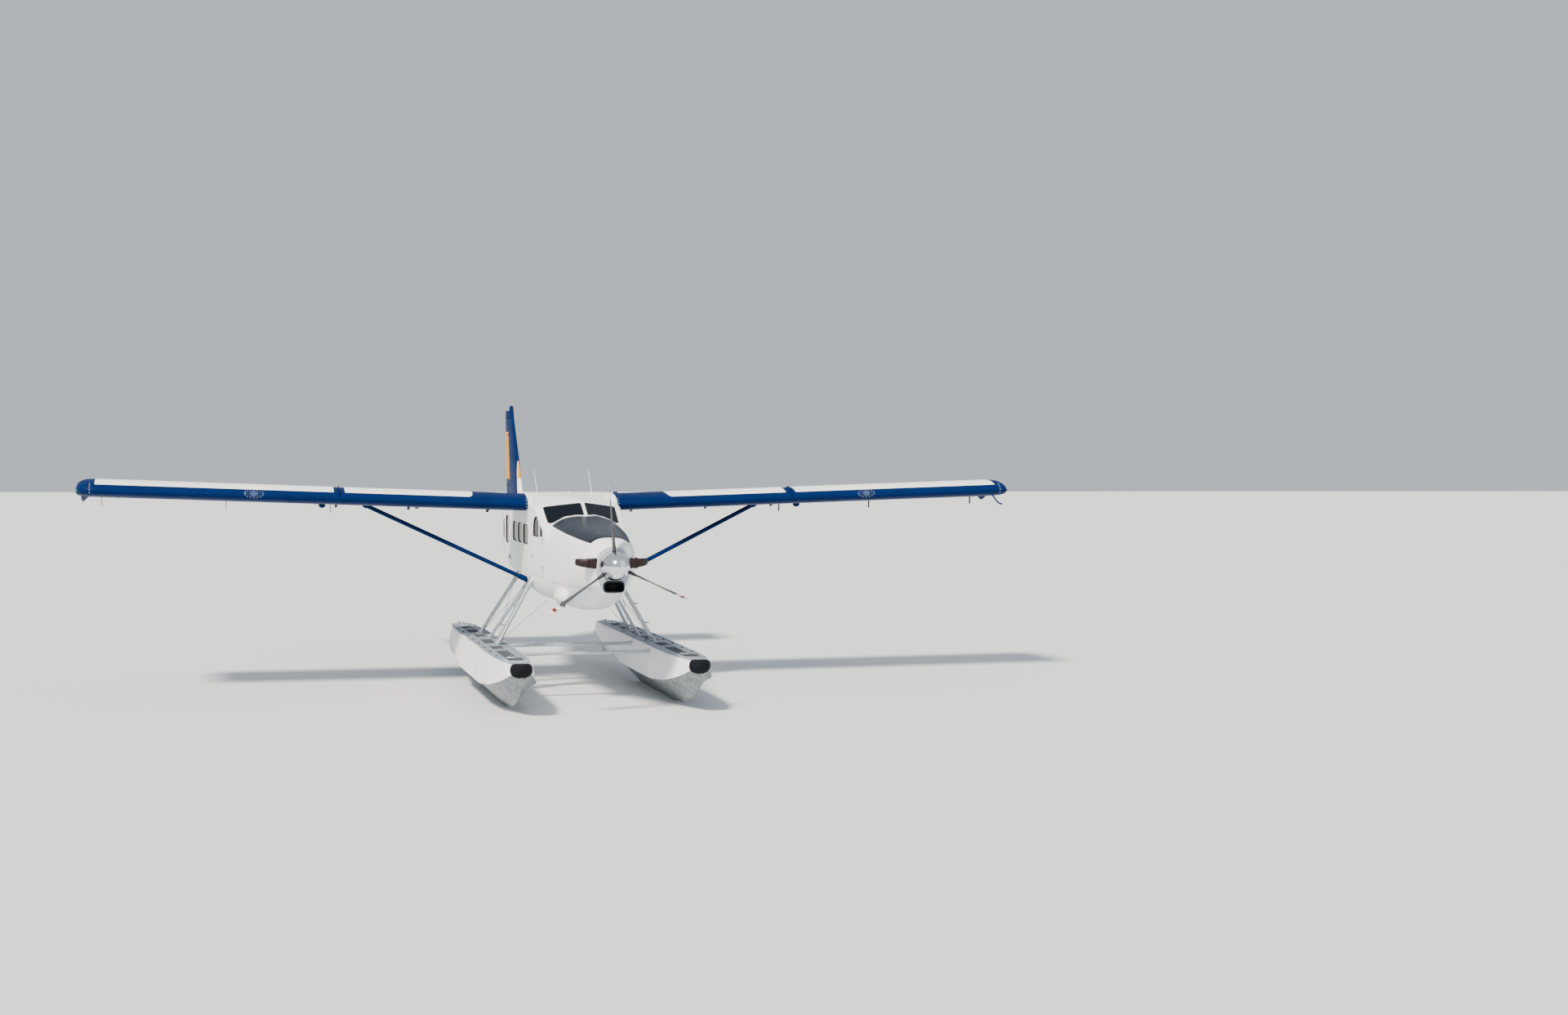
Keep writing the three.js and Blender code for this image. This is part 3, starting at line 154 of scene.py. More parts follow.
# Two planes a side cut the cabin top: crown, foot and low outer corner of pane and of brow
PANE_PLANE = ((0, -950, 3580), (0, -1400, 3325), (670, -1150, 3150))
BROW_PLANE = ((0, -290, 3675), (0, -950, 3590), (680, -450, 3515))
BROW_END_Y = 700
BROW_SOFTNESS, PANE_SOFTNESS, DECK_SOFTNESS = 50, 46, 16


def place(x, y, z):
    """A point given in millimetres by its station, in metres of the row frame."""
    return (x / 1000, (y + STATION_ZERO) / 1000, z / 1000)


def at_station(y, outline):
    """An outline of x and z pairs set square across the aircraft at a station."""
    return [place(x, y, z) for x, z in outline]


def smoothed(table, y, reach):
    """A table's values at a station, each the mean over a reach on both sides of it."""
    spots = y + reach * np.linspace(-1, 1, 9)
    return [float(np.mean(np.interp(spots, table[:, 0], column))) for column in table.T[1:]]


def section_at(y):
    """The fuselage's section values at a station, with soft changes aft of the wing."""
    return smoothed(FUSELAGE, y, 0 if y < SOFT_FROM_Y else min(SOFT_REACH, (y - SOFT_FROM_Y) / 3))


def plane_facing(plane):
    """A plane's first point and its upward normal."""
    crown, foot, corner = (Vector(p) for p in plane)
    normal = (foot - crown).cross(corner - crown).normalized()
    return crown, -normal if normal.z < 0 else normal


def plane_height(plane, x, y, depth):
    """Height of a cutting plane at a point, with the plane moved inwards by depth."""
    crown, normal = plane_facing(plane)
    return crown.z - (normal.x * x + normal.y * (y - crown.y) + depth) / normal.z


def soft_min(a, b, reach):
    """The lesser of two values, with a smooth change from one to the other."""
    return 0.5 * (a + b - np.sqrt((a - b) ** 2 + reach ** 2))


def oval(half, top, square_top, mid, bottom, square_bottom, inset=0, fineness=220):
    """Half of a body section from belly to roof, as x and z arrays."""
    angle = np.linspace(-math.pi / 2, math.pi / 2, fineness)
    rise = np.sin(angle)
    power = np.where(rise > 0, 2 / square_top, 2 / square_bottom)
    height = np.where(rise > 0, top - mid - inset, mid - bottom - inset)
    x = (half - inset) * np.abs(np.cos(angle)) ** power
    z = mid + height * np.sign(rise) * np.abs(rise) ** power
    return x, z


def evenly(x, z, count):
    """The same line with its points spread evenly along it."""
    run = np.concatenate([[0], np.cumsum(np.hypot(np.diff(x), np.diff(z)))])
    spots = np.linspace(0, run[-1], count)
    return np.interp(spots, run, x), np.interp(spots, run, z)


def whole_ring(x, z):
    """Both halves of a section as one closed outline."""
    return [(a, b) for a, b in zip(x, z)] + [(-a, b) for a, b in zip(x[-2:0:-1], z[-2:0:-1])]


def cabin_outline(y, inset=0, count=84):
    half, roof, square, mid, belly, belly_square = section_at(y)
    x, z = oval(half, roof, square, mid, belly, belly_square, inset)
    if y < BROW_END_Y:
        upper = z > mid
        panes = soft_min(plane_height(PANE_PLANE, x, y, inset), plane_height(BROW_PLANE, x, y, inset),
                         BROW_SOFTNESS)
        cut = soft_min(z, panes, PANE_SOFTNESS)
        level = np.clip(1 - (x / (half - inset)) ** DECK_SQUARE, 0, 1) ** (1 / DECK_SQUARE)
        deck = mid + (DECK_TOP - mid - inset) * level
        z = np.where(upper, np.maximum(-soft_min(-cut, -deck, DECK_SOFTNESS), mid), z)
    return whole_ring(*evenly(x, z, count))


def grid_faces(rings, points, closed=True):
    """Four-sided faces between rings of as many points each."""
    columns = points if closed else points - 1
    return [(k * points + j, k * points + (j + 1) % points, (k + 1) * points + (j + 1) % points,
             (k + 1) * points + j) for k in range(rings - 1) for j in range(columns)]


def new_piece(name, points, faces, materials, smooth=True):
    """A mesh object from points in metres, faces turned outwards."""
    mesh = bpy.data.meshes.new(name)
    mesh.from_pydata([tuple(p) for p in points], [], faces)
    work = bmesh.new()
    work.from_mesh(mesh)
    bmesh.ops.recalc_face_normals(work, faces=work.faces)
    work.to_mesh(mesh)
    work.free()
    for material in materials:
        mesh.materials.append(material)
    mesh.polygons.foreach_set("use_smooth", [smooth] * len(mesh.polygons))
    piece = bpy.data.objects.new(name, mesh)
    bpy.context.scene.collection.objects.link(piece)
    return piece


def loft(name, rings, materials, caps=True, smooth=True, crisp=None):
    """A skin through rings of points, closed at both ends; crisp sharpens its edges from an angle on."""
    count = len(rings[0])
    faces = grid_faces(len(rings), count)
    if caps:
        faces += [tuple(range(count)), tuple(range((len(rings) - 1) * count, len(rings) * count))]
    piece = new_piece(name, [p for ring in rings for p in ring], faces, materials, smooth)
    if crisp:
        sharpen(piece, crisp)
    return piece


def combine(piece, other, operation="DIFFERENCE"):
    """Cuts piece by other, or keeps what they share; other then goes."""
    step = piece.modifiers.new("combine", "BOOLEAN")
    step.operation = operation
    step.object = other
    step.solver = "EXACT"
    step.material_mode = "TRANSFER"
    finish_mesh(piece)
    bpy.data.objects.remove(other)
    return piece


def finish_mesh(piece):
    """Applies what modifiers a piece has, so that only its mesh is left."""
    graph = bpy.context.evaluated_depsgraph_get()
    made = bpy.data.meshes.new_from_object(piece.evaluated_get(graph), preserve_all_data_layers=True,
                                           depsgraph=graph)
    piece.modifiers.clear()
    old = piece.data
    piece.data = made
    made.name = piece.name
    bpy.data.meshes.remove(old)


def sharpen(piece, degrees=32):
    """Smooth faces that meet at a crisp edge where they turn by more than an angle."""
    piece.data.polygons.foreach_set("use_smooth", [True] * len(piece.data.polygons))
    piece.data.set_sharp_from_angle(angle=math.radians(degrees))


def prism_side(name, outline, side, near=500, far=1200, materials=()):
    """A cutter through the cabin side from an outline of station and height."""
    rings = [[place(side * x, y, z) for y, z in outline] for x in (near, far)]
    return loft(name, rings, materials, smooth=False)


def round_box(u0, u1, v0, v1, radius, steps=8):
    """A rectangle with round corners."""
    corners = ((u1 - radius, v1 - radius), (u0 + radius, v1 - radius), (u0 + radius, v0 + radius),
               (u1 - radius, v0 + radius))
    return [(u + radius * math.cos(a), v + radius * math.sin(a)) for k, (u, v) in enumerate(corners)
            for a in (math.pi / 2 * (k + i / steps) for i in range(steps + 1))]


def rounded(points, radius, steps=5):
    """An outline with each corner turned on an arc-like curve."""
    made = []
    for k, corner in enumerate(points):
        here = Vector(corner)
        before, after = Vector(points[k - 1]) - here, Vector(points[(k + 1) % len(points)]) - here
        reach = min(radius, before.length * 0.45, after.length * 0.45)
        a, b = here + before.normalized() * reach, here + after.normalized() * reach
        for i in range(steps + 1):
            t = i / steps
            made.append(tuple(a * (1 - t) ** 2 + here * 2 * t * (1 - t) + b * t ** 2))
    return made


def new_finish(name, colour, roughness, metallic=0.0):
    """A material whose plain values sit on the shader, with its node tree and Object coordinates."""
    made = bpy.data.materials.new(name)
    made.use_nodes = True
    tree = made.node_tree
    shader = tree.nodes["Principled BSDF"]
    shader.inputs["Base Color"].default_value = linear(colour)
    shader.inputs["Roughness"].default_value = roughness
    shader.inputs["Metallic"].default_value = metallic
    return made, tree, shader, add_node(tree, "ShaderNodeTexCoord").outputs["Object"]


def clouds(tree, spot, size_mm, detail=4.0, stretch=(1, 1, 1)):
    """Soft noise whose blotches measure about size_mm, drawn out along an axis by stretch."""
    drawn = add_node(tree, "ShaderNodeMapping", {"Vector": spot, "Scale": [1 / s for s in stretch]})
    return add_node(tree, "ShaderNodeTexNoise", {"Vector": drawn.outputs[0], "Scale": 1000 / size_mm,
                                                 "Detail": detail, "Roughness": 0.6}).outputs["Fac"]


def spread(tree, value, low, high, to_low=0.0, to_high=1.0):
    """A value's range mapped to another and held inside it."""
    return add_node(tree, "ShaderNodeMapRange", {"Value": value, "From Min": low, "From Max": high,
                                                 "To Min": to_low, "To Max": to_high}).outputs["Result"]


def blend_colours(tree, share, first, second):
    """Two colours, as hex codes or sockets, mixed by a share."""
    ends = [linear(c) if isinstance(c, str) else c for c in (first, second)]
    return add_node(tree, "ShaderNodeMix", {0: share, 6: ends[0], 7: ends[1]}, data_type="RGBA").outputs[2]


def relief(tree, shader, height, depth_mm):
    """A bumpy surface on a shader, its highest spots depth_mm above the lowest."""
    bump = add_node(tree, "ShaderNodeBump", {"Height": height, "Distance": depth_mm / 1000, "Strength": 1.0})
    tree.links.new(bump.outputs[0], shader.inputs["Normal"])


def calculate(tree, operation, *values):
    """One step of arithmetic on numbers or sockets."""
    return add_node(tree, "ShaderNodeMath", dict(enumerate(values)), operation=operation).outputs[0]


def split_axes(tree, spot):
    """The three coordinates of a spot."""
    return add_node(tree, "ShaderNodeSeparateXYZ", {0: spot}).outputs


def mirrored(tree, spot):
    """The spot with x made positive, so that one rule paints both sides."""
    axes = split_axes(tree, spot)
    outwards = calculate(tree, "ABSOLUTE", axes[0])
    return add_node(tree, "ShaderNodeCombineXYZ", {0: outwards, 1: axes[1], 2: axes[2]}).outputs[0]


def beyond(tree, spot, direction, limit):
    """1 where the spot lies past a limit along a direction, else 0, with an edge of two millimetres."""
    reach = add_node(tree, "ShaderNodeVectorMath", {0: spot, 1: direction},
                     operation="DOT_PRODUCT").outputs["Value"]
    return spread(tree, reach, limit - 0.001, limit + 0.001)


def both(tree, *masks, operation="MULTIPLY"):
    """The product of masks: 1 where all of them are."""
    whole = masks[0]
    for mask in masks[1:]:
        whole = calculate(tree, operation, whole, mask)
    return whole


def either(tree, *masks):
    """The largest of masks: 1 where any of them is."""
    return both(tree, *masks, operation="MAXIMUM")


WHITE, WHITE_SHADE = "#f4f5f6", "#e3e6e8"
NAVY, NAVY_SHADE = "#06204f", "#051a40"
GOLD = "#e39a00"
STREAK_MM, SPECK_MM, SHEET_WAVE_MM = 420, 36, 240


def aircraft_paint(name, colour, shade, scheme=None, roughness=0.3, gloss=0.12, coated=0.05):
    """Two-pack polyurethane over aluminium sheet: gloss, with slow waves in the sheet and faint grime."""
    made, tree, shader, spot = new_finish(name, colour, roughness)
    grime = both(tree, spread(tree, clouds(tree, spot, STREAK_MM, 6, (1, 2.5, 1)), 0.42, 0.72),
                 spread(tree, clouds(tree, spot, SPECK_MM, 3), 0.35, 0.7))
    coat = blend_colours(tree, grime, colour, shade)
    if scheme:
        coat = scheme(tree, spot, coat)
    tree.links.new(coat, shader.inputs["Base Color"])
    tree.links.new(spread(tree, grime, 0, 1, roughness, roughness + 0.16), shader.inputs["Roughness"])
    shader.inputs["Specular IOR Level"].default_value = gloss
    shader.inputs["Coat Weight"].default_value = coated
    shader.inputs["Coat Roughness"].default_value = 0.06
    relief(tree, shader, clouds(tree, spot, SHEET_WAVE_MM, 2), 0.9)
    return made


GLARE_FRONT_Y = -3600
GLARE_GREY = "#121724"
# Planes in metres that bound it: the pane's foot, its low corner and the panel's side edge
PANE_FOOT = (0.677, -1, 0), 1.445
PANE_CORNER = (0, -1, 0), 1.21
GLARE_SLOPE, GLARE_EDGE_Z = -0.0833, 3.2458


def glare_panel(tree, spot, coat):
    """Dark glare panel on the nose top, narrowing from the windshield to a straight front edge."""
    side = mirrored(tree, spot)
    base_y = STATION_ZERO / 1000
    aft_of_front = beyond(tree, side, (0, 1, 0), base_y + GLARE_FRONT_Y / 1000)
    ahead_of_pane = beyond(tree, side, PANE_FOOT[0], PANE_FOOT[1] - base_y)
    ahead_of_corner = beyond(tree, side, PANE_CORNER[0], PANE_CORNER[1] - base_y)
    above_edge = beyond(tree, side, (0, GLARE_SLOPE, 1), GLARE_EDGE_Z + GLARE_SLOPE * base_y)
    return blend_colours(tree, both(tree, aft_of_front, ahead_of_pane, ahead_of_corner, above_edge), coat,
                         GLARE_GREY)


BAND_DIRECTION = (0, 0.507, -0.862)
BAND_START, BAND_WIDTH = -1.034, 0.12


def tail_band(tree, spot, coat):
    """Gold band that climbs aft across the fuselage, with navy below and behind it."""
    gold = beyond(tree, spot, BAND_DIRECTION, BAND_START)
    navy = beyond(tree, spot, BAND_DIRECTION, BAND_START + BAND_WIDTH)
    return blend_colours(tree, navy, blend_colours(tree, gold, coat, GOLD), NAVY)


def fuselage_scheme(tree, spot, coat):
    return tail_band(tree, spot, glare_panel(tree, spot, coat))


body_paint = aircraft_paint("white_paint_on_sheet", WHITE, WHITE_SHADE, fuselage_scheme)


def plain_finish(name, colour, shade, roughness, metallic=0.0, blotch_mm=60, depth_mm=0.15):
    """A finish with small blotches of a second shade and a fine uneven surface."""
    made, tree, shader, spot = new_finish(name, colour, roughness, metallic)
    patches = spread(tree, clouds(tree, spot, blotch_mm), 0.35, 0.7)
    tree.links.new(blend_colours(tree, patches, colour, shade), shader.inputs["Base Color"])
    tree.links.new(spread(tree, patches, 0, 1, roughness - 0.05, roughness + 0.1),
                   shader.inputs["Roughness"])
    relief(tree, shader, clouds(tree, spot, blotch_mm / 6, 3), depth_mm)
    return made


# Moulded headliner and side trim: a pale grey textured plastic
trim_plastic = plain_finish("moulded_grey_trim", "#8d9196", "#7d8186", 0.62, 0, 12, 0.3)
# Window rubber: extruded black profile, dull and slightly dusty
seal_rubber = plain_finish("black_window_rubber", "#1b1c1e", "#2b2c2e", 0.7, 0, 20, 0.2)

# Side openings as in the solids: an arched cockpit pane, a small vent pane before it, the cabin door's
# pane, three bays and a round pane
DOORS = {
    "cockpit_door": dict(y0=-1180, y1=-280, z0=2210, top=(3420, 3385, 3275, 3060),
                         panes=("vent", "cockpit")),
    "cabin_door": dict(y0=2480, y1=3430, z0=2150, top=(3330, 3330, 3330, 3330), panes=("door",)),
}
ARCH_Y, ARCH_Z, ARCH_RADIUS = -647.5, 3082.5, 217.5
arch = [(ARCH_Y + ARCH_RADIUS * math.cos(a), ARCH_Z + ARCH_RADIUS * math.sin(a))
        for a in np.linspace(0, math.pi, 15)]
BAY_SILL, BAY_TOP = 2745, 3115
PANES = {
    "cockpit": rounded([(ARCH_Y - ARCH_RADIUS, 2930), (ARCH_Y + ARCH_RADIUS, 2930)] + arch, 30),
    "vent": rounded([(-1140, 2940), (-965, 2940), (-965, 3145), (-1140, 3045)], 45),
    "door": round_box(2680, 3230, 2640, 3190, 110),
    "bay_1": round_box(60, 640, BAY_SILL, BAY_TOP, 90),
    "bay_2": round_box(780, 1330, BAY_SILL, BAY_TOP, 90),
    "bay_3": round_box(1450, 2000, BAY_SILL, BAY_TOP, 90),
    "round": round_box(3640, 4060, 2680, 3100, 190, 12),
}
SIDES = {"left": 1, "right": -1}


def door_outline(door, inset, aft_inset):
    low, high = door["y0"] + inset, door["y1"] - aft_inset
    span = door["y1"] - door["y0"]
    edge = [door["y1"], door["y1"] - span * 0.31, door["y1"] - span * 0.58, door["y0"]]
    crest = [(min(high, max(low, y)), z - inset) for y, z in zip(edge, door["top"])]
    return rounded([(low, door["z0"] + inset), (high, door["z0"] + inset)] + crest, 55, 6)


PANE_CORNERS = [(30, -1365), (340, -1135), (590, -1160), (655, -1090), (672, -590), (350, -775), (30, -965)]


def on_pane(x, y, lift, side):
    """A point on the windshield plane, lifted off it along its normal, in millimetres."""
    crown, normal = plane_facing((side * px, py, pz) for px, py, pz in PANE_PLANE)
    z = crown.z - (normal.x * side * x + normal.y * (y - crown.y)) / normal.z
    return Vector((side * x, y, z)) + normal * lift


def pane_ring(side, lift, inset=0.0):
    centre = Vector((370, -1000))
    outline = rounded(PANE_CORNERS, 55, 6)
    inner = [Vector(p) + (centre - Vector(p)).normalized() * inset for p in outline]
    return [place(*on_pane(p.x, p.y, lift, side)) for p in inner]


def cabin_block(name, stations, inset, count, material):
    return loft(name, [at_station(y, cabin_outline(y, inset, count)) for y in stations], [material])


nose_stations = np.linspace(FIREWALL_Y, CREASE_Y, 54)
aft_stations = np.linspace(CREASE_Y + 60, BULKHEAD_Y, 52)
cabin = cabin_block("cabin_skin", np.concatenate([nose_stations, aft_stations]), 0, 84, body_paint)
room_stations = [*np.linspace(FIREWALL_Y + WALL, 0, 26), *np.linspace(150, 4250, 16), 4360]
room = cabin_block("cabin_room", room_stations, WALL, 50, trim_plastic)
combine(cabin, room)
cutters = []
for side in SIDES.values():
    for door in DOORS.values():
        cutters.append(prism_side("cut", door_outline(door, 0, 0), side, materials=[seal_rubber]))
    for name in ("bay_1", "bay_2", "bay_3", "round"):
        cutters.append(prism_side("cut", PANES[name], side, materials=[seal_rubber]))
    cutters.append(loft("cut", [pane_ring(side, -2 * WALL), pane_ring(side, 60)], [seal_rubber],
                        smooth=False))


def join_all(name, pieces):
    """Several mesh objects as one."""
    with bpy.context.temp_override(active_object=pieces[0], selected_editable_objects=pieces):
        bpy.ops.object.join()
    pieces[0].name = pieces[0].data.name = name
    return pieces[0]


combine(cabin, join_all("cuts", cutters))
sharpen(cabin, 40)
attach(cabin, "airframe")
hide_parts("cabin_shell")

# Cabin glazing. Acrylic panes sit a little inside the skin in black rubber, each in a thin pressed white
# frame; side panes follow the cabin's side, and the two windshield panes are flat. Their dark tint is
# partly painted shade: it stands in for the unlit cabin behind them.


def acrylic_dark_with_cabin_shade(name, tint, clarity):
    """Cast acrylic, very smooth and see-through enough to show the seats; its dark tint is partly painted
    shade of the cabin behind it.
    """
    made, tree, shader, spot = new_finish(name, tint, 0.03)
    shader.inputs["IOR"].default_value = 1.3
    shader.inputs["Specular IOR Level"].default_value = 0.3
    haze = spread(tree, clouds(tree, spot, 160, 4), 0.45, 0.8, 1 - clarity, 1 - clarity + 0.08)
    tree.links.new(haze, shader.inputs["Alpha"])
    relief(tree, shader, clouds(tree, spot, 500, 1), 0.5)
    return made


window_acrylic_shaded = acrylic_dark_with_cabin_shade("acrylic_darkened_as_cabin_shade", "#0b1015", 0.26)
windshield_acrylic_shaded = acrylic_dark_with_cabin_shade("windshield_acrylic_shaded", "#0d131c", 0.28)
frame_paint = aircraft_paint("white_frame_paint", WHITE, WHITE_SHADE, roughness=0.3)


def side_x(y, z):
    """Half width of the cabin skin at a station and height."""
    half, roof, square, mid, belly, belly_square = section_at(y)
    reach, power = (roof - mid, square) if z > mid else (mid - belly, belly_square)
    return half * max(0.0, 1 - (abs(z - mid) / reach) ** power) ** (1 / power)


def offset(outline, distance):
    """The outline moved inwards by a distance, or outwards by a negative one."""
    points = [Vector(p) for p in outline]
    area = sum(a.x * b.y - b.x * a.y for a, b in zip(points, points[1:] + points[:1]))
    made = []
    for k, p in enumerate(points):
        along = points[(k + 1) % len(points)] - points[k - 1]
        inwards = Vector((-along.y, along.x)).normalized() * (1 if area > 0 else -1)
        made.append(tuple(p + inwards * distance))
    return made


def on_side(outline, side, depth):
    """An outline of station and height laid on the cabin side, depth millimetres inside the skin."""
    return [place(side * (side_x(y, z) - depth), y, z) for y, z in outline]


def tube_of_rings(name, rings, material):
    """A closed band whose section runs through the rings in turn and back to the first."""
    count = len(rings[0])
    faces = grid_faces(len(rings), count)
    last = (len(rings) - 1) * count
    faces += [(last + j, last + (j + 1) % count, (j + 1) % count, j) for j in range(count)]
    piece = new_piece(name, [p for ring in rings for p in ring], faces, [material])
    sharpen(piece, 40)
    return piece


SEAL_PROFILE = [(-4, -3), (-1, -5), (8, -4), (14, 2), (14, 12), (-2, 8)]
FRAME_PROFILE = [(-30, 1), (-29, -3), (-6, -4), (-3, -2), (-3, 3), (-30, 4)]
RIM_PROFILE = [(-34, -5), (-33, 3), (-4, 5), (0, 1), (2, -12), (-34, -12)]
BEAD_PROFILE = [(-1, 4), (8, 1), (13, -4), (13, -14), (-1, -14)]


def glaze_side(name, outlines, side, body, depth=10):
    """Panes, rubbers and frames of one side's windows, as two pieces."""
    panes = [loft("pane", [on_side(offset(o, 1), side, depth), on_side(offset(o, 1), side, depth + 5)],
                  [window_acrylic_shaded], smooth=False) for o in outlines]
    rims = [tube_of_rings("seal", [on_side(offset(o, d), side, e) for d, e in SEAL_PROFILE], seal_rubber)
            for o in outlines]
    rims += [tube_of_rings("frame", [on_side(offset(o, d), side, e) for d, e in FRAME_PROFILE], frame_paint)
             for o in outlines]
    glass, trim = join_all(name + "_glass", panes), join_all(name + "_frames", rims)
    for piece, slot in ((glass, "window_glass"), (trim, "white_paint")):
        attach(piece, body)
    return glass


for side_name, side in SIDES.items():
    glass = glaze_side(f"cabin_windows_{side_name}",
                       [PANES[n] for n in ("bay_1", "bay_2", "bay_3", "round")], side, "airframe")
    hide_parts(f"side_glass_{side_name}")
    rim = tube_of_rings("pane_rim", [pane_ring(side, lift, inset) for inset, lift in RIM_PROFILE],
                        frame_paint)
    bead = tube_of_rings("pane_bead", [pane_ring(side, lift, inset) for inset, lift in BEAD_PROFILE],
                         seal_rubber)
    pane = loft(f"windshield_pane_{side_name}", [pane_ring(side, -5, 3), pane_ring(side, -12, 3)],
                [windshield_acrylic_shaded], smooth=False)
    surround = join_all(f"windshield_frame_{side_name}", [rim, bead])
    for piece in (pane, surround):
        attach(piece, "airframe")
    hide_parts(f"windshield_{side_name}")

# Cabin doors. Each is cut from the same curved sheet as the body, with its own panes, a flush handle
# and two outside hinges on its front edge.
HINGE_OUT = 22
HINGES = {"cockpit_door": (759, (2390, 2890)), "cabin_door": (816, (2400, 3080))}
hinge_steel = plain_finish("painted_hinge_steel", "#d9dcdf", "#b4b8bc", 0.35, 0.3, 15, 0.1)
handle_alloy = plain_finish("cast_alloy_handle", "#a9adb2", "#8d9196", 0.32, 0.9, 14, 0.1)


def turns(count):
    """Angles spread evenly over one whole turn."""
    return np.linspace(0, 2 * math.pi, count, endpoint=False)


def rod(name, start, end, radius, material, sides=16, end_radius=None, ball=0.25):
    """A round bar between two points in millimetres, with slightly domed ends."""
    a, b = Vector(place(*start)), Vector(place(*end))
    along = (b - a).normalized()
    across = along.orthogonal().normalized()
    upright = along.cross(across)
    r0, r1 = radius / 1000, (radius if end_radius is None else end_radius) / 1000
    length = (b - a).length
    spots = [(0, r0 * 0.6), (min(r0 * ball, length / 4), r0), (length - min(r1 * ball, length / 4), r1),
             (length, r1 * 0.6)]
    rings = [[a + along * t + (across * math.cos(w) + upright * math.sin(w)) * r
              for w in turns(sides)] for t, r in spots]
    return loft(name, rings, [material], crisp=40)


def slab(name, low, high, material, edge=3.0):
    """A block between two corners in millimetres, with its edges rounded over."""
    work = bmesh.new()
    bmesh.ops.create_cube(work, size=1)
    low, high = Vector(place(*low)), Vector(place(*high))
    for corner in work.verts:
        corner.co = Vector(low[i] + (corner.co[i] + 0.5) * (high[i] - low[i]) for i in range(3))
    reach = min(edge / 1000, 0.45 * min(abs(high[i] - low[i]) for i in range(3)))
    bmesh.ops.bevel(work, geom=work.edges[:] + work.verts[:], offset=reach, segments=2, profile=0.5,
                    affect="EDGES")
    bmesh.ops.recalc_face_normals(work, faces=work.faces)
    mesh = bpy.data.meshes.new(name)
    work.to_mesh(mesh)
    work.free()
    mesh.materials.append(material)
    piece = bpy.data.objects.new(name, mesh)
    bpy.context.scene.collection.objects.link(piece)
    sharpen(piece, 50)
    return piece


def mirror_x(side, low, high):
    """Two corners whose x runs the right way on either side."""
    x = sorted((side * low[0], side * high[0]))
    return (x[0], *low[1:]), (x[1], *high[1:])


def turned_upright(x, y, profile, count):
    """Rings of points about an upright axis, from radius and height pairs."""
    return [[place(x + r * math.cos(w), y + r * math.sin(w), h) for w in turns(count)] for r, h in profile]


def hinge_parts(name, side):
    """The fixed and moving leaves of a door's hinges; the pin belongs to the fixed ones."""
    skin, heights = HINGES[name]
    axis_y = DOORS[name]["y0"] + 3
    x = side * (skin + HINGE_OUT)
    fixed, moving = [], []
    for z in heights:
        leaf = mirror_x(side, (skin - 20, DOORS[name]["y0"] - 60, z - 58),
                        (skin + 33, DOORS[name]["y0"] - 4, z - 26))
        fixed += [slab("leaf", *leaf, hinge_steel, 8),
                  rod("eye", (x, axis_y, z - 58), (x, axis_y, z - 25.6), 12, hinge_steel),
                  rod("pin", (x, axis_y, z - 40), (x, axis_y, z + 24.6), 7, handle_alloy)]
        leaf = mirror_x(side, (skin - 15, axis_y + 6, z - 25),
                        (skin + HINGE_OUT + 8, DOORS[name]["y0"] + 75, z + 25))
        moving += [slab("leaf", *leaf, hinge_steel, 8)]
        profile = ((13, z - 25), (13, z + 25), (7.8, z + 25), (7.8, z - 25))
        moving.append(tube_of_rings("knuckle", turned_upright(x, axis_y, profile, 20), hinge_steel))
    return fixed, moving


def door_handle(name, side):
    """A recessed cup with a lever across it."""
    y, z = DOORS[name]["y1"] - 110, 2560
    cup = [on_side(offset(round_box(y - 75, y + 75, z - 32, z + 32, 30), d), side, e)
           for d, e in ((0, 1), (1, -2), (5, -2), (9, 9), (30, 9))]
    plate = loft("cup", cup, [handle_alloy])
    x = side * (side_x(y, z) - 3)
    lever = [rod("lever", (x, y - 52, z), (x + side * 9, y + 50, z), 7, handle_alloy)]
    return [plate] + lever


for door_name, door in DOORS.items():
    stations = np.linspace(door["y0"] - 60, door["y1"] + 60, 26)
    for side_name, side in SIDES.items():
        skin = cabin_block(f"{door_name}_skin_{side_name}", stations, 0, 84, body_paint)
        inner_stations = [stations[0] - 50, *stations[1:-1:4], stations[-1] + 50]
        combine(skin, cabin_block("inner", inner_stations, WALL, 50, trim_plastic))
        combine(skin, prism_side("cut", door_outline(door, 6, 14), side, materials=[seal_rubber]),
                "INTERSECT")
        cuts = [prism_side("cut", PANES[n], side, materials=[seal_rubber]) for n in door["panes"]]
        combine(skin, join_all("cuts", cuts))
        sharpen(skin, 40)
        fixed, moving = hinge_parts(door_name, side)
        skin = join_all(skin.name, [skin] + moving + door_handle(door_name, side))
        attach(skin, f"{door_name}_{side_name}")
        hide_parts(f"{door_name}_{side_name}")
        glaze_side(f"{door_name}_windows_{side_name}", [PANES[n] for n in door["panes"]], side,
                   f"{door_name}_{side_name}")
        leaves = join_all(f"{door_name}_hinges_{side_name}", fixed)
        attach(leaves, "airframe")

# Engine cowl. Formed sheet and glass-fibre panels from the firewall to a bare metal nose ring, with the
# intake mouth below the spinner and an oval hole on each side for the exhaust.
COWL_FRONT_Y = -3950
AXIS_Z = 2590
COWL = np.array([
    (COWL_FRONT_Y, 262, 2850, 2, 2590, 2110, 2),
    (-3820, 345, 2960, 2.3, 2590, 2085, 2.1),
    (-3600, 440, 3055, 2.8, 2590, 2070, 2.2),
    (-3000, 545, 3125, 3, 2590, 1925, 2.2),
    (-2300, 645, 3210, 3, 2600, 1720, 2.4),
    (-1900, 690, 3265, 2.8, 2600, 1665, 2.6),
    (FIREWALL_Y, 735, 3325, 2.6, 2600, 1690, 3),
], float)
INTAKE = dict(half=165, z0=2145, z1=2305)


def cowl_outline(y, inset=0, count=70):
    y = min(max(y, COWL_FRONT_Y), FIREWALL_Y)
    values = smoothed(COWL, y, min(150, (y - COWL_FRONT_Y) / 2, (FIREWALL_Y - y) / 2))
    return whole_ring(*evenly(*oval(*values, inset), count))


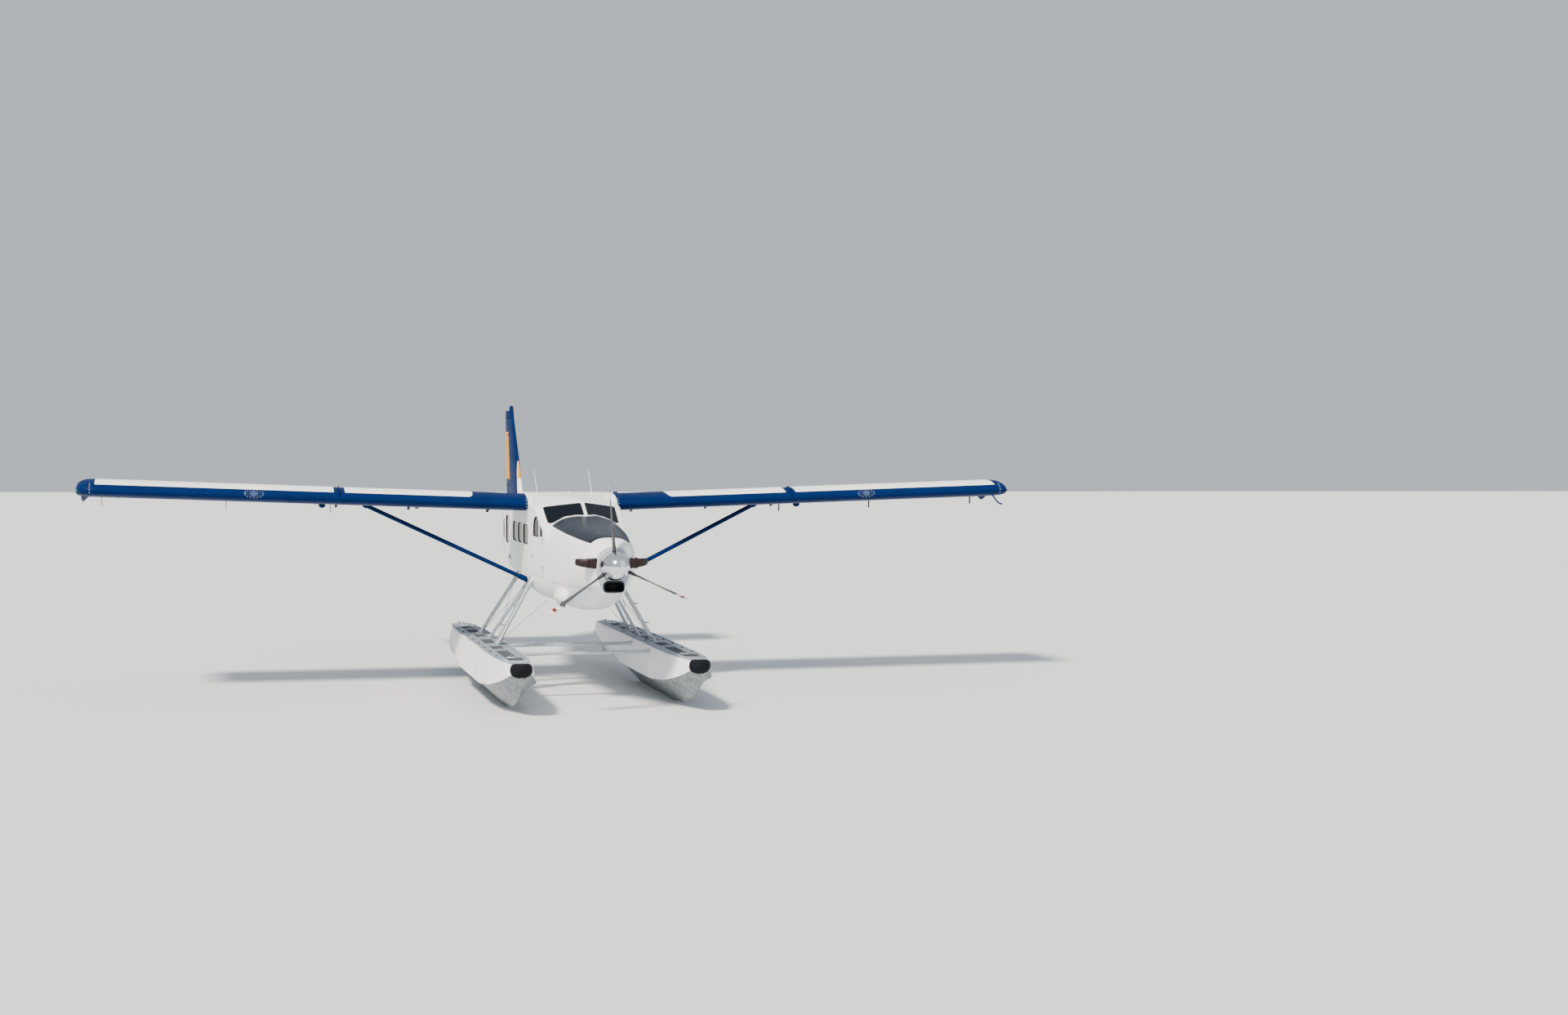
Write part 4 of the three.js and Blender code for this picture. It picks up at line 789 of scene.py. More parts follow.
def nose_scheme(tree, spot, coat):
    """The body's scheme, with the cowl's front ring left as bare metal colour."""
    ring_end = (COWL_FRONT_Y + 62 + STATION_ZERO) / 1000
    bare = beyond(tree, spot, (0, -1, 0), -ring_end)
    return blend_colours(tree, bare, glare_panel(tree, spot, coat), "#a9b0b8")


cowl_paint = aircraft_paint("white_paint_on_cowl", WHITE, WHITE_SHADE, nose_scheme)
# The matt black inside the cowl, on its cut holes, in the ducts and on the slot is painted shade of their
# dark insides.
opening_shade_black = plain_finish("black_painted_shade_of_openings", "#0c0c0d", "#161617", 0.85, 0, 30, 0.2)
front_lip = [(COWL_FRONT_Y, 26), (COWL_FRONT_Y + 3, 14), (COWL_FRONT_Y + 12, 4)]
cowl_spots = np.concatenate([np.linspace(COWL_FRONT_Y + 28, -3500, 16),
                             np.linspace(-3440, FIREWALL_Y - 1, 34)])
cowl_rings = [at_station(y, cowl_outline(y, inset)) for y, inset in front_lip]
cowl_rings += [at_station(y, cowl_outline(y)) for y in cowl_spots]
cowl = loft("cowl_skin", cowl_rings, [cowl_paint])
hollow = loft("cowl_room", [at_station(y, cowl_outline(y, 14, 40))
                            for y in np.linspace(COWL_FRONT_Y + 16, FIREWALL_Y + 40, 22)], [opening_shade_black])
combine(cowl, hollow)


def duct_path(side, steps=18):
    """Centres and directions of the exhaust, out of the cowl side and round towards the tail."""
    ends = [Vector((side * 250, -3850, 2620)), Vector((side * 530, -3865, 2622)),
            Vector((side * 572, -3735, 2640))]
    made = []
    for t in np.linspace(0, 1, steps):
        centre = ends[0] * (1 - t) ** 2 + ends[1] * 2 * t * (1 - t) + ends[2] * t ** 2
        along = ((ends[1] - ends[0]) * (1 - t) + (ends[2] - ends[1]) * t).normalized()
        made.append((centre, along))
    return made


def duct_rings(side, wall, flare=0.0):
    """Oval rings along the exhaust; the mouth flares a little and is cut square to the stream."""
    rings = []
    path = duct_path(side)
    for k, (centre, along) in enumerate(path):
        share = k / (len(path) - 1)
        wide, high = 60 + wall, 92 - 40 * share + wall + flare * share ** 3
        across = Vector((0, 0, 1)).cross(along).normalized()
        rings.append([place(*(centre + across * wide * math.cos(w) * abs(math.cos(w)) ** -0.45
                              + Vector((0, 0, high * math.sin(w) * abs(math.sin(w)) ** -0.45))))
                      for w in np.linspace(0.02, 2 * math.pi + 0.02, 40, endpoint=False)])
    return rings


mouth = [at_station(y, round_box(-INTAKE["half"], INTAKE["half"], INTAKE["z0"], INTAKE["z1"], 62))
         for y in (COWL_FRONT_Y - 60, COWL_FRONT_Y + 60)]
shaft = [[place(72 * math.cos(w), y, AXIS_Z + 72 * math.sin(w)) for w in turns(40)]
         for y in (COWL_FRONT_Y - 60, COWL_FRONT_Y + 60)]
holes = [loft("cut", rings, [opening_shade_black], smooth=False) for rings in (mouth, shaft)]
holes += [loft("cut", duct_rings(side, 3), [opening_shade_black]) for side in SIDES.values()]
combine(cowl, join_all("cuts", holes))
sharpen(cowl, 36)
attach(cowl, "airframe")
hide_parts("engine_cowl")

# Intake lip. A rolled ring of dark anodised sheet, pressed over the edge of the mouth, with a short
# duct behind it that is closed at its back; the duct's black is painted shade of the deep intake.
lip_metal = plain_finish("dark_anodised_lip", "#34363a", "#232427", 0.42, 0.7, 20, 0.1)


def intake_ring(y, grow):
    box_half, z0, z1 = INTAKE["half"] + grow, INTAKE["z0"] - grow, INTAKE["z1"] + grow * 0.8
    return at_station(y, round_box(-box_half, box_half, z0, z1, 62 + grow * 0.6))


LIP_PROFILE = [(-1, 21), (-28, 19), (-42, 11), (-47, 3), (-44, -3), (-30, -6), (30, -8), (34, -2), (-2, 2)]
lip = tube_of_rings("intake_ring", [intake_ring(COWL_FRONT_Y + dy, grow) for dy, grow in LIP_PROFILE],
                    lip_metal)
DUCT_PROFILE = [(4, -7), (120, -20), (124, -24), (6, -11)]
duct = loft("intake_duct", [intake_ring(COWL_FRONT_Y + dy, grow) for dy, grow in DUCT_PROFILE],
            [opening_shade_black], caps=False)
back = loft("intake_back", [intake_ring(COWL_FRONT_Y + dy, -18) for dy in (118, 124)], [opening_shade_black])
lip = join_all("intake_lip_ring", [lip, duct, back])
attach(lip, "airframe")
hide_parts("intake_lip")

# Exhaust stacks. Oval ducts of stainless sheet, browned by heat, that bend towards the tail and flare
# a little at the mouth, with a welded flange where they leave the cowl.
scorched_steel, steel_tree, steel_shader, steel_spot = new_finish("heat_browned_steel", "#2a1d1d", 0.5, 0.5)
heat = spread(steel_tree, clouds(steel_tree, steel_spot, 90, 4), 0.3, 0.7)
steel_tree.links.new(blend_colours(steel_tree, heat, "#33211f", "#1b1416"),
                     steel_shader.inputs["Base Color"])
relief(steel_tree, steel_shader, clouds(steel_tree, steel_spot, 14, 3), 0.25)
for side_name, side in SIDES.items():
    outer, inner = duct_rings(side, 0, 6), duct_rings(side, -5, 6)
    stack = tube_of_rings("stack", outer + inner[::-1], scorched_steel)
    flange = [[Vector(p) + Vector((side * dx / 1000, 0, 0)) for p in duct_rings(side, grow)[6]]
              for grow, dx in ((1, -6), (14, -10), (15, -6), (1, 2))]
    collar = tube_of_rings("collar", flange, scorched_steel)
    stack = join_all(f"exhaust_duct_{side_name}", [stack, collar])
    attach(stack, "airframe")
    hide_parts(f"exhaust_stack_{side_name}")

# Oil cooler scoop. A moulded blister on the right of the belly, painted like the cowl and closed in
# front, with a black slab under its nose as painted shade of a mouth, a lip, a drain pipe and an outlet
# shutter.
SCOOP = [(-2446, 8), (-2442, 36), (-2430, 64), (-2408, 88), (-2370, 108), (-2310, 126), (-2230, 138),
         (-2120, 145), (-2000, 145), (-1900, 134), (-1800, 112), (-1700, 74), (-1620, 36)]
SCOOP_X, SCOOP_Z = -560, 1945


def scoop_ring(y, radius):
    return [place(SCOOP_X + 0.9 * radius * math.cos(w), y, SCOOP_Z + radius * math.sin(w))
            for w in turns(48)]


scoop = loft("oil_cooler_blister", [scoop_ring(y, r) for y, r in SCOOP], [cowl_paint], crisp=40)
mouth_shade_slab = slab("mouth", (-624, -2396, 1838), (-500, -2300, 1858), opening_shade_black, 8)
lip = slab("lip", (-630, -2310, 1826), (-494, -2240, 1836), cowl_paint, 5)
drain = rod("drain", (-520, -2170, 1815), (-528, -2120, 1742), 13, lip_metal)
shutter = slab("shutter", (-610, -1900, 1800), (-500, -1780, 1812), lip_metal, 5)
scoop = join_all("oil_cooler_blister", [scoop, mouth_shade_slab, lip, drain, shutter])
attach(scoop, "airframe")
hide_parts("oil_cooler_scoop")

# Chin slot. A thin black crescent laid on the skin under the chin, painted shade of the slot where
# the cooling air leaves between two cowl panels.
slot_rings = []
for dy, depth in ((-16, 2), (-16, -5), (4, -16), (16, -14), (16, 2)):
    y = -2290 + dy
    outline = [(x, z) for x, z in cowl_outline(y, -0.4 + depth * -0.35, 90) if z < 1850 and abs(x) < 290]
    slot_rings.append(at_station(y, sorted(outline)))
count = min(len(r) for r in slot_rings)
chin = new_piece("chin_slot_painted_shade", [p for r in slot_rings for p in r[:count]],
                 grid_faces(len(slot_rings), count, closed=False), [opening_shade_black])
solid = chin.modifiers.new("wall", "SOLIDIFY")
solid.thickness = 0.003
finish_mesh(chin)
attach(chin, "airframe")

# Spinner. Spun aluminium, polished bright, with a grey band round its foot and screws around the rim;
# the blade roots pass through it.
polished, spin_tree, spin_shader, spin_spot = new_finish("polished_spun_aluminium", "#dfe3e8", 0.13, 1.0)
axes = split_axes(spin_tree, spin_spot)
turned = add_node(spin_tree, "ShaderNodeCombineXYZ", {1: axes[1]}).outputs[0]
spin_tree.links.new(spread(spin_tree, clouds(spin_tree, spin_spot, 70, 4), 0.3, 0.75, 0.10, 0.24),
                    spin_shader.inputs["Roughness"])
relief(spin_tree, spin_shader, clouds(spin_tree, turned, 9, 2), 0.05)
SPINNER = [(0, -4450), (14, -4449), (34, -4446), (62, -4438), (98, -4420), (134, -4394), (166, -4356),
           (193, -4312), (216, -4256), (232, -4196), (243, -4130), (248, -4060), (250, -3990), (250, -3972),
           (246, -3967), (70, -3966), (46, -3962), (46, -3700), (0, -3699)]
BLADE_ANGLES = [95, 215, 335]
DISC_Y = -4110


def turned_shape(name, profile, material, sides=96):
    """A shape turned about the propeller's axis from radius and station pairs."""
    rings = [[place(max(r, 0.02) * math.cos(w), y, AXIS_Z + max(r, 0.02) * math.sin(w))
              for w in turns(sides)] for r, y in profile]
    return loft(name, rings, [material], crisp=38)


spinner = turned_shape("spinner_dome", SPINNER, polished)
SPINNER_BAND = [(150, -4048), (250.4, -4046), (251.2, -4040), (251.2, -4000), (250.4, -3994), (150, -3992)]
band = turned_shape("spinner_band", SPINNER_BAND,
                    plain_finish("grey_spinner_band", "#7f868e", "#6d747c", 0.35, 0.4, 30, 0.05))
rim_screws = []
for w in turns(30):
    out = Vector((math.cos(w), 0, math.sin(w)))
    start, end = Vector((0, -3981, AXIS_Z)) + out * 247, Vector((0, -3981, AXIS_Z)) + out * 252
    rim_screws.append(rod("screw", start, end, 4.5, lip_metal, 8))
spinner = join_all("spinner_dome", [spinner, band] + rim_screws)
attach(spinner, "propeller")
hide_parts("spinner")

# Propeller blades. Forged alloy painted matt grey, feathered while parked, with black rubber boots on
# the inner leading edge and three paint bands at the tip.
BLADE = np.array([  # radius, chord, thickness share, pitch from the disc in degrees
    (120, 76, 1.0, 72), (250, 68, 0.9, 75), (400, 124, 0.28, 82), (620, 204, 0.11, 89), (950, 222, 0.08, 95),
    (1250, 202, 0.06, 101), (1340, 180, 0.06, 103), (1370, 134, 0.06, 103)], float)
blade_grey = plain_finish("matt_grey_blade_paint", "#43474c", "#34383c", 0.5, 0.1, 45, 0.12)
tip_white = plain_finish("white_tip_paint", "#eceae4", "#d5d3cc", 0.4, 0, 30, 0.05)
tip_red = plain_finish("dark_red_tip_paint", "#7b1f22", "#641a1d", 0.4, 0, 30, 0.05)
boot_rubber = plain_finish("de_icing_boot", "#141517", "#202124", 0.65, 0, 20, 0.3)
TIP_BANDS = [(1150, 0), (1235, 1), (1295, 2), (1400, 1)]
BLADE_POINTS, BOOT_COLUMNS = 36, range(14, 22)


def read_table(table, at):
    """The values of a table's other columns where its first column passes a place."""
    return [float(np.interp(at, table[:, 0], column)) for column in table.T[1:]]


def blade_ring(radius, angle):
    chord, thick, pitch = read_table(BLADE, radius)
    outward = Vector((math.cos(angle), 0, math.sin(angle)))
    around = Vector((-math.sin(angle), 0, math.cos(angle)))
    turn = math.radians(pitch)
    chordwise = around * math.cos(turn) + Vector((0, 1, 0)) * math.sin(turn)
    flat = chordwise.cross(outward)
    centre = Vector((0, DISC_Y, AXIS_Z)) + outward * radius
    points = []
    for w in turns(BLADE_POINTS):
        u, v = math.cos(w), math.sin(w)
        taper = 1 - 0.45 * max(0, -u) * (1 - thick)
        points.append(centre + chordwise * u * chord / 2 + flat * v * chord * thick / 2 * taper)
    return [place(*p) for p in points]


blade_spots = np.concatenate([np.linspace(120, 420, 16), np.linspace(450, 1150, 15), [1150.5],
                              np.linspace(1180, 1235, 3), [1235.5, 1265, 1295, 1295.5],
                              np.linspace(1310, 1370, 8)])
for k, degrees in enumerate(BLADE_ANGLES):
    angle = math.radians(degrees)
    blade = loft(f"blade_{k + 1}", [blade_ring(r, angle) for r in blade_spots],
                 [blade_grey, tip_white, tip_red, boot_rubber])
    hub = Vector(place(0, DISC_Y, AXIS_Z))
    for face in blade.data.polygons:
        radius = (face.center - hub).length * 1000
        face.material_index = next(m for limit, m in TIP_BANDS if radius < limit)
        if face.index % BLADE_POINTS in BOOT_COLUMNS and 300 < radius < 720 and len(face.vertices) == 4:
            face.material_index = 3
    sharpen(blade, 60)
    collar = []
    for grow, near, far in ((6, 238, 256), (2, 256, 282)):
        rings = [[Vector(p) for p in blade_ring(r, angle)] for r in (near, far)]
        middle = [sum((Vector(p) for p in ring), Vector()) / len(ring) for ring in rings]
        rings = [[c + (Vector(p) - c) * (1 + grow / 44) for p in ring] for ring, c in zip(rings, middle)]
        collar.append(loft("cuff", rings, [boot_rubber]))
    blade = join_all(blade.name, [blade] + collar)
    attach(blade, "propeller")
    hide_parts(f"propeller_blade_{k + 1}")

# Tail cone. The fuselage sheet runs on aft of the bulkhead, narrows to a blade and stops just ahead of
# the leaning rudder; a gold band climbs across it, and everything behind the band is navy.
RUDDER_NOSE, RUDDER_ROOM = 56, 10
RUDDER_TOP = 5350
HINGE_FOOT, HINGE_HEAD = (7340, 2460), (8210, 5200)


def hinge_y(z):
    """Station of the rudder's hinge line at a height."""
    share = (z - HINGE_FOOT[1]) / (HINGE_HEAD[1] - HINGE_FOOT[1])
    return HINGE_FOOT[0] + (HINGE_HEAD[0] - HINGE_FOOT[0]) * share


def rudder_end(z):
    return 8850 - (RUDDER_TOP - z) * 400 / 2890


def behind_line(name, low, high, ahead):
    """A cutter for all that lies aft of the rudder's hinge line, moved forward by ahead."""
    front = [(hinge_y(z) - ahead, z) for z in (low, high)]
    outline = [*front, (9800, high), (9800, low)]
    return loft(name, [[place(x, y, z) for y, z in outline] for x in (-900, 900)], [], smooth=False)


cone = cabin_block("tail_cone_skin", [BULKHEAD_Y + 12, *np.linspace(4420, 7620, 44)], 0, 84, body_paint)
combine(cone, behind_line("cut", 1500, 4500, RUDDER_NOSE + RUDDER_ROOM))
sharpen(cone, 40)
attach(cone, "airframe")
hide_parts("tail_cone")

# Tail fin. A tall tapered box of riveted sheet, navy, with a white wedge and a gold sliver low on its
# leading edge; brackets at its back carry the rudder's pins.
FIN = np.array([(3260, 6160, 190), (3600, 6410, 176), (5170, 7690, 106), (5400, 7880, 90),
                (5490, 8010, 44)], float)
HORN_Z = 5170
BRACKETS = (2640, 3900, 4800)


def aerofoil(thickness, camber, count=44):
    """An outline from the trailing edge over the top to the nose and back below, in chord fractions."""
    x = (1 + np.cos(np.linspace(0, math.pi, count))) / 2
    shape = 0.2969 * np.sqrt(x) - 0.126 * x - 0.3516 * x ** 2 + 0.2843 * x ** 3 - 0.1036 * x ** 4
    half = 5 * thickness * shape
    ahead, behind = camber / 0.16 * (0.8 * x - x * x), camber / 0.36 * (0.2 + 0.8 * x - x * x)
    line = np.where(x < 0.4, ahead, behind)
    return [*zip(x, line + half), *zip(x[-2:0:-1], (line - half)[-2:0:-1])]


def fin_ring(z):
    edge, thick = read_table(FIN, z)
    stop = hinge_y(z) - (RUDDER_NOSE + RUDDER_ROOM if z < HORN_Z else 325)
    chord = rudder_end(z) + 60 - edge
    room = max(stop - edge, 12)
    shape = [(min(c * chord, room), t * thick) for c, t in aerofoil(1, 0, 60)]
    return [place(t, edge + c, z) for c, t in shape]


# Planes in metres that bound the white wedge and the gold sliver
WEDGE_BACK = (0, -0.8893, 0.4575), -2.267
SLIVER_BACK = (0, -0.8444, 0.5356), -1.724
SLIVER_FOOT = (0, 0.3, 0.954), 5.009


def fin_scheme(tree, spot, coat):
    """Navy all over, with a white wedge up the foot of the leading edge and a gold sliver before it."""
    white = beyond(tree, spot, *WEDGE_BACK)
    gold = both(tree, beyond(tree, spot, *SLIVER_BACK), beyond(tree, spot, *SLIVER_FOOT))
    return blend_colours(tree, gold, blend_colours(tree, white, coat, WHITE), GOLD)


NAVY_ROUGHNESS, NAVY_GLOSS = 0.42, 0.03


def navy_finish(name, scheme=None):
    """Navy paint of tail and wings, duller than the white and without a clear coat."""
    return aircraft_paint(name, NAVY, NAVY_SHADE, scheme, NAVY_ROUGHNESS, NAVY_GLOSS, 0.0)


fin_paint = navy_finish("fin_paint", fin_scheme)
navy_paint = navy_finish("navy_sheet_paint")
fin_heights = [*np.linspace(3240, 5160, 40), 5169, 5171, *np.linspace(5200, 5440, 12), 5452, 5459]
fin = loft("fin_skin", [fin_ring(z) for z in fin_heights], [fin_paint], crisp=45)
bracket_parts = []
for z in BRACKETS:
    y = hinge_y(z)
    bracket_parts.append(slab("plate", (-17, y - 130, z - 12), (17, y + 4, z + 12), hinge_steel, 3))
    bracket_parts.append(rod("eye", (0, y - 4, z - 12), (0, y + 4, z + 12), 24, hinge_steel))
fin = join_all("fin_skin", [fin] + bracket_parts)
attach(fin, "airframe")
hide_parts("fin")

# Rudder. One-piece sheet skin with stamped stiffening beads, a horn balance at its top, a servo tab and
# a small plastic tail light on its trailing edge; a plain gold bar is painted across its middle.
TAB = dict(low=2900, high=3700, chord=120)


def control_ring(nose, radius, end, rise=0.0, arc=14, edge=3):
    """A control surface's section: a round nose, flat sides and a thin tail, with a stamped bead rising."""
    (c0, h0), (c1, h1) = nose, end
    slope = math.atan2(h1 - h0, c1 - c0)
    opening = math.acos(radius / math.hypot(c1 - c0, h1 - h0))
    made = []
    for way in (1, -1):
        angle = slope + way * opening
        out = Vector((math.cos(angle), math.sin(angle)))
        touch = Vector(nose) + out * radius
        tail = Vector((c1, h1 + way * edge))
        flat = [tail.lerp(touch, t) + out * rise * w
                for t, w in ((0, 0), (0.05, 0), (0.11, 1), (0.5, 1), (0.84, 1), (0.92, 0.2), (1, 0))]
        made.append([tuple(p) for p in flat])
    span = 2 * math.pi - 2 * opening
    around = [slope + opening + span * i / arc for i in range(1, arc)]
    bow = [(c0 + radius * math.cos(a), h0 + radius * math.sin(a)) for a in around]
    return made[0] + bow + made[1][::-1]


def bead_spots(start, end, pitch, width=36):
    """Places along a surface, each with the share of a bead's height there."""
    spots = [(start, 0.0)]
    for centre in np.arange(start + 0.75 * pitch, end - 0.5 * pitch, pitch):
        spots += [(centre + width * t, math.cos(math.pi * t) ** 2)
                  for t in (-0.5, -0.28, -0.1, 0.1, 0.28, 0.5)]
    return spots + [(end, 0.0)]


GOLD_LOW, GOLD_HIGH = 3.81, 4.87


def rudder_scheme(tree, spot, coat):
    """Navy with a gold field between two heights in metres."""
    gold = both(tree, beyond(tree, spot, (0, 0, 1), GOLD_LOW), beyond(tree, spot, (0, 0, -1), -GOLD_HIGH))
    return blend_colours(tree, gold, coat, GOLD)


rudder_paint = navy_finish("rudder_paint", rudder_scheme)


def rudder_ring(z, rise):
    outline = control_ring((hinge_y(z), 0), RUDDER_NOSE, (rudder_end(z), 0), rise, edge=4)
    return [place(h, c, z) for c, h in outline]


rudder = loft("rudder_skin",
              [rudder_ring(z, 5 * share) for z, share in bead_spots(HINGE_FOOT[1], RUDDER_TOP, 152)],
              [rudder_paint])
for z in BRACKETS:
    y = hinge_y(z)
    combine(rudder, slab("cut", (-200, y - 200, z - 22), (200, y + 44, z + 22), seal_rubber, 1))
tab_cut = [[place(x, rudder_end(z) - TAB["chord"] + dy, z) for x in (-60, 60)]
           for z in (TAB["low"], TAB["high"]) for dy in (0, 5)]
seam = new_piece("cut", [p for pair in tab_cut for p in pair],
                 [(0, 1, 3, 2), (4, 5, 7, 6), (0, 1, 5, 4), (2, 3, 7, 6), (0, 2, 6, 4), (1, 3, 7, 5)],
                 [seal_rubber], False)
combine(rudder, seam)
sharpen(rudder, 38)
horn_front = hinge_y(HORN_Z) - 300
horn_side = [(0, 0), (14, 18), (27, 50), (37, 100), (44, 165), (46, 230), (46, 340)]
horn_line = [(x, horn_front + d) for x, d in horn_side] + [(-x, horn_front + d) for x, d in horn_side[:0:-1]]
horn = loft("horn",
            [[place(x * k, y + (z - HORN_Z) * 0.3, z) for x, y in horn_line]
             for z, k in ((HORN_Z + 20, 0.8), (HORN_Z + 26, 1), (RUDDER_TOP - 10, 1), (RUDDER_TOP, 0.75))],
            [rudder_paint], crisp=40)
pins = []
for z in BRACKETS:
    y = hinge_y(z)
    lean = 0.3175 * 30
    pins.append(rod("pin", (0, y - lean, z - 30), (0, y + lean, z + 30), 12, handle_alloy))
push_rods = []
for side in SIDES.values():
    push_rods.append(rod("push_rod", (side * 60, hinge_y(3300) + 60, 3300),
                         (side * 22, rudder_end(3300) - 90, 3300), 6, hinge_steel))
    tab_horn = mirror_x(side, (8, rudder_end(3300) - 112, 3280), (26, rudder_end(3300) - 70, 3320))
    push_rods.append(slab("tab_horn", *tab_horn, hinge_steel, 2))
wedges = [slab("hinge", *mirror_x(side, (6, rudder_end(z) - 140, z - 30), (13, rudder_end(z) - 96, z + 30)),
               rudder_paint, 3) for side in SIDES.values() for z in (3000, 3600)]
tail_light = rod("tail_light", (0, rudder_end(4980) - 6, 4980), (0, rudder_end(4980) + 22, 4980), 17,
                 trim_plastic)
rudder = join_all("rudder_skin", [rudder, horn, tail_light] + pins + push_rods + wedges)
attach(rudder, "rudder")
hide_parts("rudder")

# Tailplane. A straight box through the top of the tail cone, white above with a navy leading edge and
# underside, and two small auxiliary fins on each half.
TAIL_Z = 3320
ELEVATOR_Y, ELEVATOR_NOSE, ELEVATOR_END = 7480, 42, 8180
TAIL_SPAN = 3230
TAILPLANE = np.array([(0, 6290, 150), (2900, 6560, 112), (3100, 6620, 104), (3190, 6700, 76),
                      (3230, 6860, 40)], float)


def tail_scheme(tree, spot, coat):
    """White from the crest aft on the upper side, up to a navy tip."""
    side = mirrored(tree, spot)
    base_y = STATION_ZERO / 1000
    above = beyond(tree, side, (0, 0, 1), (TAIL_Z + 18) / 1000)
    aft = beyond(tree, side, (-0.0931, 1, 0), 6.36 + base_y)
    inboard = beyond(tree, side, (-1, 0, 0), -2.86)
    return blend_colours(tree, both(tree, above, aft, inboard), coat, WHITE)


tail_paint = navy_finish("tailplane_paint", tail_scheme)


def tailplane_ring(side, x):
    edge, thick = read_table(TAILPLANE, x)
    stop = 7230 if x > 2890 else (ELEVATOR_Y - ELEVATOR_NOSE - 10 if x > 150 else 7535)
    return [place(side * x, min(edge + c * (ELEVATOR_END - edge), stop), TAIL_Z + t * thick)
            for c, t in aerofoil(1, 0, 40)]


spots = [0, 149, 151, *np.linspace(300, 2880, 14), 2889, 2891, 3000, 3100, 3150, 3190, 3212, 3224, 3230]
halves = [loft("half", [tailplane_ring(side, x) for x in spots], [tail_paint]) for side in SIDES.values()]
tailplane = join_all("tailplane_skin", halves)
sharpen(tailplane, 45)
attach(tailplane, "airframe")
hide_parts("tailplane")

FINLET = [(6600, 3200), (7290, 3165), (7340, 3540), (6830, 3560)]


def finlet(name, side, outline):
    """A small plate fin with rounded corners and a softened rim."""
    shape = rounded(outline, 60, 6)
    rings = [[place(side * x, y, z) for y, z in offset(shape, d)]
             for x, d in ((2194, 5), (2197, 0), (2207, 0), (2210, 5))]
    return loft(name, rings, [navy_paint], crisp=50)


for side_name, side in SIDES.items():
    for level, outline in (("upper", [(6717, 3384), (7318, 3358), FINLET[2], FINLET[3]]),
                           ("lower", [FINLET[0], FINLET[1], (7308, 3276), (6672, 3262)])):
        plate = finlet(f"{level}_finlet_{side_name}", side, outline)
        flange = slab("flange", *mirror_x(side, (2180, 6780, 3372 if level == "upper" else 3262),
                                          (2224, 7280, 3380 if level == "upper" else 3270)), navy_paint, 2)
        plate = join_all(plate.name, [plate, flange])
        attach(plate, "airframe")
        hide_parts(f"finlet_{level}_{side_name}")

# Elevators. Beaded sheet surfaces joined by a steel torque tube inside the tail cone, with horn balances
# at their tips and two small tab hinges near the back of each.


def elevator_ring(side, x, rise):
    end = float(np.interp(x, (185, 375, 3110, TAIL_SPAN), (7700, 8180, 8120, 8030)))
    outline = control_ring((ELEVATOR_Y, 0), ELEVATOR_NOSE, (end, 0), rise if x > 400 else 0)
    return [place(side * x, c, TAIL_Z + h) for c, h in outline]


HORN = [(7250, 0), (7256, 12), (7275, 22), (7310, 32), (7360, 38), (7440, 40), (7520, 40)]
for side_name, side in SIDES.items():
    spots = [(185, 0), (280, 0)] + bead_spots(375, 3110, 156) + [(3170, 0), (3205, 0), (TAIL_SPAN, 0)]
    elevator = loft(f"elevator_skin_{side_name}",
                    [elevator_ring(side, x, 4.5 * share) for x, share in spots], [tail_paint])
    horn_line = HORN + [(y, -h) for y, h in HORN[:0:-1]]
    tip = loft("horn",
               [[place(side * x, y, TAIL_Z + h * k) for y, h in horn_line]
                for x, k in ((2902, 0.8), (2908, 1), (3190, 1), (3210, 0.85), (3216, 0.5))], [tail_paint])
    tube = rod("tube", (side * 0.5, ELEVATOR_Y, TAIL_Z), (side * 200, ELEVATOR_Y, TAIL_Z), 26, hinge_steel)
    for piece in (elevator, tip):
        sharpen(piece, 38)
    extras = [slab("tab_hinge", *mirror_x(side, (x, 8020, TAIL_Z + 8), (x + 34, 8062, TAIL_Z + 16)),
                   tail_paint, 2) for x in (700, 1350)]
    elevator = join_all(f"elevator_skin_{side_name}", [elevator, tip, tube] + extras)
    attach(elevator, "elevators")
    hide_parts(f"elevator_{side_name}")

# Wings. Thick cambered section in sheet over ribs, navy along its nose and underside and white above;
# the back of the section is a cove for flap and aileron, a fence stands between them, and the tips are
# bulbous with a drooped point.
WING_EDGE_Z, WING_ROOT, CHORD = 3495, 845, 1980
DIHEDRAL, INCIDENCE = math.radians(2), math.radians(2.5)
COVE_C, LIP_C, LIP_UNDER = 1388, 1480, 101
SECTION = [(c * CHORD, h * CHORD) for c, h in aerofoil(0.165, 0.03, 46)]


def on_wing(side, x, c, h):
    """A point of the wing in row metres, from span position, chordwise distance and height."""
    edge = WING_EDGE_Z + (x - WING_ROOT) * math.tan(DIHEDRAL)
    y = c * math.cos(INCIDENCE) + h * math.sin(INCIDENCE)
    return place(side * x, y, edge - c * math.sin(INCIDENCE) + h * math.cos(INCIDENCE))


def rounded_corner(tree, across, up, centre, radius):
    """1 inside a corner turned on a radius, where across and up grow towards the inside."""
    gaps = []
    for value, start in zip((across, up), centre):
        gaps.append(calculate(tree, "MAXIMUM", calculate(tree, "SUBTRACT", start, value), 0.0))
    squares = [calculate(tree, "POWER", gap, 2.0) for gap in gaps]
    reach = calculate(tree, "SQRT", calculate(tree, "ADD", *squares))
    return spread(tree, reach, radius - 0.001, radius + 0.001, 1.0, 0.0)


def wing_height(tree, side):
    """Height above the wing's chord plane, in metres."""
    slope = Vector((-math.tan(DIHEDRAL) * math.cos(INCIDENCE), math.sin(INCIDENCE), math.cos(INCIDENCE)))
    start = math.cos(INCIDENCE) * (WING_EDGE_Z - WING_ROOT * math.tan(DIHEDRAL)) / 1000
    start += math.sin(INCIDENCE) * STATION_ZERO / 1000
    reach = add_node(tree, "ShaderNodeVectorMath", {0: side, 1: slope},
                     operation="DOT_PRODUCT").outputs["Value"]
    return calculate(tree, "SUBTRACT", reach, start)


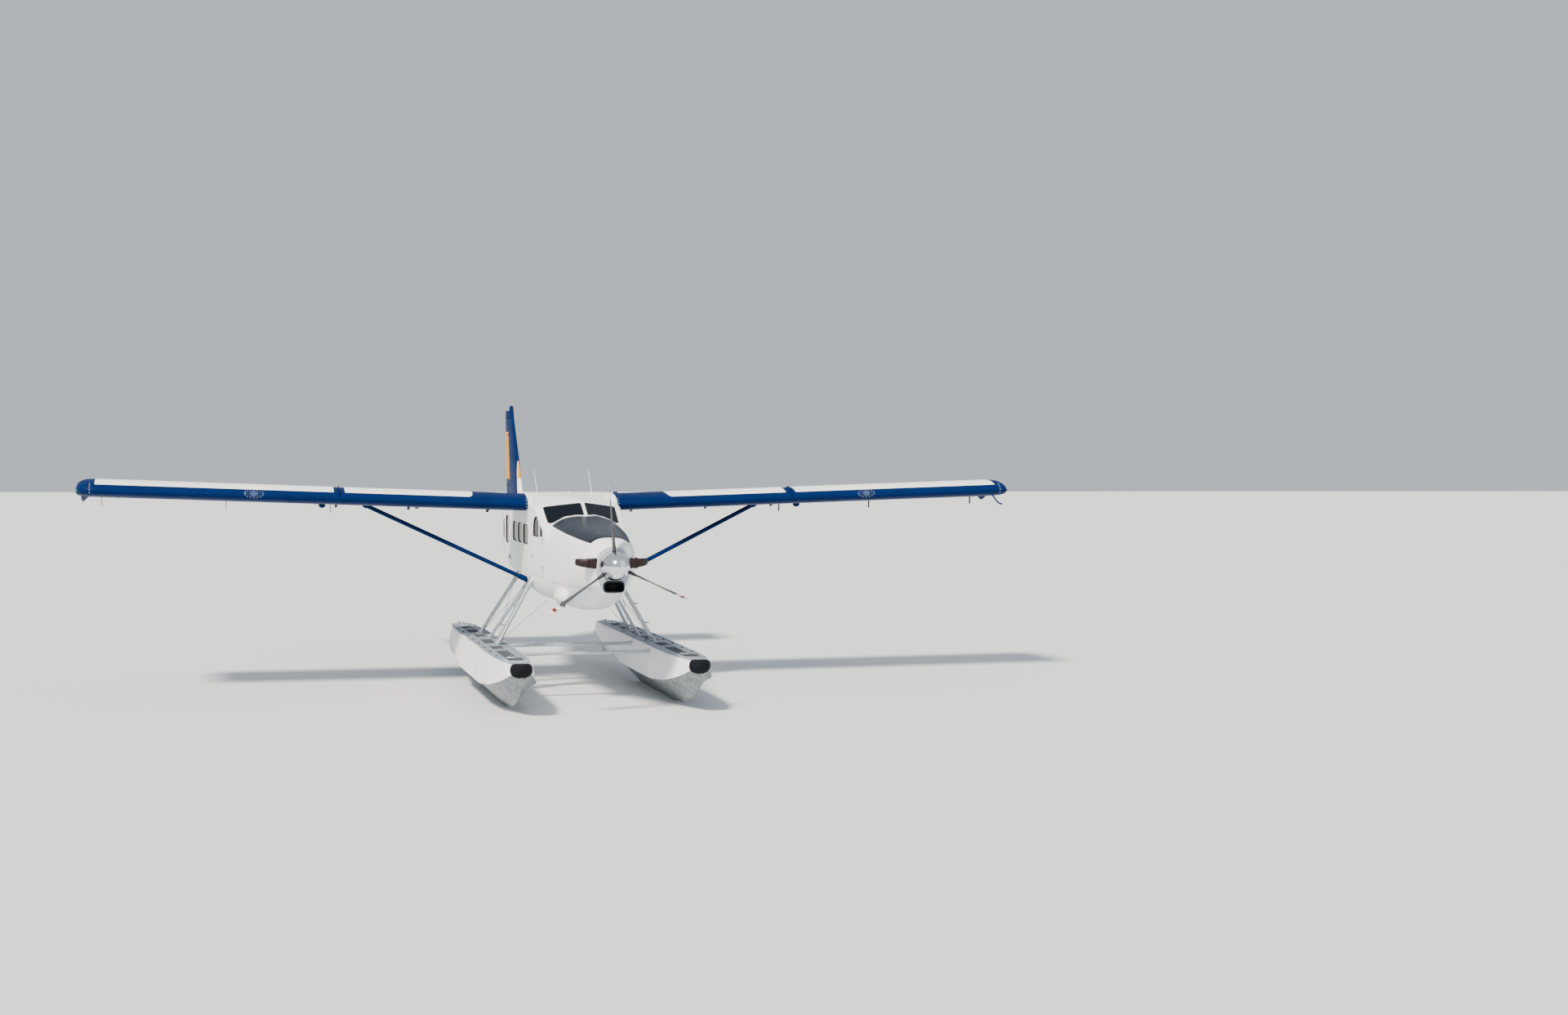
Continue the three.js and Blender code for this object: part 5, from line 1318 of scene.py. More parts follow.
# In metres: the white field's inner corner and outer end, the strap under the fence, the white root
FIELD_CORNER, FIELD_END = (1.94, 0.21), 8.51
STRAP_INNER, STRAP_OUTER, STRAP_BACK_Y = 4.18, 4.38, 520
ROOT_END = 0.845


def wing_scheme(tree, spot, coat):
    """White top with round inner corners, a navy strap under the fence and a white root; the rest navy."""
    side = mirrored(tree, spot)
    span = split_axes(tree, side)[0]
    height = wing_height(tree, side)
    inner = rounded_corner(tree, span, height, FIELD_CORNER, 0.1)
    outer = beyond(tree, side, (-1, 0, 0), -FIELD_END)
    strap = both(tree, beyond(tree, side, (1, 0, 0), STRAP_INNER),
                 beyond(tree, side, (-1, 0, 0), -STRAP_OUTER),
                 beyond(tree, side, (0, -1, 0), -(STATION_ZERO + STRAP_BACK_Y) / 1000))
    bare = calculate(tree, "SUBTRACT", 1.0, strap)
    root = beyond(tree, side, (-1, 0, 0), -ROOT_END)
    return blend_colours(tree, either(tree, both(tree, inner, outer, bare), root), coat, WHITE)


wing_paint = navy_finish("wing_paint", wing_scheme)
TIP = np.array([  # span, chord share, thickness share, set-back
    (8480, 1, 1, 0), (8560, 0.992, 0.995, 7), (8620, 0.98, 0.98, 20), (8680, 0.962, 0.95, 40),
    (8720, 0.94, 0.9, 65), (8760, 0.91, 0.83, 100), (8790, 0.87, 0.76, 150), (8815, 0.83, 0.66, 205),
    (8830, 0.78, 0.55, 270), (8841, 0.72, 0.42, 345), (8845, 0.66, 0.28, 420)], float)


def tip_ring(side, x):
    chord, thick, back = read_table(TIP, x)
    return [on_wing(side, x, back + c * chord, h * thick - (1 - thick) * 30) for c, h in SECTION]


def wing_prism(name, side, outline, x0, x1, material=None):
    return loft(name, [[on_wing(side, x, c, h) for c, h in outline] for x in (x0, x1)],
                [material] if material else [], crisp=40)


def hinge_eye(side, hinge, x, radius, half, material, sides=20):
    """A round bar along the hinge line of a wing surface."""
    ends = [Vector(on_wing(side, at, *hinge)) for at in (x - half, x + half)]
    along = (ends[1] - ends[0]).normalized()
    across = along.orthogonal().normalized()
    upright = along.cross(across)
    rings = [[end + (across * math.cos(w) + upright * math.sin(w)) * radius / 1000
              for w in turns(sides)] for end in ends]
    return loft("eye", rings, [material], crisp=40)


FLAP_HINGE, AILERON_HINGE = (1500, -130), (1480, -63)
SURFACES = {
    "flap": dict(x0=872, x1=4345, hinge=FLAP_HINGE, eye=22, arms=(1400, 2900, 4250)),
    "aileron": dict(x0=4385, x1=8395, hinge=AILERON_HINGE, eye=18, arms=(4480, 6240, 8290)),
}
ARM_HALF, LUG_OFFSET = 8, 18


def eye_arc(hinge, eye, count=12):
    return [(hinge[0] + eye * math.cos(w), hinge[1] + eye * math.sin(w))
            for w in np.linspace(-math.pi / 2, math.pi / 2, count)]


DROOP = [(900, 30), (1780, 30), (1730, -8), (1660, -70), (1500, -190), (1385, -160), (1250, -110),
         (1080, -40)]
FENCE = rounded([(60, 30), (-5, 20), (0, 84), (55, 146), (180, 205), (330, 230), (430, 224), (480, 180),
                 (250, 120)], 60, 6)
for side_name, side in SIDES.items():
    inner = [[on_wing(side, x, c, h) for c, h in SECTION] for x in np.linspace(745, 8440, 60)]
    wing = loft(f"wing_skin_{side_name}", inner + [tip_ring(side, x) for x in TIP[:, 0]],
                [wing_paint, seal_rubber])
    cove = [(COVE_C, -300), (2200, -300), (2200, 300), (LIP_C, 300), (LIP_C, LIP_UNDER),
            (COVE_C + 40, LIP_UNDER + 4), (COVE_C + 8, LIP_UNDER - 14), (COVE_C, LIP_UNDER - 60)]
    combine(wing, wing_prism("cut", side, cove, 858, 8415))
    combine(wing, cabin_block("cut", [-600, *np.linspace(-200, 2300, 26)], 0, 84, body_paint))
    sharpen(wing, 34)
    droop = []
    for x, share in ((8560, 0.02), (8660, 0.42), (8740, 0.86), (8775, 1.0), (8796, 0.9), (8803, 0.72)):
        droop.append([on_wing(side, x, c, h if h > 0 else h * share) for c, h in DROOP])
    droop = loft("droop", droop, [wing_paint], crisp=50)
    fence = [[on_wing(side, x, c, h) for c, h in offset(FENCE, d)]
             for x, d in ((4284, 3), (4286, 0), (4294, 0), (4296, 3))]
    fence = loft("fence", fence, [navy_paint], crisp=50)
    parts = [droop, fence]
    for surface in SURFACES.values():
        hinge, eye = surface["hinge"], surface["eye"]
        bend = (hinge[1] - eye) * 0.62 - 20
        arm = [(1230, -30), (1236, -62), (1310, bend), *eye_arc(hinge, eye), (1384, -58), (1384, -20)]
        for x in surface["arms"]:
            parts.append(wing_prism("arm", side, arm, x - ARM_HALF, x + ARM_HALF, navy_paint))
            parts.append(hinge_eye(side, hinge, x, eye * 0.72, ARM_HALF + 1, hinge_steel))
    wing = join_all(wing.name, [wing] + parts)
    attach(wing, "airframe")
    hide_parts(f"wing_{side_name}")

# Flaps and ailerons. Beaded sheet surfaces in the cove, white above and navy below; each hangs by lugs
# and bolts on three arms below the wing, and the ailerons carry four static wicks.
SURFACE_NOSE, SURFACE_RADIUS = (1490, 36), 50


def surface_scheme(tree, spot, coat):
    """White above the plane through the surface's nose and tail, navy below and at the wing's root."""
    side = mirrored(tree, spot)
    height = wing_height(tree, side)
    back = split_axes(tree, side)[1]
    line = spread(tree, back, (1480 + STATION_ZERO) / 1000, (1975 + STATION_ZERO) / 1000, 0.036, 0.0)
    above = calculate(tree, "GREATER_THAN", height, line)
    return blend_colours(tree, both(tree, above, beyond(tree, side, (1, 0, 0), 2.02)), coat, WHITE)


surface_paint = navy_finish("surface_paint", surface_scheme)


def station_mm(point):
    """A point of the row frame by its station, in millimetres; the way back from place."""
    return Vector(point) * 1000 - Vector((0, STATION_ZERO, 0))


def wing_mm(side, x, c, h):
    return station_mm(on_wing(side, x, c, h))


for side_name, side in SIDES.items():
    for surface_name, surface in SURFACES.items():
        x0, x1, hinge, eye = surface["x0"], surface["x1"], surface["hinge"], surface["eye"]
        rings = []
        for x, share in bead_spots(x0, x1, 166):
            outline = control_ring(SURFACE_NOSE, SURFACE_RADIUS, (CHORD, 0), 4 * share)
            rings.append([on_wing(side, x, c, h) for c, h in outline])
        skin = loft(f"{surface_name}_skin_{side_name}", rings, [surface_paint], crisp=38)
        parts = []
        c, h = hinge
        lug = [(1480, 0), (c - eye, h), (c - eye * 0.7, h - eye * 0.7), (c, h - eye),
               (c + eye * 0.7, h - eye * 0.7), (c + eye, h), (1580, 0)]
        for x in surface["arms"]:
            lug_x = x + LUG_OFFSET
            parts.append(wing_prism("lug", side, lug, lug_x - ARM_HALF, lug_x + ARM_HALF, navy_paint))
            parts.append(hinge_eye(side, hinge, x + LUG_OFFSET / 2, 9, LUG_OFFSET / 2 + ARM_HALF + 3,
                                   handle_alloy))
            parts.append(hinge_eye(side, hinge, lug_x + ARM_HALF + 3, 14, 4, handle_alloy, 6))
        if surface_name == "aileron":
            for x in (7100, 7500, 7900, 8300):
                parts.append(rod("wick", wing_mm(side, x, 1976, 0), wing_mm(side, x, 2100, -4), 2.6,
                                 seal_rubber, 6))
        skin = join_all(skin.name, [skin] + parts)
        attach(skin, f"{surface_name}_{side_name}")
        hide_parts(f"{surface_name}_{side_name}")

# Wing lamps and fittings. Each nose has a frosted landing lamp in a glossy navy cover ringed by pale
# plated screws, each tip a small coloured position lamp; filler caps, rows of screws at root and tip,
# arms of the flap and aileron hinges, a strut boss and lashing rings sit on the skin.
lamp_cover = plain_finish("navy_lamp_cover", "#0a2550", "#071c40", 0.12, 0, 40, 0.02)
lamp_glass = plain_finish("frosted_lamp_glass", "#3f5676", "#2c4163", 0.16, 0, 20, 0.1)
pale_screw = plain_finish("pale_plated_screw", "#c3ccd8", "#9fabba", 0.35, 0.4, 5, 0.1)
red_lens = plain_finish("red_lamp_glass", "#a3161a", "#7c1013", 0.1, 0, 20, 0.02)
green_lens = plain_finish("green_lamp_glass", "#0f7a3c", "#0a5b2c", 0.1, 0, 20, 0.02)
section_x = np.array([c for c, h in SECTION])
section_h = np.array([h for c, h in SECTION])
section_run = np.concatenate([[0], np.cumsum(np.hypot(np.diff(section_x), np.diff(section_h)))])
NOSE_RUN = float(section_run[int(np.argmin(section_x))])


def wing_spot(side, x, run, lift=0.0):
    """A point on the wing's skin, by span and distance round the section from its nose, over the top."""
    at = NOSE_RUN - run
    c, h = np.interp(at, section_run, section_x), np.interp(at, section_run, section_h)
    ahead = np.interp(at + 4, section_run, section_x) - np.interp(at - 4, section_run, section_x)
    rise = np.interp(at + 4, section_run, section_h) - np.interp(at - 4, section_run, section_h)
    out = Vector((rise, -ahead)).normalized() * lift
    return on_wing(side, x, c + out.x, h + out.y)


def nose_patch(name, side, x, run, half_x, half_run, lift, material):
    """An oval plate that follows the skin round the wing's nose."""
    rings = [[wing_spot(side, x + half_x * s * math.cos(w), run + half_run * s * math.sin(w), up)
              for w in turns(48)]
             for s, up in ((1.0, 0.0), (0.985, lift), (0.9, lift), (0.6, lift), (0.25, lift))]
    middle = Vector(wing_spot(side, x, run, lift)) * 0.5
    plate = loft(name, rings, [material], caps=False)
    hub = loft(name, [rings[-1], [Vector(p) * 0.5 + middle for p in rings[-1]]], [material])
    piece = join_all(name, [plate, hub])
    sharpen(piece, 50)
    return piece


# Span position and distance round the nose of the landing lamp, and the half axes of its ring of screws
LAMP_X, LAMP_RUN = 5790, 40
LAMP_RING = 165, 86
for side_name, side in SIDES.items():
    parts = [nose_patch("cover", side, LAMP_X, LAMP_RUN, 150, 74, 2, lamp_cover),
             nose_patch("lens", side, LAMP_X, LAMP_RUN, 70, 52, 5, lamp_glass)]
    for w in turns(16):
        x, run = LAMP_X + LAMP_RING[0] * math.cos(w), LAMP_RUN + LAMP_RING[1] * math.sin(w)
        parts.append(nose_patch("screw", side, x, run, 7, 7, 3, pale_screw))
    for x, width in ((8592, 10), (874, 8)):
        parts += [nose_patch("screw", side, x, run, width, width, 3, pale_screw)
                  for run in (-45, 10, 65, 120, 175)]
    for x, run in ((3300, 330), (5150, 330)):
        parts.append(nose_patch("cap", side, x, run, 30, 30, 4, frame_paint))
    for x in (4375, 6263, 8440):
        hinge = wing_mm(side, x, 1290, -40)
        parts.append(slab("hinge_arm", hinge + Vector((-5, -34, -215)), hinge + Vector((5, 34, 20)),
                          navy_paint, 4))
    boss = wing_mm(side, 4560, 700, -118)
    rings = [[place(*(boss + Vector((62 * r * math.cos(w), 120 * r * math.sin(w), -z)))) for w in turns(28)]
             for r, z in ((1, -20), (1, 14), (0.9, 34), (0.66, 50), (0.3, 58), (0.03, 60))]
    parts.append(loft("strut_boss", rings, [navy_paint]))
    for x in (4700, 8120):
        spot = station_mm(wing_spot(side, x, -300))
        parts.append(rod("lashing_ring", spot + Vector((0, 0, 4)), spot - Vector((0, 0, 30)), 9,
                         handle_alloy, 12))
    lens = red_lens if side > 0 else green_lens
    centre = Vector(on_wing(side, 8806, 200, -6))
    ball = []
    for w in np.linspace(0.02, math.pi - 0.02, 14):
        ball.append([centre + Vector((side * 0.026 * math.sin(w) * math.cos(a), -0.06 * math.cos(w),
                                      0.02 * math.sin(w) * math.sin(a))) for a in turns(24)])
    parts.append(loft("lens", ball, [lens]))
    lamps = join_all(f"wing_lamps_{side_name}", parts)
    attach(lamps, "airframe")

# Wing struts. One streamlined tube a side in navy, with a sheet cuff at the fuselage and one under the
# wing; a white plate with four bolts takes it on the cabin's side.


def stream_ring(centre, along, chord, thick, count=14):
    """A streamlined section square to a bar, its chord along the aircraft, in millimetres."""
    across = along.cross(Vector((0, 1, 0))).normalized()
    return [centre + Vector((0, (c - 0.4) * chord, 0)) + across * t * thick
            for c, t in aerofoil(1, 0, count)]


def stream_bar(name, start, end, sizes, material, cuff=None):
    """A streamlined bar between two points; cuff makes a fatter sleeve at both ends."""
    a, b = Vector(start), Vector(end)
    along = (b - a).normalized()
    rings = [[place(*p) for p in stream_ring(a.lerp(b, t), along, chord, thick)]
             for t, chord, thick in sizes]
    bar = loft(name, rings, [material], crisp=40)
    parts = [bar]
    for t0, t1, wide, thick in cuff or ():
        spots = ((t0, 0.96), (t0 + (t1 - t0) * 0.06, 1.0), (t1 - (t1 - t0) * 0.06, 1.0), (t1, 0.96))
        sleeve = [[place(*p) for p in stream_ring(a.lerp(b, t), along, wide * k, thick * k)]
                  for t, k in spots]
        piece = loft("cuff", sleeve, [material], crisp=40)
        parts.append(piece)
    return join_all(name, parts)


def skin_point(top, foot, inside=30):
    """Where the line of a strut enters the fuselage, a little inside its skin."""
    a, b = Vector(foot), Vector(top)
    for t in np.linspace(0, 1.4, 281):
        spot = a.lerp(b, t)
        if abs(spot.x) < side_x(spot.y, spot.z):
            return tuple(spot + (b - a).normalized() * inside)
    return top


for side_name, side in SIDES.items():
    end = (side * 3790, 948, 3475)
    start = skin_point((side * 850, 350, 2090), end)
    strut = stream_bar(f"wing_strut_tube_{side_name}", start, end,
                       [(0, 226, 80), (0.5, 230, 82), (1, 226, 80)], navy_paint,
                       [(0, 0.06, 252, 104), (0.975, 1.0, 252, 104)])
    plate = loft("plate", [on_side(round_box(230, 480, 2010, 2150, 40), side, 1),
                           on_side(round_box(236, 474, 2016, 2144, 36), side, -5)], [body_paint])
    bolts = [rod("bolt", (side * (side_x(y, z) - 2), y, z), (side * (side_x(y, z) + 9), y, z), 8,
                 handle_alloy, 6) for y in (252, 458) for z in (2030, 2130)]
    strut = join_all(strut.name, [strut, plate] + bolts)
    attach(strut, "airframe")
    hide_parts(f"wing_strut_{side_name}")

# Pitot mast. A goose-neck of tube that leaves the left wing's nose, navy, with its bare end white.
white_tube = plain_finish("white_pitot_tube", "#eef0f1", "#d8dbdd", 0.3, 0, 25, 0.05)


def pipe(name, route, radius, material, sides=14):
    """A round tube along a route of points in millimetres, its rings halving each bend."""
    points = [Vector(p) for p in route]
    rings = []
    for k, p in enumerate(points):
        before, after = points[max(k - 1, 0)], points[min(k + 1, len(points) - 1)]
        along = (after - before).normalized()
        across = along.cross(Vector((0.31, 0.17, 0.93))).normalized()
        upright = along.cross(across)
        rings.append([place(*(p + (across * math.cos(w) + upright * math.sin(w)) * radius))
                      for w in turns(sides)])
    return loft(name, rings, [material], crisp=50)


def eased(points, steps=6, share=0.3):
    """A route with its corners turned on curves."""
    spots = [Vector(p) for p in points]
    made = [spots[0]]
    for before, here, after in zip(spots, spots[1:], spots[2:]):
        a, b = here.lerp(before, share), here.lerp(after, share)
        made += [a * (1 - t) ** 2 + here * 2 * t * (1 - t) + b * t ** 2 for t in np.linspace(0, 1, steps)]
    return made + [spots[-1]]


neck = eased([wing_mm(1, 8340, 60, -20), wing_mm(1, 8350, -50, -35), wing_mm(1, 8400, -380, -265),
              wing_mm(1, 8418, -560, -286)])
mast = pipe("pitot_neck", neck, 16, navy_paint)
nose = rod("nose", neck[-1], wing_mm(1, 8430, -720, -300), 14, white_tube, 16, 12)
drain_mast = rod("drain", wing_mm(1, 8424, -640, -294), wing_mm(1, 8424, -640, -240), 7, white_tube, 10)
flange = nose_patch("flange", 1, 8343, -42, 34, 30, 5, navy_paint)
mast = join_all("pitot_neck", [mast, nose, drain_mast, flange])
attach(mast, "airframe")
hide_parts("pitot_mast")

# Floats. Riveted aluminium hulls with a flat deck, hard chines with spray rails, a fluted V bottom and one
# step: deck in grey, sides white, bottom bare. Hatches, pump cups, cleats and grip strips are fixed on
# the deck, and a black rubber bumper is pressed over each bow.
FLOAT_X, DECK_Z, STEP_Y, FLOAT_END = 1540, 920, 1100, 4700
# Station, deck half width and height, chine half width and height, keel height
FORE_BODY = np.array([(-3900, 70, 905, 74, 840, 790), (-3780, 150, 925, 168, 740, 560),
                      (-3450, 235, 930, 290, 610, 290), (-2800, 300, 925, 405, 480, 80),
                      (-1900, 320, 920, 450, 410, 0), (1100, 320, 920, 450, 400, 0)], float)
AFTER_BODY = np.array([(1100, 320, 920, 436, 430, 90), (2900, 305, 905, 380, 510, 255),
                       (4200, 255, 885, 290, 610, 420), (4700, 205, 875, 232, 665, 500)], float)
BOTTOM_POINTS, SIDE_POINTS = 15, 7


def hull_values(table, y):
    return smoothed(table, y, max(0.0, min(170, (y - table[0, 0]) / 2, (table[-1, 0] - y) / 2)))


def hull_half(values, grow=0.0):
    """Half of a hull section from keel to deck centre, as x and z pairs."""
    deck_half, deck, chine_half, chine, keel = values
    rise = chine - keel
    points = [(0, keel + 1), (11, keel + 1), (13, keel + 9)]
    for t in np.linspace(0.06, 0.965, 9):
        flute = 0.16 * math.sin(math.pi * t) * rise - 0.05 * math.sin(2 * math.pi * t) * rise
        points.append((chine_half * t, keel + rise * t + flute * 0.6))
    points += [(chine_half + 3, chine - 9), (chine_half + 12, chine - 3), (chine_half + 10, chine + 5)]
    for t in np.linspace(0.06, 0.9, 5):
        bow = 5 * math.sin(math.pi * t)
        points.append((chine_half + (deck_half - chine_half) * t + bow, chine + (deck - chine) * t))
    points += [(deck_half + 1, deck - 14), (deck_half - 5, deck - 3), (deck_half - 18, deck), (0, deck)]
    return [(x + grow * min(1, x / 40), z) for x, z in points]


def hull_ring(side, table, y):
    half = hull_half(hull_values(table, y))
    ring = half + [(-x, z) for x, z in half[-2:0:-1]]
    return [place(side * FLOAT_X + x, y, z) for x, z in ring]


float_white = aircraft_paint("white_float_paint", WHITE, WHITE_SHADE, roughness=0.3)
deck_grey = plain_finish("silver_grey_deck_paint", "#9aa4b1", "#858f9c", 0.5, 0.25, 55, 0.25)
bare_metal = plain_finish("bare_scuffed_aluminium", "#9aa0a4", "#6f7679", 0.42, 0.85, 90, 0.4)
grip_black = plain_finish("dark_grip_strip", "#3a3e44", "#4b5057", 0.9, 0, 5, 0.8)
bumper_rubber = plain_finish("black_bow_rubber", "#0b0d11", "#181b20", 0.8, 0, 26, 0.3)
bumper_rubber.node_tree.nodes["Principled BSDF"].inputs["Specular IOR Level"].default_value = 0.12


def hull_at(y):
    """The hull's values at a station, from the body that runs there."""
    return hull_values(FORE_BODY if y < STEP_Y else AFTER_BODY, y)


def hull_body(name, side, table, stations):
    rings = [hull_ring(side, table, y) for y in stations]
    piece = loft(name, rings, [bare_metal, float_white, deck_grey])
    count = len(rings[0])
    half = count // 2
    for face in piece.data.polygons:
        j = face.index % count
        spot = j if j < half else count - 1 - j
        face.material_index = (spot >= BOTTOM_POINTS - 1) + (spot >= BOTTOM_POINTS + SIDE_POINTS)
    sharpen(piece, 28)
    return piece


def deck_height(y):
    return hull_at(y)[1]


def deck_strip(name, side, x0, x1, y0, y1, lift, material):
    """A thin strip that lies on the deck and follows its sheer."""
    rings = []
    for y in np.linspace(y0, y1, max(4, int((y1 - y0) / 120))):
        z = deck_height(y)
        rings.append([place(side * FLOAT_X + x, y, z + dz)
                      for x, dz in ((x0, -2), (x1, -2), (x1, lift), (x0, lift))])
    return loft(name, rings, [material], smooth=False)


def hull_band(name, side, table, y, width, lift, material):
    """A raised seam strip that follows the hull's section from chine to deck, on both sides."""
    parts = []
    for way in (1, -1):
        rings = []
        for dy, up in ((-width / 2, -1), (-width / 2, lift), (width / 2, lift), (width / 2, -1)):
            half = hull_half(hull_values(table, y + dy), up)[BOTTOM_POINTS - 1:BOTTOM_POINTS + 6]
            rings.append([place(side * FLOAT_X + way * x, y + dy, z) for x, z in half])
        faces = grid_faces(4, len(rings[0]), closed=False)
        parts.append(new_piece(name, [p for ring in rings for p in ring], faces, [material], False))
    return parts


def round_hatch(side, y, radius):
    """A round inspection cover with a grip across it."""
    centre, z = side * FLOAT_X, deck_height(y)
    profile = [(radius, z - 2), (radius, z + 5), (radius - 6, z + 8), (radius - 16, z + 8),
               (radius - 18, z + 5), (radius - 30, z + 5), (radius - 34, z + 9), (4, z + 10)]
    cover = loft("hatch", turned_upright(centre, y, profile, 40), [deck_grey], crisp=35)
    route = [(centre + dx, y, z + dz) for dx, dz in ((-48, 4), (-40, 30), (40, 30), (48, 4))]
    grip = pipe("grip", eased(route), 6, handle_alloy, 10)
    return [cover, grip]


def deck_hatch(side, y0, y1, half):
    """A square locker lid near the bow with two drop handles and corner straps."""
    x, z = side * FLOAT_X, deck_height((y0 + y1) / 2)
    parts = [slab("coaming", (x - half - 14, y0 - 14, z - 4), (x + half + 14, y1 + 14, z + 7),
                  float_white, 6),
             slab("lid", (x - half, y0, z), (x + half, y1, z + 14), deck_grey, 6),
             slab("grip_mat", (x - half + 26, y0 + 30, z + 10), (x + half - 26, y1 - 30, z + 17),
                  grip_black, 3)]
    for way in (-1, 1):
        for y in (y0 + 18, y1 - 18):
            parts.append(slab("strap", (x + way * (half - 46), y - 12, z + 12),
                              (x + way * (half - 8), y + 12, z + 19), handle_alloy, 3))
        ends = [(x + way * (half - 18), y, z + dz)
                for y, dz in ((y0 + 110, 10), (y0 + 116, 32), (y1 - 116, 32), (y1 - 110, 10))]
        parts.append(pipe("handle", eased(ends), 5, handle_alloy, 8))
    return parts


def cleat(side, y, base):
    """A two-horned mooring cleat on its raised seat."""
    x = side * FLOAT_X
    parts = [slab("seat", (x - 60, y - 60, base - 40), (x + 60, y + 60, base - 14), float_white, 6),
             slab("foot", (x - 26, y - 44, base - 16), (x + 26, y + 44, base - 8), handle_alloy, 4)]
    for dy in (-22, 22):
        parts.append(rod("post", (x, y + dy, base - 12), (x, y + dy, base + 14), 9, handle_alloy, 12))
    horn = [(x, y + dy, base + dz) for dy, dz in ((-78, 22), (-44, 14), (0, 13), (44, 14), (78, 22))]
    parts.append(pipe("horns", eased(horn, 5), 8, handle_alloy, 12))
    return parts


FORE_SEAMS = (-3300, -2700, -2050, -1400, -700, 0, 650)
AFTER_SEAMS = (1160, 1800, 2450, 3100, 3700, 4250)
fore_spots = np.concatenate([[-3900, -3893, -3875, -3850, -3820], np.linspace(-3780, -2500, 22),
                             np.linspace(-2350, 1100, 20)])
after_spots = np.concatenate([np.linspace(STEP_Y - 6, 4640, 26), [4676, 4694, 4700]])
for side_name, side in SIDES.items():
    x = side * FLOAT_X
    parts = [hull_body("fore", side, FORE_BODY, fore_spots),
             hull_body("after", side, AFTER_BODY, after_spots)]
    for table, seams in ((FORE_BODY, FORE_SEAMS), (AFTER_BODY, AFTER_SEAMS)):
        for y in seams:
            parts += hull_band("seam", side, table, y, 34, 2.2, float_white)
    for y0, y1 in ((-2500, -1430), (-1120, -560), (-60, 720), (1150, 1760), (2240, 2900), (3200, 3860)):
        parts.append(deck_strip("grip", side, -105, 105, y0, y1, 3, grip_black))
    for edge in (-1, 1):
        parts.append(deck_strip("kerb", side, edge * 252 - 7, edge * 252 + 7, -2700, 3300, 9, deck_grey))
    parts += deck_hatch(side, -3290, -2800, 160)
    for y in (-1290, 1010, 3040):
        parts += round_hatch(side, y, 128)
    for y in np.arange(-2300, 4200, 780):
        z = deck_height(y)
        parts.append(rod("pump_cup", (x + side * 214, y, z - 2), (x + side * 214, y, z + 13), 22,
                         bumper_rubber, 16))
    parts += cleat(side, -2600, 945) + cleat(side, 4000, 915)
    for z in (560, 800):
        parts.append(slab("gudgeon", (x - 22, FLOAT_END - 40, z - 14), (x + 22, FLOAT_END + 62, z + 14),
                          handle_alloy, 3))
        profile = ((24, z - 14), (24, z + 14), (14.6, z + 14), (14.6, z - 14))
        parts.append(tube_of_rings("eye", turned_upright(x, FLOAT_END + 60, profile, 28), handle_alloy))
    hull = join_all(f"float_hull_{side_name}", parts)
    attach(hull, "airframe")
    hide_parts(f"float_{side_name}")

    rings = []
    for y, half, top, chine, low in ((-3962, 40, 906, 858, 846), (-3957, 60, 918, 842, 818),
                                     (-3942, 84, 930, 822, 784), (-3915, 110, 938, 800, 744),
                                     (-3880, 136, 942, 778, 706), (-3835, 162, 944, 760, 676),
                                     (-3790, 184, 944, 752, 664), (-3782, 180, 938, 754, 668)):
        outline = rounded([(-half, top), (half, top), (half * 1.06, chine), (0, low),
                           (-half * 1.06, chine)], half * 0.62, 7)
        rings.append([place(x + u, y, v) for u, v in outline])
    bumper = loft(f"bow_rubber_{side_name}", rings, [bumper_rubber], crisp=50)
    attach(bumper, "airframe")
    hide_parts(f"bow_bumper_{side_name}")

# Water rudders. A flat blade with pressed swages on a vertical post at each stern, with a tiller arm on
# top; it turns in two gudgeons of the float.
rudder_metal = plain_finish("grey_water_rudder", "#a7adb3", "#8b9197", 0.45, 0.6, 60, 0.2)
WATER_BLADE = [(60, 180), (6, 300), (-20, 420), (-20, 900), (60, 900), (130, 620), (330, 480), (330, 230),
               (250, 180)]
for side_name, side in SIDES.items():
    x, hinge = side * FLOAT_X, FLOAT_END + 60
    outline = rounded([(hinge + dy, z) for dy, z in WATER_BLADE], 26, 5)
    blade = loft(f"water_blade_{side_name}",
                 [[place(x + dx, y, z) for y, z in offset(outline, d)]
                  for dx, d in ((-9, 3), (-6, 0), (6, 0), (9, 3))], [rudder_metal], crisp=40)
    for z in (560, 800):
        notch = slab("cut", (x - 60, hinge - 60, z - 20), (x + 60, hinge + 46, z + 20), rudder_metal, 1)
        combine(blade, notch)
    sharpen(blade, 40)
    parts = [blade]
    for z in (270, 350, 430):
        parts += [rod("swage", (x + way * 8, hinge + 50, z), (x + way * 8, hinge + 300, z + 8), 5,
                      rudder_metal, 10) for way in (-1, 1)]
    for low, high in ((470, 539), (581, 779), (821, 900)):
        parts.append(rod("post", (x, hinge, low), (x, hinge, high), 20, rudder_metal, 20))
    parts.append(rod("pin", (x, hinge, 480), (x, hinge, 895), 14, handle_alloy, 20))
    parts.append(slab("tiller", (x - 95, hinge - 12, 880), (x + 95, hinge + 14, 892), handle_alloy, 4))
    blade = join_all(blade.name, parts)
    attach(blade, f"water_rudder_{side_name}")
    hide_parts(f"water_rudder_{side_name}")

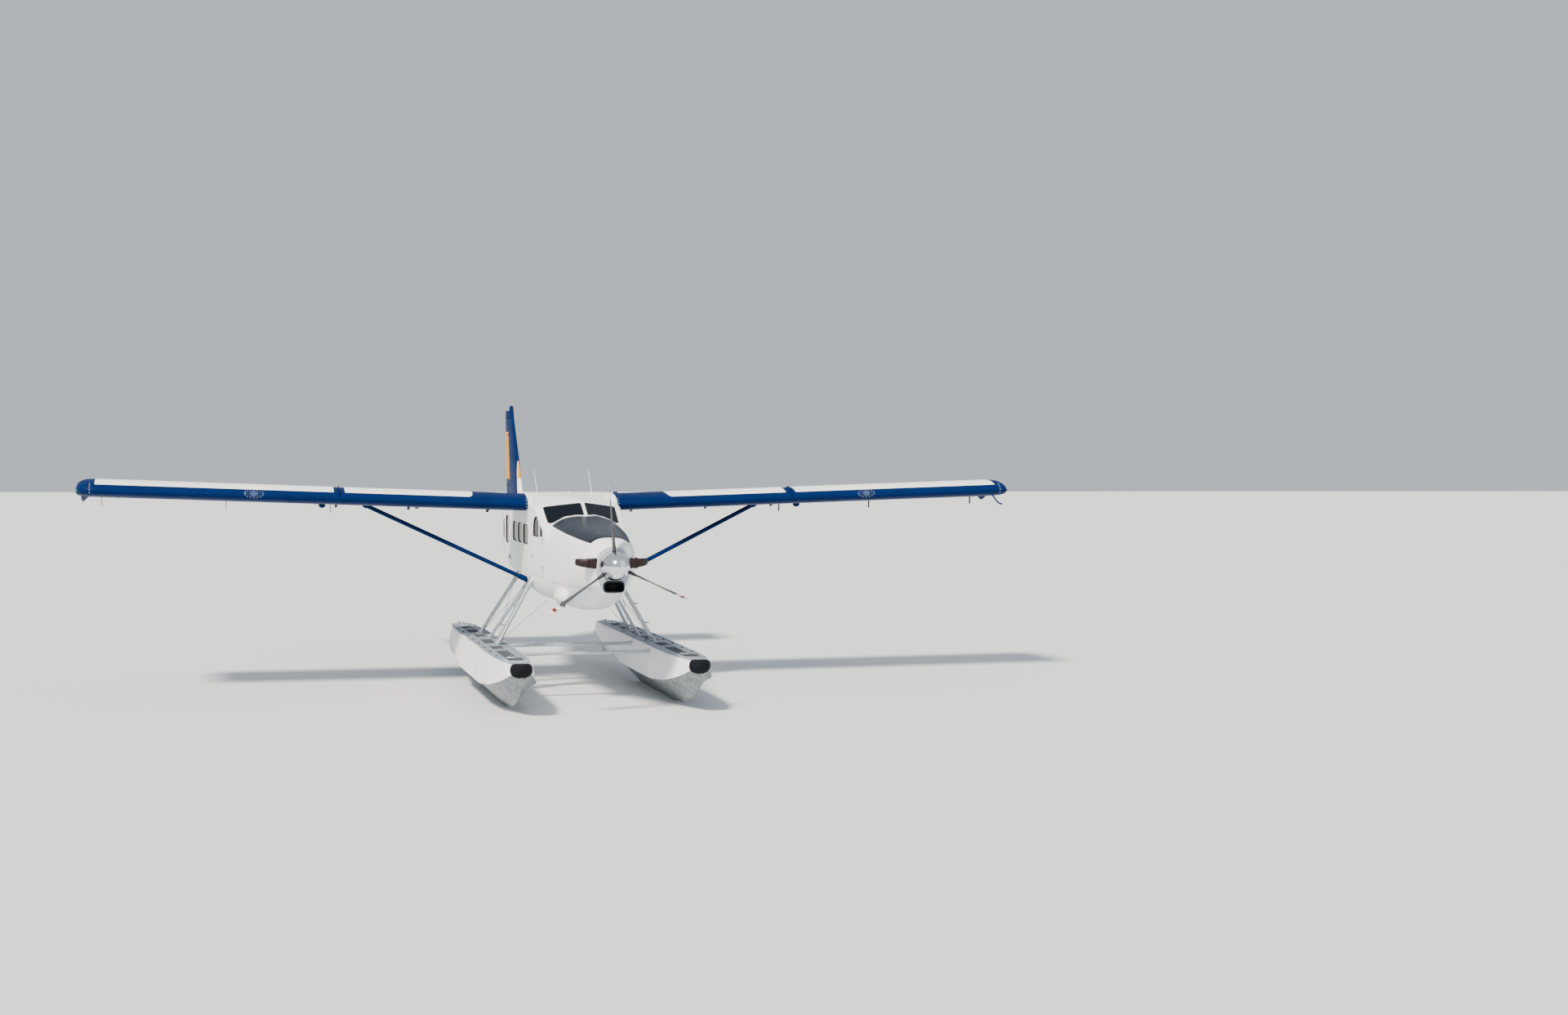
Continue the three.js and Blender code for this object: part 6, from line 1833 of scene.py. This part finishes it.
# Float struts and bracing. Silver streamlined tubes stand the fuselage on the decks in three pairs, with
# steps on the front ones, crossed wires between them, rudder cables along the decks, and two bars that
# keep the floats apart.
strut_silver = plain_finish("silver_strut_paint", "#c3c8ce", "#aab0b7", 0.34, 0.55, 70, 0.15)
FLOAT_STRUTS = {
    "front": dict(top=(850, -205, 2040), foot=(1480, -330, DECK_Z), chords=(250, 340), thick=74),
    "middle": dict(top=(800, 510, 1960), foot=(1450, 930, DECK_Z), chords=(156, 156), thick=62),
    "rear": dict(top=(850, 1470, 2040), foot=(1480, 1970, DECK_Z), chords=(196, 196), thick=66),
}


def wire(name, start, end, radius=5):
    """A bracing wire with a turnbuckle and a fork at its lower end."""
    a, b = Vector(start), Vector(end)
    along = (b - a).normalized()
    parts = [rod(name, a, b, radius, handle_alloy, 8),
             rod("turnbuckle", b - along * 190, b - along * 80, radius + 5, handle_alloy, 6),
             rod("fork", b - along * 34, b, radius + 6, hinge_steel, 10)]
    return parts


for side_name, side in SIDES.items():
    x = side * FLOAT_X
    for strut_name, strut in FLOAT_STRUTS.items():
        top = (side * strut["top"][0], *strut["top"][1:])
        foot = (side * strut["foot"][0], *strut["foot"][1:])
        start, end = skin_point(top, foot), tuple(Vector(foot).lerp(Vector(top), 0.006))
        c0, c1 = strut["chords"]
        bar = stream_bar(f"{strut_name}_float_strut_{side_name}", start, end,
                         [(0, c0, strut["thick"]), (0.5, (c0 + c1) / 2, strut["thick"]),
                          (1, c1, strut["thick"])], strut_silver,
                         [(0.0, 0.16, c0 * 1.1, strut["thick"] * 1.32),
                          (0.945, 1.0, c1 * 1.08, strut["thick"] * 1.4)])
        parts = [bar]
        wide = strut["chords"][1]
        parts.append(slab("shoe", (foot[0] - 62, foot[1] - wide * 0.46, DECK_Z - 16),
                          (foot[0] + 62, foot[1] + wide * 0.66, DECK_Z + 9), strut_silver, 7))
        for dx in (-44, 44):
            for dy in (-0.34, 0.54):
                parts.append(rod("bolt", (foot[0] + dx, foot[1] + wide * dy, DECK_Z),
                                 (foot[0] + dx, foot[1] + wide * dy, DECK_Z + 18), 9, handle_alloy, 6))
        if strut_name == "front":
            a, b = Vector(top), Vector(foot)
            for t in (0.36, 0.68):
                spot = a.lerp(b, t)
                tread = mirror_x(side, (abs(spot.x) - 10, spot.y - 80, spot.z - 7),
                                 (abs(spot.x) + 118, spot.y + 60, spot.z + 5))
                parts.append(slab("tread", *tread, strut_silver, 5))
                pad = mirror_x(side, (abs(spot.x) + 50, spot.y - 70, spot.z + 4),
                               (abs(spot.x) + 110, spot.y + 50, spot.z + 8))
                parts.append(slab("pad", *pad, grip_black, 2))
        bar = join_all(bar.name, parts)
        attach(bar, "airframe")
        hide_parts(f"float_strut_{strut_name}_{side_name}")
    wires = wire("wire", (side * 880, -120, 2030), (side * 1460, 1890, DECK_Z + 26))
    wires += wire("wire", (side * 880, 1400, 2035), (side * 1460, -190, DECK_Z + 26))
    wires += wire("wire", (side * 700, -1250, 1800), (side * 1480, -480, DECK_Z + 30))
    wires += wire("wire", (side * 560, 1460, 1890), (side * 1330, 310, 870))
    for y0, y1 in ((-200, 1880), (2060, 3780)):
        mid = (y0 + y1) / 2
        line = [(x - side * 190, y, deck_height(min(max(y, -3800), 4690)) + 26) for y in (y0, mid, y1)]
        wires.append(pipe("rudder_cable", line, 3, handle_alloy, 6))
        wires += [slab("fairlead", (p[0] - 14, p[1] - 14, p[2] - 28), (p[0] + 14, p[1] + 14, p[2] + 8),
                       handle_alloy, 3) for p in line]
    tail = [(x - side * 190, 3780, deck_height(3780) + 26), (x - side * 150, 4300, 915),
            (x - side * 88, FLOAT_END + 50, 896)]
    wires.append(pipe("rudder_cable", tail, 3, handle_alloy, 6))
    rigging = join_all(f"float_rigging_{side_name}", wires)
    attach(rigging, "airframe")

for bar_name, y in (("front", -1260), ("rear", 320)):
    bar = stream_bar(f"{bar_name}_spreader", (-1240, y, 835), (1240, y, 835),
                     [(0, 130, 60), (0.5, 132, 62), (1, 130, 60)], strut_silver,
                     [(0.0, 0.045, 158, 86), (0.955, 1.0, 158, 86)])
    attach(bar, "airframe")
    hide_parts(f"spreader_bar_{bar_name}")

# Seats. Foam pads in stitched grey-blue cloth on tube frames with moulded shells: two for the crew and
# three rows a side in the cabin. The pads are cloth swollen by pressure, then pressed in at their seams.
SEAT_CLOTH, SEAT_SHADE = "#3c4656", "#2e3643"
seat_cloth, tree, shader, spot = new_finish("woven_seat_cloth", SEAT_CLOTH, 0.85)
weave = add_node(tree, "ShaderNodeTexWave", {"Vector": spot, "Scale": 260, "Distortion": 2.0},
                 bands_direction="DIAGONAL")
worn = spread(tree, clouds(tree, spot, 90), 0.35, 0.7)
tree.links.new(blend_colours(tree, worn, SEAT_CLOTH, SEAT_SHADE), shader.inputs["Base Color"])
shader.inputs["Sheen Weight"].default_value = 0.35
relief(tree, shader, weave.outputs["Fac"], 0.35)
seat_shell = plain_finish("moulded_seat_shell", "#565b61", "#484d52", 0.55, 0, 14, 0.2)


SWELL_FRAMES, SWELL_REACH = 14, 0.016  # frames of the simulation, and metres
GROOVE_WIDTH, GROOVE_DEPTH = 11, 0.11  # millimetres, and a share of the pad's half size


def swollen_pad(name, size, grooves, voxel=0.012):
    """A pad of the given size in millimetres, blown up as cloth, with sewn grooves across it."""
    x, y, z = (v / 2 for v in size)
    pad = slab(name, (-x, -y - STATION_ZERO, -z), (x, y - STATION_ZERO, z), seat_cloth, min(size) * 0.42)
    remesh = pad.modifiers.new("voxels", "REMESH")
    remesh.mode, remesh.voxel_size = "VOXEL", voxel
    finish_mesh(pad)
    rest = [v.co.copy() for v in pad.data.vertices]
    cloth = pad.modifiers.new("cloth", "CLOTH")
    cloth.settings.use_pressure = True
    cloth.settings.uniform_pressure_force = 4
    cloth.settings.effector_weights.gravity = 0
    cloth.settings.tension_stiffness = cloth.settings.compression_stiffness = 30
    for step in range(1, SWELL_FRAMES + 1):
        bpy.context.scene.frame_set(step)
    finish_mesh(pad)
    bpy.context.scene.frame_set(1)
    for vertex, start in zip(pad.data.vertices, rest):
        move = vertex.co - start
        if move.length > SWELL_REACH:
            move = move.normalized() * SWELL_REACH
        vertex.co = start + move
        for axis, level in grooves:
            near = (vertex.co[axis] * 1000 - level) / GROOVE_WIDTH
            if abs(near) < 3:
                vertex.co -= vertex.co * GROOVE_DEPTH * math.exp(-near * near) * (abs(start[2]) > z / 2200)
    for polygon in pad.data.polygons:
        polygon.use_smooth = True
    return pad


cushion_shape = swollen_pad("cushion_shape", (420, 430, 92), ((0, -70), (0, 70), (1, 60)))
back_shape = swollen_pad("back_shape", (410, 560, 76), ((0, -65), (0, 65), (1, -110), (1, 120)))


def set_pad(name, shape, centre, lean, scale=1.0):
    """A copy of a pad shape turned about X by lean and moved to a place given in millimetres."""
    pad = shape.copy()
    pad.data = shape.data.copy()
    pad.name = name
    bpy.context.scene.collection.objects.link(pad)
    turn = Matrix.Rotation(lean, 4, "X")
    spot = Vector(place(*centre))
    for vertex in pad.data.vertices:
        vertex.co = spot + turn @ (vertex.co * scale)
    return pad


def seat_frame(x, y, half):
    """Tubes, a pan and a shelled back for one seat at station y."""
    parts = [slab("pan", (x - half, y - 222, 2272), (x + half, y + 215, 2302), seat_shell, 12),
             slab("shell", (x - half, y + 238, 2330), (x + half, y + 262, 2950), seat_shell, 12)]
    for dx in (-half + 40, half - 40):
        route = [(x + dx, y + dy, z) for dy, z in ((-190, 2012), (-190, 2270), (190, 2270), (190, 2012))]
        parts.append(pipe("leg", eased(route, 5, 0.15), 13, handle_alloy, 10))
        parts.append(rod("brace", (x + dx, y - 186, 2030), (x + dx, y + 186, 2250), 8, handle_alloy, 8))
        parts.append(slab("track", (x + dx - 22, y - 230, 2010), (x + dx + 22, y + 230, 2022),
                          handle_alloy, 3))
    return parts


def seat_rows(name, side, x, rows, half, scale):
    frames, pads = [], []
    for y in rows:
        frames += seat_frame(x, y, half)
        pads.append(set_pad("cushion", cushion_shape, (x, y - 2, 2352), 0, scale))
        pads.append(set_pad("back", back_shape, (x, y + 205, 2660), math.radians(88), scale))
    pad = join_all(f"{name}_pads_{side}", pads)
    frame_piece = join_all(f"{name}_frames_{side}", frames)
    for piece, slot in ((pad, "seat_cloth"), (frame_piece, "cabin_trim")):
        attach(piece, "airframe")
    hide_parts(f"{name}_{side}")
    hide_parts(f"{name}_{side}")


for side_name, side in SIDES.items():
    seat_rows("pilot_seat", side_name, side * 380, [-330], 222, 1.0)
    seat_rows("cabin_seats", side_name, side * 380, [600, 1300, 2000], 200, 0.93)
for shape in (cushion_shape, back_shape):
    bpy.data.objects.remove(shape)

# Instrument panel. A grey moulded panel on a centre pedestal with round dials and blank radios, a black
# shade over them, power levers and two control wheels on columns.
panel_face = plain_finish("grey_panel_paint", "#3b3e42", "#303336", 0.6, 0, 10, 0.1)
dial_face = plain_finish("black_dial_face", "#0b0c0d", "#141516", 0.25, 0, 30, 0.02)
dial_mark = plain_finish("white_dial_paint", "#e8e9ea", "#d4d6d8", 0.5, 0, 10, 0.02)
PANEL_FRONT = -998
parts = [slab("panel", (-560, -1040, 2700), (560, -1000, 3016), panel_face, 14),
         slab("shade", (-560, -1040, 3004), (560, -930, 3020), grip_black, 8),
         slab("pedestal", (-126, -1035, 2012), (126, -812, 2700), panel_face, 18),
         slab("console", (-128, -1010, 2660), (128, -802, 2708), panel_face, 12),
         slab("radios", (-105, -1004, 2724), (105, -990, 2990), dial_face, 6)]
for column in (-1, 1):
    for i, x in enumerate((165, 262, 359, 456)):
        for z, radius in ((2930, 41), (2830, 41), (2745, 28)):
            centre = (column * x, PANEL_FRONT - 6, z)
            parts.append(rod("bezel", centre, (column * x, PANEL_FRONT + 5, z), radius,
                             handle_alloy if z < 2800 else panel_face, 28))
            parts.append(rod("face", centre, (column * x, PANEL_FRONT + 7, z), radius - 6, dial_face, 28))
            turn = 0.9 * i + z / 41
            tip = (column * x + 0.7 * radius * math.cos(turn), PANEL_FRONT + 9,
                   z + 0.7 * radius * math.sin(turn))
            parts.append(rod("needle", (column * x, PANEL_FRONT + 9, z), tip, 1.6, dial_mark, 6))
            for k in range(12):
                a = k * math.pi / 6
                ends = [(column * x + r * math.cos(a), PANEL_FRONT + 8, z + r * math.sin(a))
                        for r in (radius - 13, radius - 8)]
                parts.append(rod("mark", *ends, 1.1, dial_mark, 4))
    wheel = column * 330
    parts.append(rod("column", (wheel, PANEL_FRONT, 2660), (wheel, -800, 2668), 17, handle_alloy, 16))
    grip = [(wheel + 150 * math.cos(a), -792, 2668 + 118 * math.sin(a))
            for a in np.radians([125, 150, 180, 215, 250, 270, 290, 325, 360, 390, 415])]
    parts.append(pipe("wheel", eased(grip, 4), 13, grip_black, 12))
    parts.append(rod("hub", (wheel, -812, 2668), (wheel, -776, 2668), 34, grip_black, 20))
    for a in (200, 270, 340):
        tip = (wheel + 146 * math.cos(math.radians(a)), -792, 2668 + 114 * math.sin(math.radians(a)))
        parts.append(rod("spoke", (wheel, -792, 2668), tip, 9, grip_black, 10))
for z in (2760, 2850, 2940):
    for x in (-85, -60, 60, 85):
        parts.append(rod("knob", (x, -992, z), (x, -976, z), 8, panel_face, 12))
    parts.append(slab("radio_window", (-48, -992, z - 20), (48, -988, z + 20), deck_grey, 2))
for k, x in enumerate((-80, -40, 0, 40, 80)):
    parts.append(rod("lever", (x, -900, 2700), (x, -880 + 6 * k, 2800), 6, handle_alloy, 8))
    parts.append(rod("lever_grip", (x, -883 + 6 * k, 2788), (x, -877 + 6 * k, 2824), 15,
                     (grip_black, trim_plastic)[k % 2], 14))
panel = join_all("dial_panel", parts)
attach(panel, "airframe")
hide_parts("instrument_panel")

# Cabin floor, bulkhead and engine. These solids keep their shape and take carpet, grey trim and oily
# cast metal; floor and bulkhead show through the glass and the open doors.
carpet = plain_finish("short_pile_carpet", "#4b5058", "#3b4047", 0.95, 0, 7, 1.2)
cast_metal = plain_finish("oily_cast_alloy", "#70757a", "#4d5054", 0.5, 0.8, 35, 0.4)
for node, finish in (("cabin_floor", carpet), ("cabin_bulkhead", trim_plastic),
                     ("engine_block", cast_metal)):
    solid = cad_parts[node]
    solid.data.materials.clear()
    solid.data.materials.append(finish)

# Fasteners. Rows of rivets along every frame, rib, spar and seam, and larger quarter-turn studs on the
# cowl: one tree of nodes sets a low six-sided head at each step of a guide line, turned to face
# outwards. Thin painted strips make the lap seams of the body and the panel gaps of the cowl.


# Pitch of a row, radius and height of a head, in millimetres
RIVETS = {"fuselage": (46, 4.2, 1.7), "wing": (62, 4.2, 1.5), "surface": (55, 3.8, 1.3),
          "fin": (52, 4.0, 1.5), "rudder": (48, 4.0, 1.5), "tailplane": (52, 4.0, 1.5),
          "float": (44, 4.2, 1.7)}
COWL_STUD = (165, 9.5, 3.2)


def rivet_tree():
    """Points along a guide line, each with a head that faces along the line's own facing attribute."""
    tree = bpy.data.node_groups.new("rivet_rows", "GeometryNodeTree")
    for name, kind in (("Guides", "NodeSocketGeometry"), ("Pitch", "NodeSocketFloat"),
                       ("Head Radius", "NodeSocketFloat"), ("Head Height", "NodeSocketFloat"),
                       ("Finish", "NodeSocketMaterial")):
        tree.interface.new_socket(name, in_out="INPUT", socket_type=kind)
    tree.interface.new_socket("Rivets", in_out="OUTPUT", socket_type="NodeSocketGeometry")
    given = tree.nodes.new("NodeGroupInput").outputs
    lines = add_node(tree, "GeometryNodeMeshToCurve", {"Mesh": given["Guides"]})
    spots = add_node(tree, "GeometryNodeResampleCurve",
                     {"Curve": lines.outputs["Curve"], "Length": given["Pitch"]}, mode="LENGTH")
    facing = add_node(tree, "GeometryNodeInputNamedAttribute", {"Name": "facing"}, data_type="FLOAT_VECTOR")
    turn = add_node(tree, "FunctionNodeAlignRotationToVector", {"Vector": facing.outputs["Attribute"]},
                    axis="Z")
    head = add_node(tree, "GeometryNodeMeshCone",
                    {"Vertices": 6, "Radius Top": 0.0, "Radius Bottom": given["Head Radius"],
                     "Depth": given["Head Height"]}, fill_type="NGON")
    rows = add_node(tree, "GeometryNodeInstanceOnPoints",
                    {"Points": spots.outputs["Curve"], "Instance": head.outputs["Mesh"],
                     "Rotation": turn.outputs["Rotation"]})
    real = add_node(tree, "GeometryNodeRealizeInstances", {"Geometry": rows.outputs["Instances"]})
    painted = add_node(tree, "GeometryNodeSetMaterial",
                       {"Geometry": real.outputs["Geometry"], "Material": given["Finish"]})
    tree.links.new(painted.outputs["Geometry"], tree.nodes.new("NodeGroupOutput").inputs["Rivets"])
    return tree


rivets = rivet_tree()


def guide_lines(rows):
    """Rows of (point, facing) pairs in metres as one mesh of edges with a facing attribute."""
    points, edges, facings = [], [], []
    for row in rows:
        first = len(points)
        points += [tuple(p) for p, _ in row]
        facings += [tuple(n) for _, n in row]
        edges += [(first + i, first + i + 1) for i in range(len(row) - 1)]
    mesh = bpy.data.meshes.new("guides")
    mesh.from_pydata(points, edges, [])
    layer = mesh.attributes.new("facing", "FLOAT_VECTOR", "POINT")
    layer.data.foreach_set("vector", [c for facing in facings for c in facing])
    return mesh


def set_rivets(name, body, rows, pitch_mm, radius_mm, height_mm, finish, slot):
    """One piece with all the heads that the node tree sets along some rows."""
    guides = bpy.data.objects.new("guides", guide_lines(rows))
    bpy.context.scene.collection.objects.link(guides)
    step = guides.modifiers.new("rivets", "NODES")
    step.node_group = rivets
    values = {"Pitch": pitch_mm / 1000, "Head Radius": radius_mm / 1000, "Head Height": height_mm / 1000,
              "Finish": finish}
    for socket in rivets.interface.items_tree:
        if socket.name in values:
            step[socket.identifier] = values[socket.name]
    bpy.context.view_layer.update()
    made = bpy.data.meshes.new_from_object(guides.evaluated_get(bpy.context.evaluated_depsgraph_get()))
    made.materials.clear()
    made.materials.append(finish)
    made.polygons.foreach_set("material_index", [0] * len(made.polygons))
    piece = bpy.data.objects.new(name, made)
    bpy.context.scene.collection.objects.link(piece)
    bpy.data.objects.remove(guides)
    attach(piece, body)
    return piece


def on_surface(name, spots, reach=0.08):
    """Casts rays, given as origins and directions in metres, on a piece; returns rows of hits."""
    if name not in surface_trees:
        graph = bpy.context.evaluated_depsgraph_get()
        surface_trees[name] = BVHTree.FromObject(bpy.data.objects[name], graph)
    row = []
    for origin, direction in spots:
        towards = Vector(direction).normalized()
        hit, normal, _, _ = surface_trees[name].ray_cast(Vector(origin), towards, reach)
        if hit is not None:
            row.append((hit, normal if normal.dot(towards) < 0 else -normal))
    return unbroken(row)


def unbroken(row, gap=0.14):
    """Splits a row where it jumps, as at a window or an edge."""
    parts = [[]]
    for spot in row:
        if parts[-1] and (spot[0] - parts[-1][-1][0]).length > gap:
            parts.append([])
        parts[-1].append(spot)
    return [part for part in parts if len(part) > 1]


def inward(y, outer, inner):
    """Rays at a station from one closed outline towards another, once round and closed."""
    starts, ends = ([Vector(p) for p in at_station(y, outline)] for outline in (outer, inner))
    pairs = [(a, b - a) for a, b in zip(starts, ends)]
    return pairs + pairs[:1]


def from_side(side, out, spots):
    """Rays towards the middle plane from a distance out on one side, through stations and heights."""
    return [(place(side * out, y, z), (-side, 0, 0)) for y, z in spots]


def skin_ring(name, y):
    return on_surface(name, inward(y, cabin_outline(y, -45, 150), cabin_outline(y, 0, 150)))


def side_line(name, y0, y1, z, side):
    rays = []
    for y in np.arange(y0, y1, 40.0):
        rays.append((place(side * (side_x(y, z) + 50), y, z), (-side, 0, 0)))
    return on_surface(name, rays)


def beside(rows, shift):
    """The same rows moved by a vector in millimetres, for the panel gap beside a row of studs."""
    return [[(p + Vector(shift) / 1000, n) for p, n in row] for row in rows]


def seam_strip(row, width, lift, material, sink=0.8):
    """A thin raised strip along a row of points; width and lift in millimetres."""
    rings = []
    for k, (point, facing) in enumerate(row):
        along = (row[min(k + 1, len(row) - 1)][0] - row[max(k - 1, 0)][0]).normalized()
        across = along.cross(facing).normalized() * width / 2000
        rings.append([point - across - facing * sink / 1000, point + across - facing * sink / 1000,
                      point + across * 0.9 + facing * lift / 1000,
                      point - across * 0.9 + facing * lift / 1000])
    return loft("seam", rings, [material], smooth=False)


surface_trees = {}
frames = [skin_ring("cabin_skin", y)
          for y in (-1450, -1225, -235, 12, 705, 1390, 2062, 2420, 3490, 3600, 4110, 4262)]
frames += [skin_ring("tail_cone_skin", y) for y in (4350, 4370, 4850, 5350, 5850, 6350, 6850, 7250)]
lengthwise = []
for side in SIDES.values():
    lengthwise += [side_line("cabin_skin", -1440, 4290, z, side) for z in (2120, 2480, 3175, 3330)]
    lengthwise += [side_line("tail_cone_skin", 4340, 7300, z, side) for z in (2560, 2900, 3180)]
fuselage_rows = [row for group in frames + lengthwise for row in group]
set_rivets("fuselage_rivets", "airframe", fuselage_rows, *RIVETS["fuselage"], body_paint, "white_paint")
laps = [seam_strip(row, 26, 0.9, body_paint) for group in frames[1:12:2] + lengthwise[::2]
        for row in group if len(row) > 3]
laps = join_all("fuselage_laps", laps)
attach(laps, "airframe")

stud_steel = plain_finish("cadmium_stud_steel", "#6d6a66", "#4f4d4a", 0.45, 0.7, 10, 0.1)
panel_gap = plain_finish("shadowed_panel_gap", "#8d9398", "#7a8086", 0.7, 0, 30, 0.1)
COWL_SPLIT_Z = 2180
rings = []
for y in (-3560, -3020, -2440, -1560):
    rings.append(on_surface("cowl_skin", inward(y, cowl_outline(y, -45, 120), cowl_outline(y, 0, 120))))
gaps = [beside(group, (0, 26, 0)) for group in rings[:3]]
for side in SIDES.values():
    rays = from_side(side, 900, [(y, COWL_SPLIT_Z) for y in np.arange(-3540, -1540, 50.0)])
    rings.append(on_surface("cowl_skin", rays, 0.9))
    gaps.append(beside(rings[-1], (0, 0, -22)))
stud_rows = [row for group in rings for row in group]
set_rivets("cowl_studs", "airframe", stud_rows, *COWL_STUD, stud_steel, "dark_metal")
gaps = join_all("cowl_panel_gaps",
                [seam_strip(row, 5, 0.5, panel_gap) for group in gaps for row in group if len(row) > 3])
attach(gaps, "airframe")


def wing_row(side, name, spots, above):
    """A row on the top or the underside of a wing piece, through (span, chordwise) spots."""
    rays = []
    for x, c in spots:
        start = on_wing(side, x, c, 420 if above else -420)
        rays.append((start, (0, 0, -1 if above else 1)))
    return on_surface(name, rays, 0.7)


ribs, spans = np.arange(1050, 8500, 372.0), np.arange(900, 8540, 60.0)
for side_name, side in SIDES.items():
    rows = []
    for above in (True, False):
        for x in ribs:
            rows += wing_row(side, f"wing_skin_{side_name}", [(x, c) for c in np.arange(30, 1560, 45.0)],
                             above)
        for c in (46, 330, 1075, 1400):
            rows += wing_row(side, f"wing_skin_{side_name}", [(x, c) for x in spans], above)
    set_rivets(f"wing_rivets_{side_name}", "airframe", rows, *RIVETS["wing"], wing_paint, "white_paint")
    for surface, x0, x1 in (("flap", 900, 4820), ("aileron", 4900, 8450)):
        rows = []
        for above in (True, False):
            for c in (1560, 1935):
                rows += wing_row(side, f"{surface}_skin_{side_name}",
                                 [(x, c) for x in np.arange(x0, x1, 50.0)], above)
        set_rivets(f"{surface}_rivets_{side_name}", f"{surface}_{side_name}", rows, *RIVETS["surface"],
                   surface_paint, "navy_paint")

rows = []
for side in SIDES.values():
    for z in np.arange(3420, 5400, 235.0):
        rays = from_side(side, 300, [(y, z) for y in np.arange(6000, 8600, 40.0)])
        rows += on_surface("fin_skin", rays, 0.4)
    for share in (0.12, 0.5, 0.9):
        spots = [(hinge_y(z) - 150 - (1 - share) * (hinge_y(z) - 6260 - (z - 3400) * 0.8), z)
                 for z in np.arange(3340, 5150, 50.0)]
        rows += on_surface("fin_skin", from_side(side, 300, spots), 0.4)
set_rivets("fin_rivets", "airframe", rows, *RIVETS["fin"], fin_paint, "navy_paint")
rows = []
for side in SIDES.values():
    spots = [(hinge_y(z) + 95, z) for z in np.arange(2480, 5120, 50.0)]
    rows += on_surface("rudder_skin", from_side(side, 300, spots), 0.4)
set_rivets("rudder_rivets", "rudder", rows, *RIVETS["rudder"], rudder_paint, "navy_paint")
rows = []
for side in SIDES.values():
    for drop in (1, -1):
        for x in np.arange(420, 3200, 310.0):
            rows += on_surface("tailplane_skin", [(place(side * x, y, TAIL_Z + drop * 300), (0, 0, -drop))
                                                  for y in np.arange(6600, 7560, 40.0)], 0.4)
        for y in (6790, 7140, 7380):
            rows += on_surface("tailplane_skin", [(place(side * x, y, TAIL_Z + drop * 300), (0, 0, -drop))
                                                  for x in np.arange(300, 3180, 50.0)], 0.4)
set_rivets("tailplane_rivets", "airframe", rows, *RIVETS["tailplane"], tail_paint, "white_paint")

for side_name, side in SIDES.items():
    rows, hull = [], f"float_hull_{side_name}"
    x = side * FLOAT_X
    for way in (1, -1):
        for y in FORE_SEAMS + AFTER_SEAMS:
            for dy in (-9, 9):
                rays = [(place(x + way * 620, y + dy, z), (-way, 0, 0)) for z in np.arange(430, 905, 40.0)]
                rows += on_surface(hull, rays, 0.7)
        for low, lift in ((True, 26), (False, -24)):
            rays = []
            for y in np.arange(-3720, 4640, 60.0):
                values = hull_at(y)
                rays.append((place(x + way * 620, y, (values[3] if low else values[1]) + lift),
                             (-way, 0, 0)))
            rows += on_surface(hull, rays, 0.7)
        rows += on_surface(hull, [(place(x + way * (hull_at(y)[0] - 34), y, 1100), (0, 0, -1))
                                  for y in np.arange(-3600, 4600, 60.0)], 0.4)
    set_rivets(f"float_rivets_{side_name}", "airframe", rows, *RIVETS["float"], float_white, "float_metal")

# Windshield sill and aerials. A white moulded strip closes the foot of the windshield; two white whip
# aerials of moulded resin, each on a small foot, and three low domes are fixed on the roof.
SILL_ROUTE = [(0, -1408), (90, -1372), (200, -1290), (330, -1202), (450, -1200), (590, -1216), (650, -1176),
              (690, -1118)]
SILL_WIDTH, SILL_HEIGHT = 36, 11
route = [Vector((x, y, 0)) for x, y in SILL_ROUTE]
rays = []
for a, b in zip(route, route[1:]):
    rays += [a.lerp(b, t) for t in np.linspace(0, 1, 8, endpoint=False)]
strips = []
for side in SIDES.values():
    drops = [(place(side * p.x, p.y, 3700), (0, 0, -1)) for p in rays]
    strips += [seam_strip(row, SILL_WIDTH, SILL_HEIGHT, frame_paint, 3)
               for row in on_surface("cabin_skin", drops, 0.9)]
sill = join_all("windshield_sill", strips)
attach(sill, "airframe")



def roof_foot(x, y):
    """The point of the roof straight below a place, in millimetres."""
    foot = on_surface("cabin_skin", [(place(x + dx, y, 4000), (0, 0, -1)) for dx in (0, 4)], 0.9)[0][0][0]
    return Vector((foot.x * 1000, foot.y * 1000 - STATION_ZERO, foot.z * 1000))


aerial_white = plain_finish("white_aerial_resin", "#eceeef", "#d9dcde", 0.38, 0, 20, 0.05)
parts = []
for x, y, lean in ((-350, 2050, -62), (520, 900, -58)):
    base = roof_foot(x, y)
    parts.append(slab("foot", base + Vector((-26, -48, -14)), base + Vector((26, 48, 8)), aerial_white, 6))
    rings = []
    for t, chord, thick in ((0, 64, 17), (0.3, 46, 13), (0.85, 30, 9), (0.98, 24, 7), (1, 12, 4)):
        centre = base + Vector((lean * t, 46 * t, 6 + 450 * t))
        rings.append([place(*(centre + Vector((h * thick, (c - 0.4) * chord, 0))))
                      for c, h in aerofoil(1, 0, 12)])
    mast = loft("mast", rings, [aerial_white], crisp=40)
    parts.append(mast)
for x, y, radius in ((-250, 900, 52), (520, 260, 40), (180, 1500, 46)):
    base = roof_foot(x, y)
    rings = [[place(*(base + Vector((r * math.cos(w), r * 1.5 * math.sin(w), z)))) for w in turns(28)]
             for r, z in ((radius, -8), (radius, 5), (radius * 0.93, 14), (radius * 0.7, 24),
                          (radius * 0.3, 30), (3, 31))]
    dome = loft("dome", rings, [aerial_white], crisp=50)
    parts.append(dome)
aerials = join_all("roof_aerials", parts)
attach(aerials, "airframe")
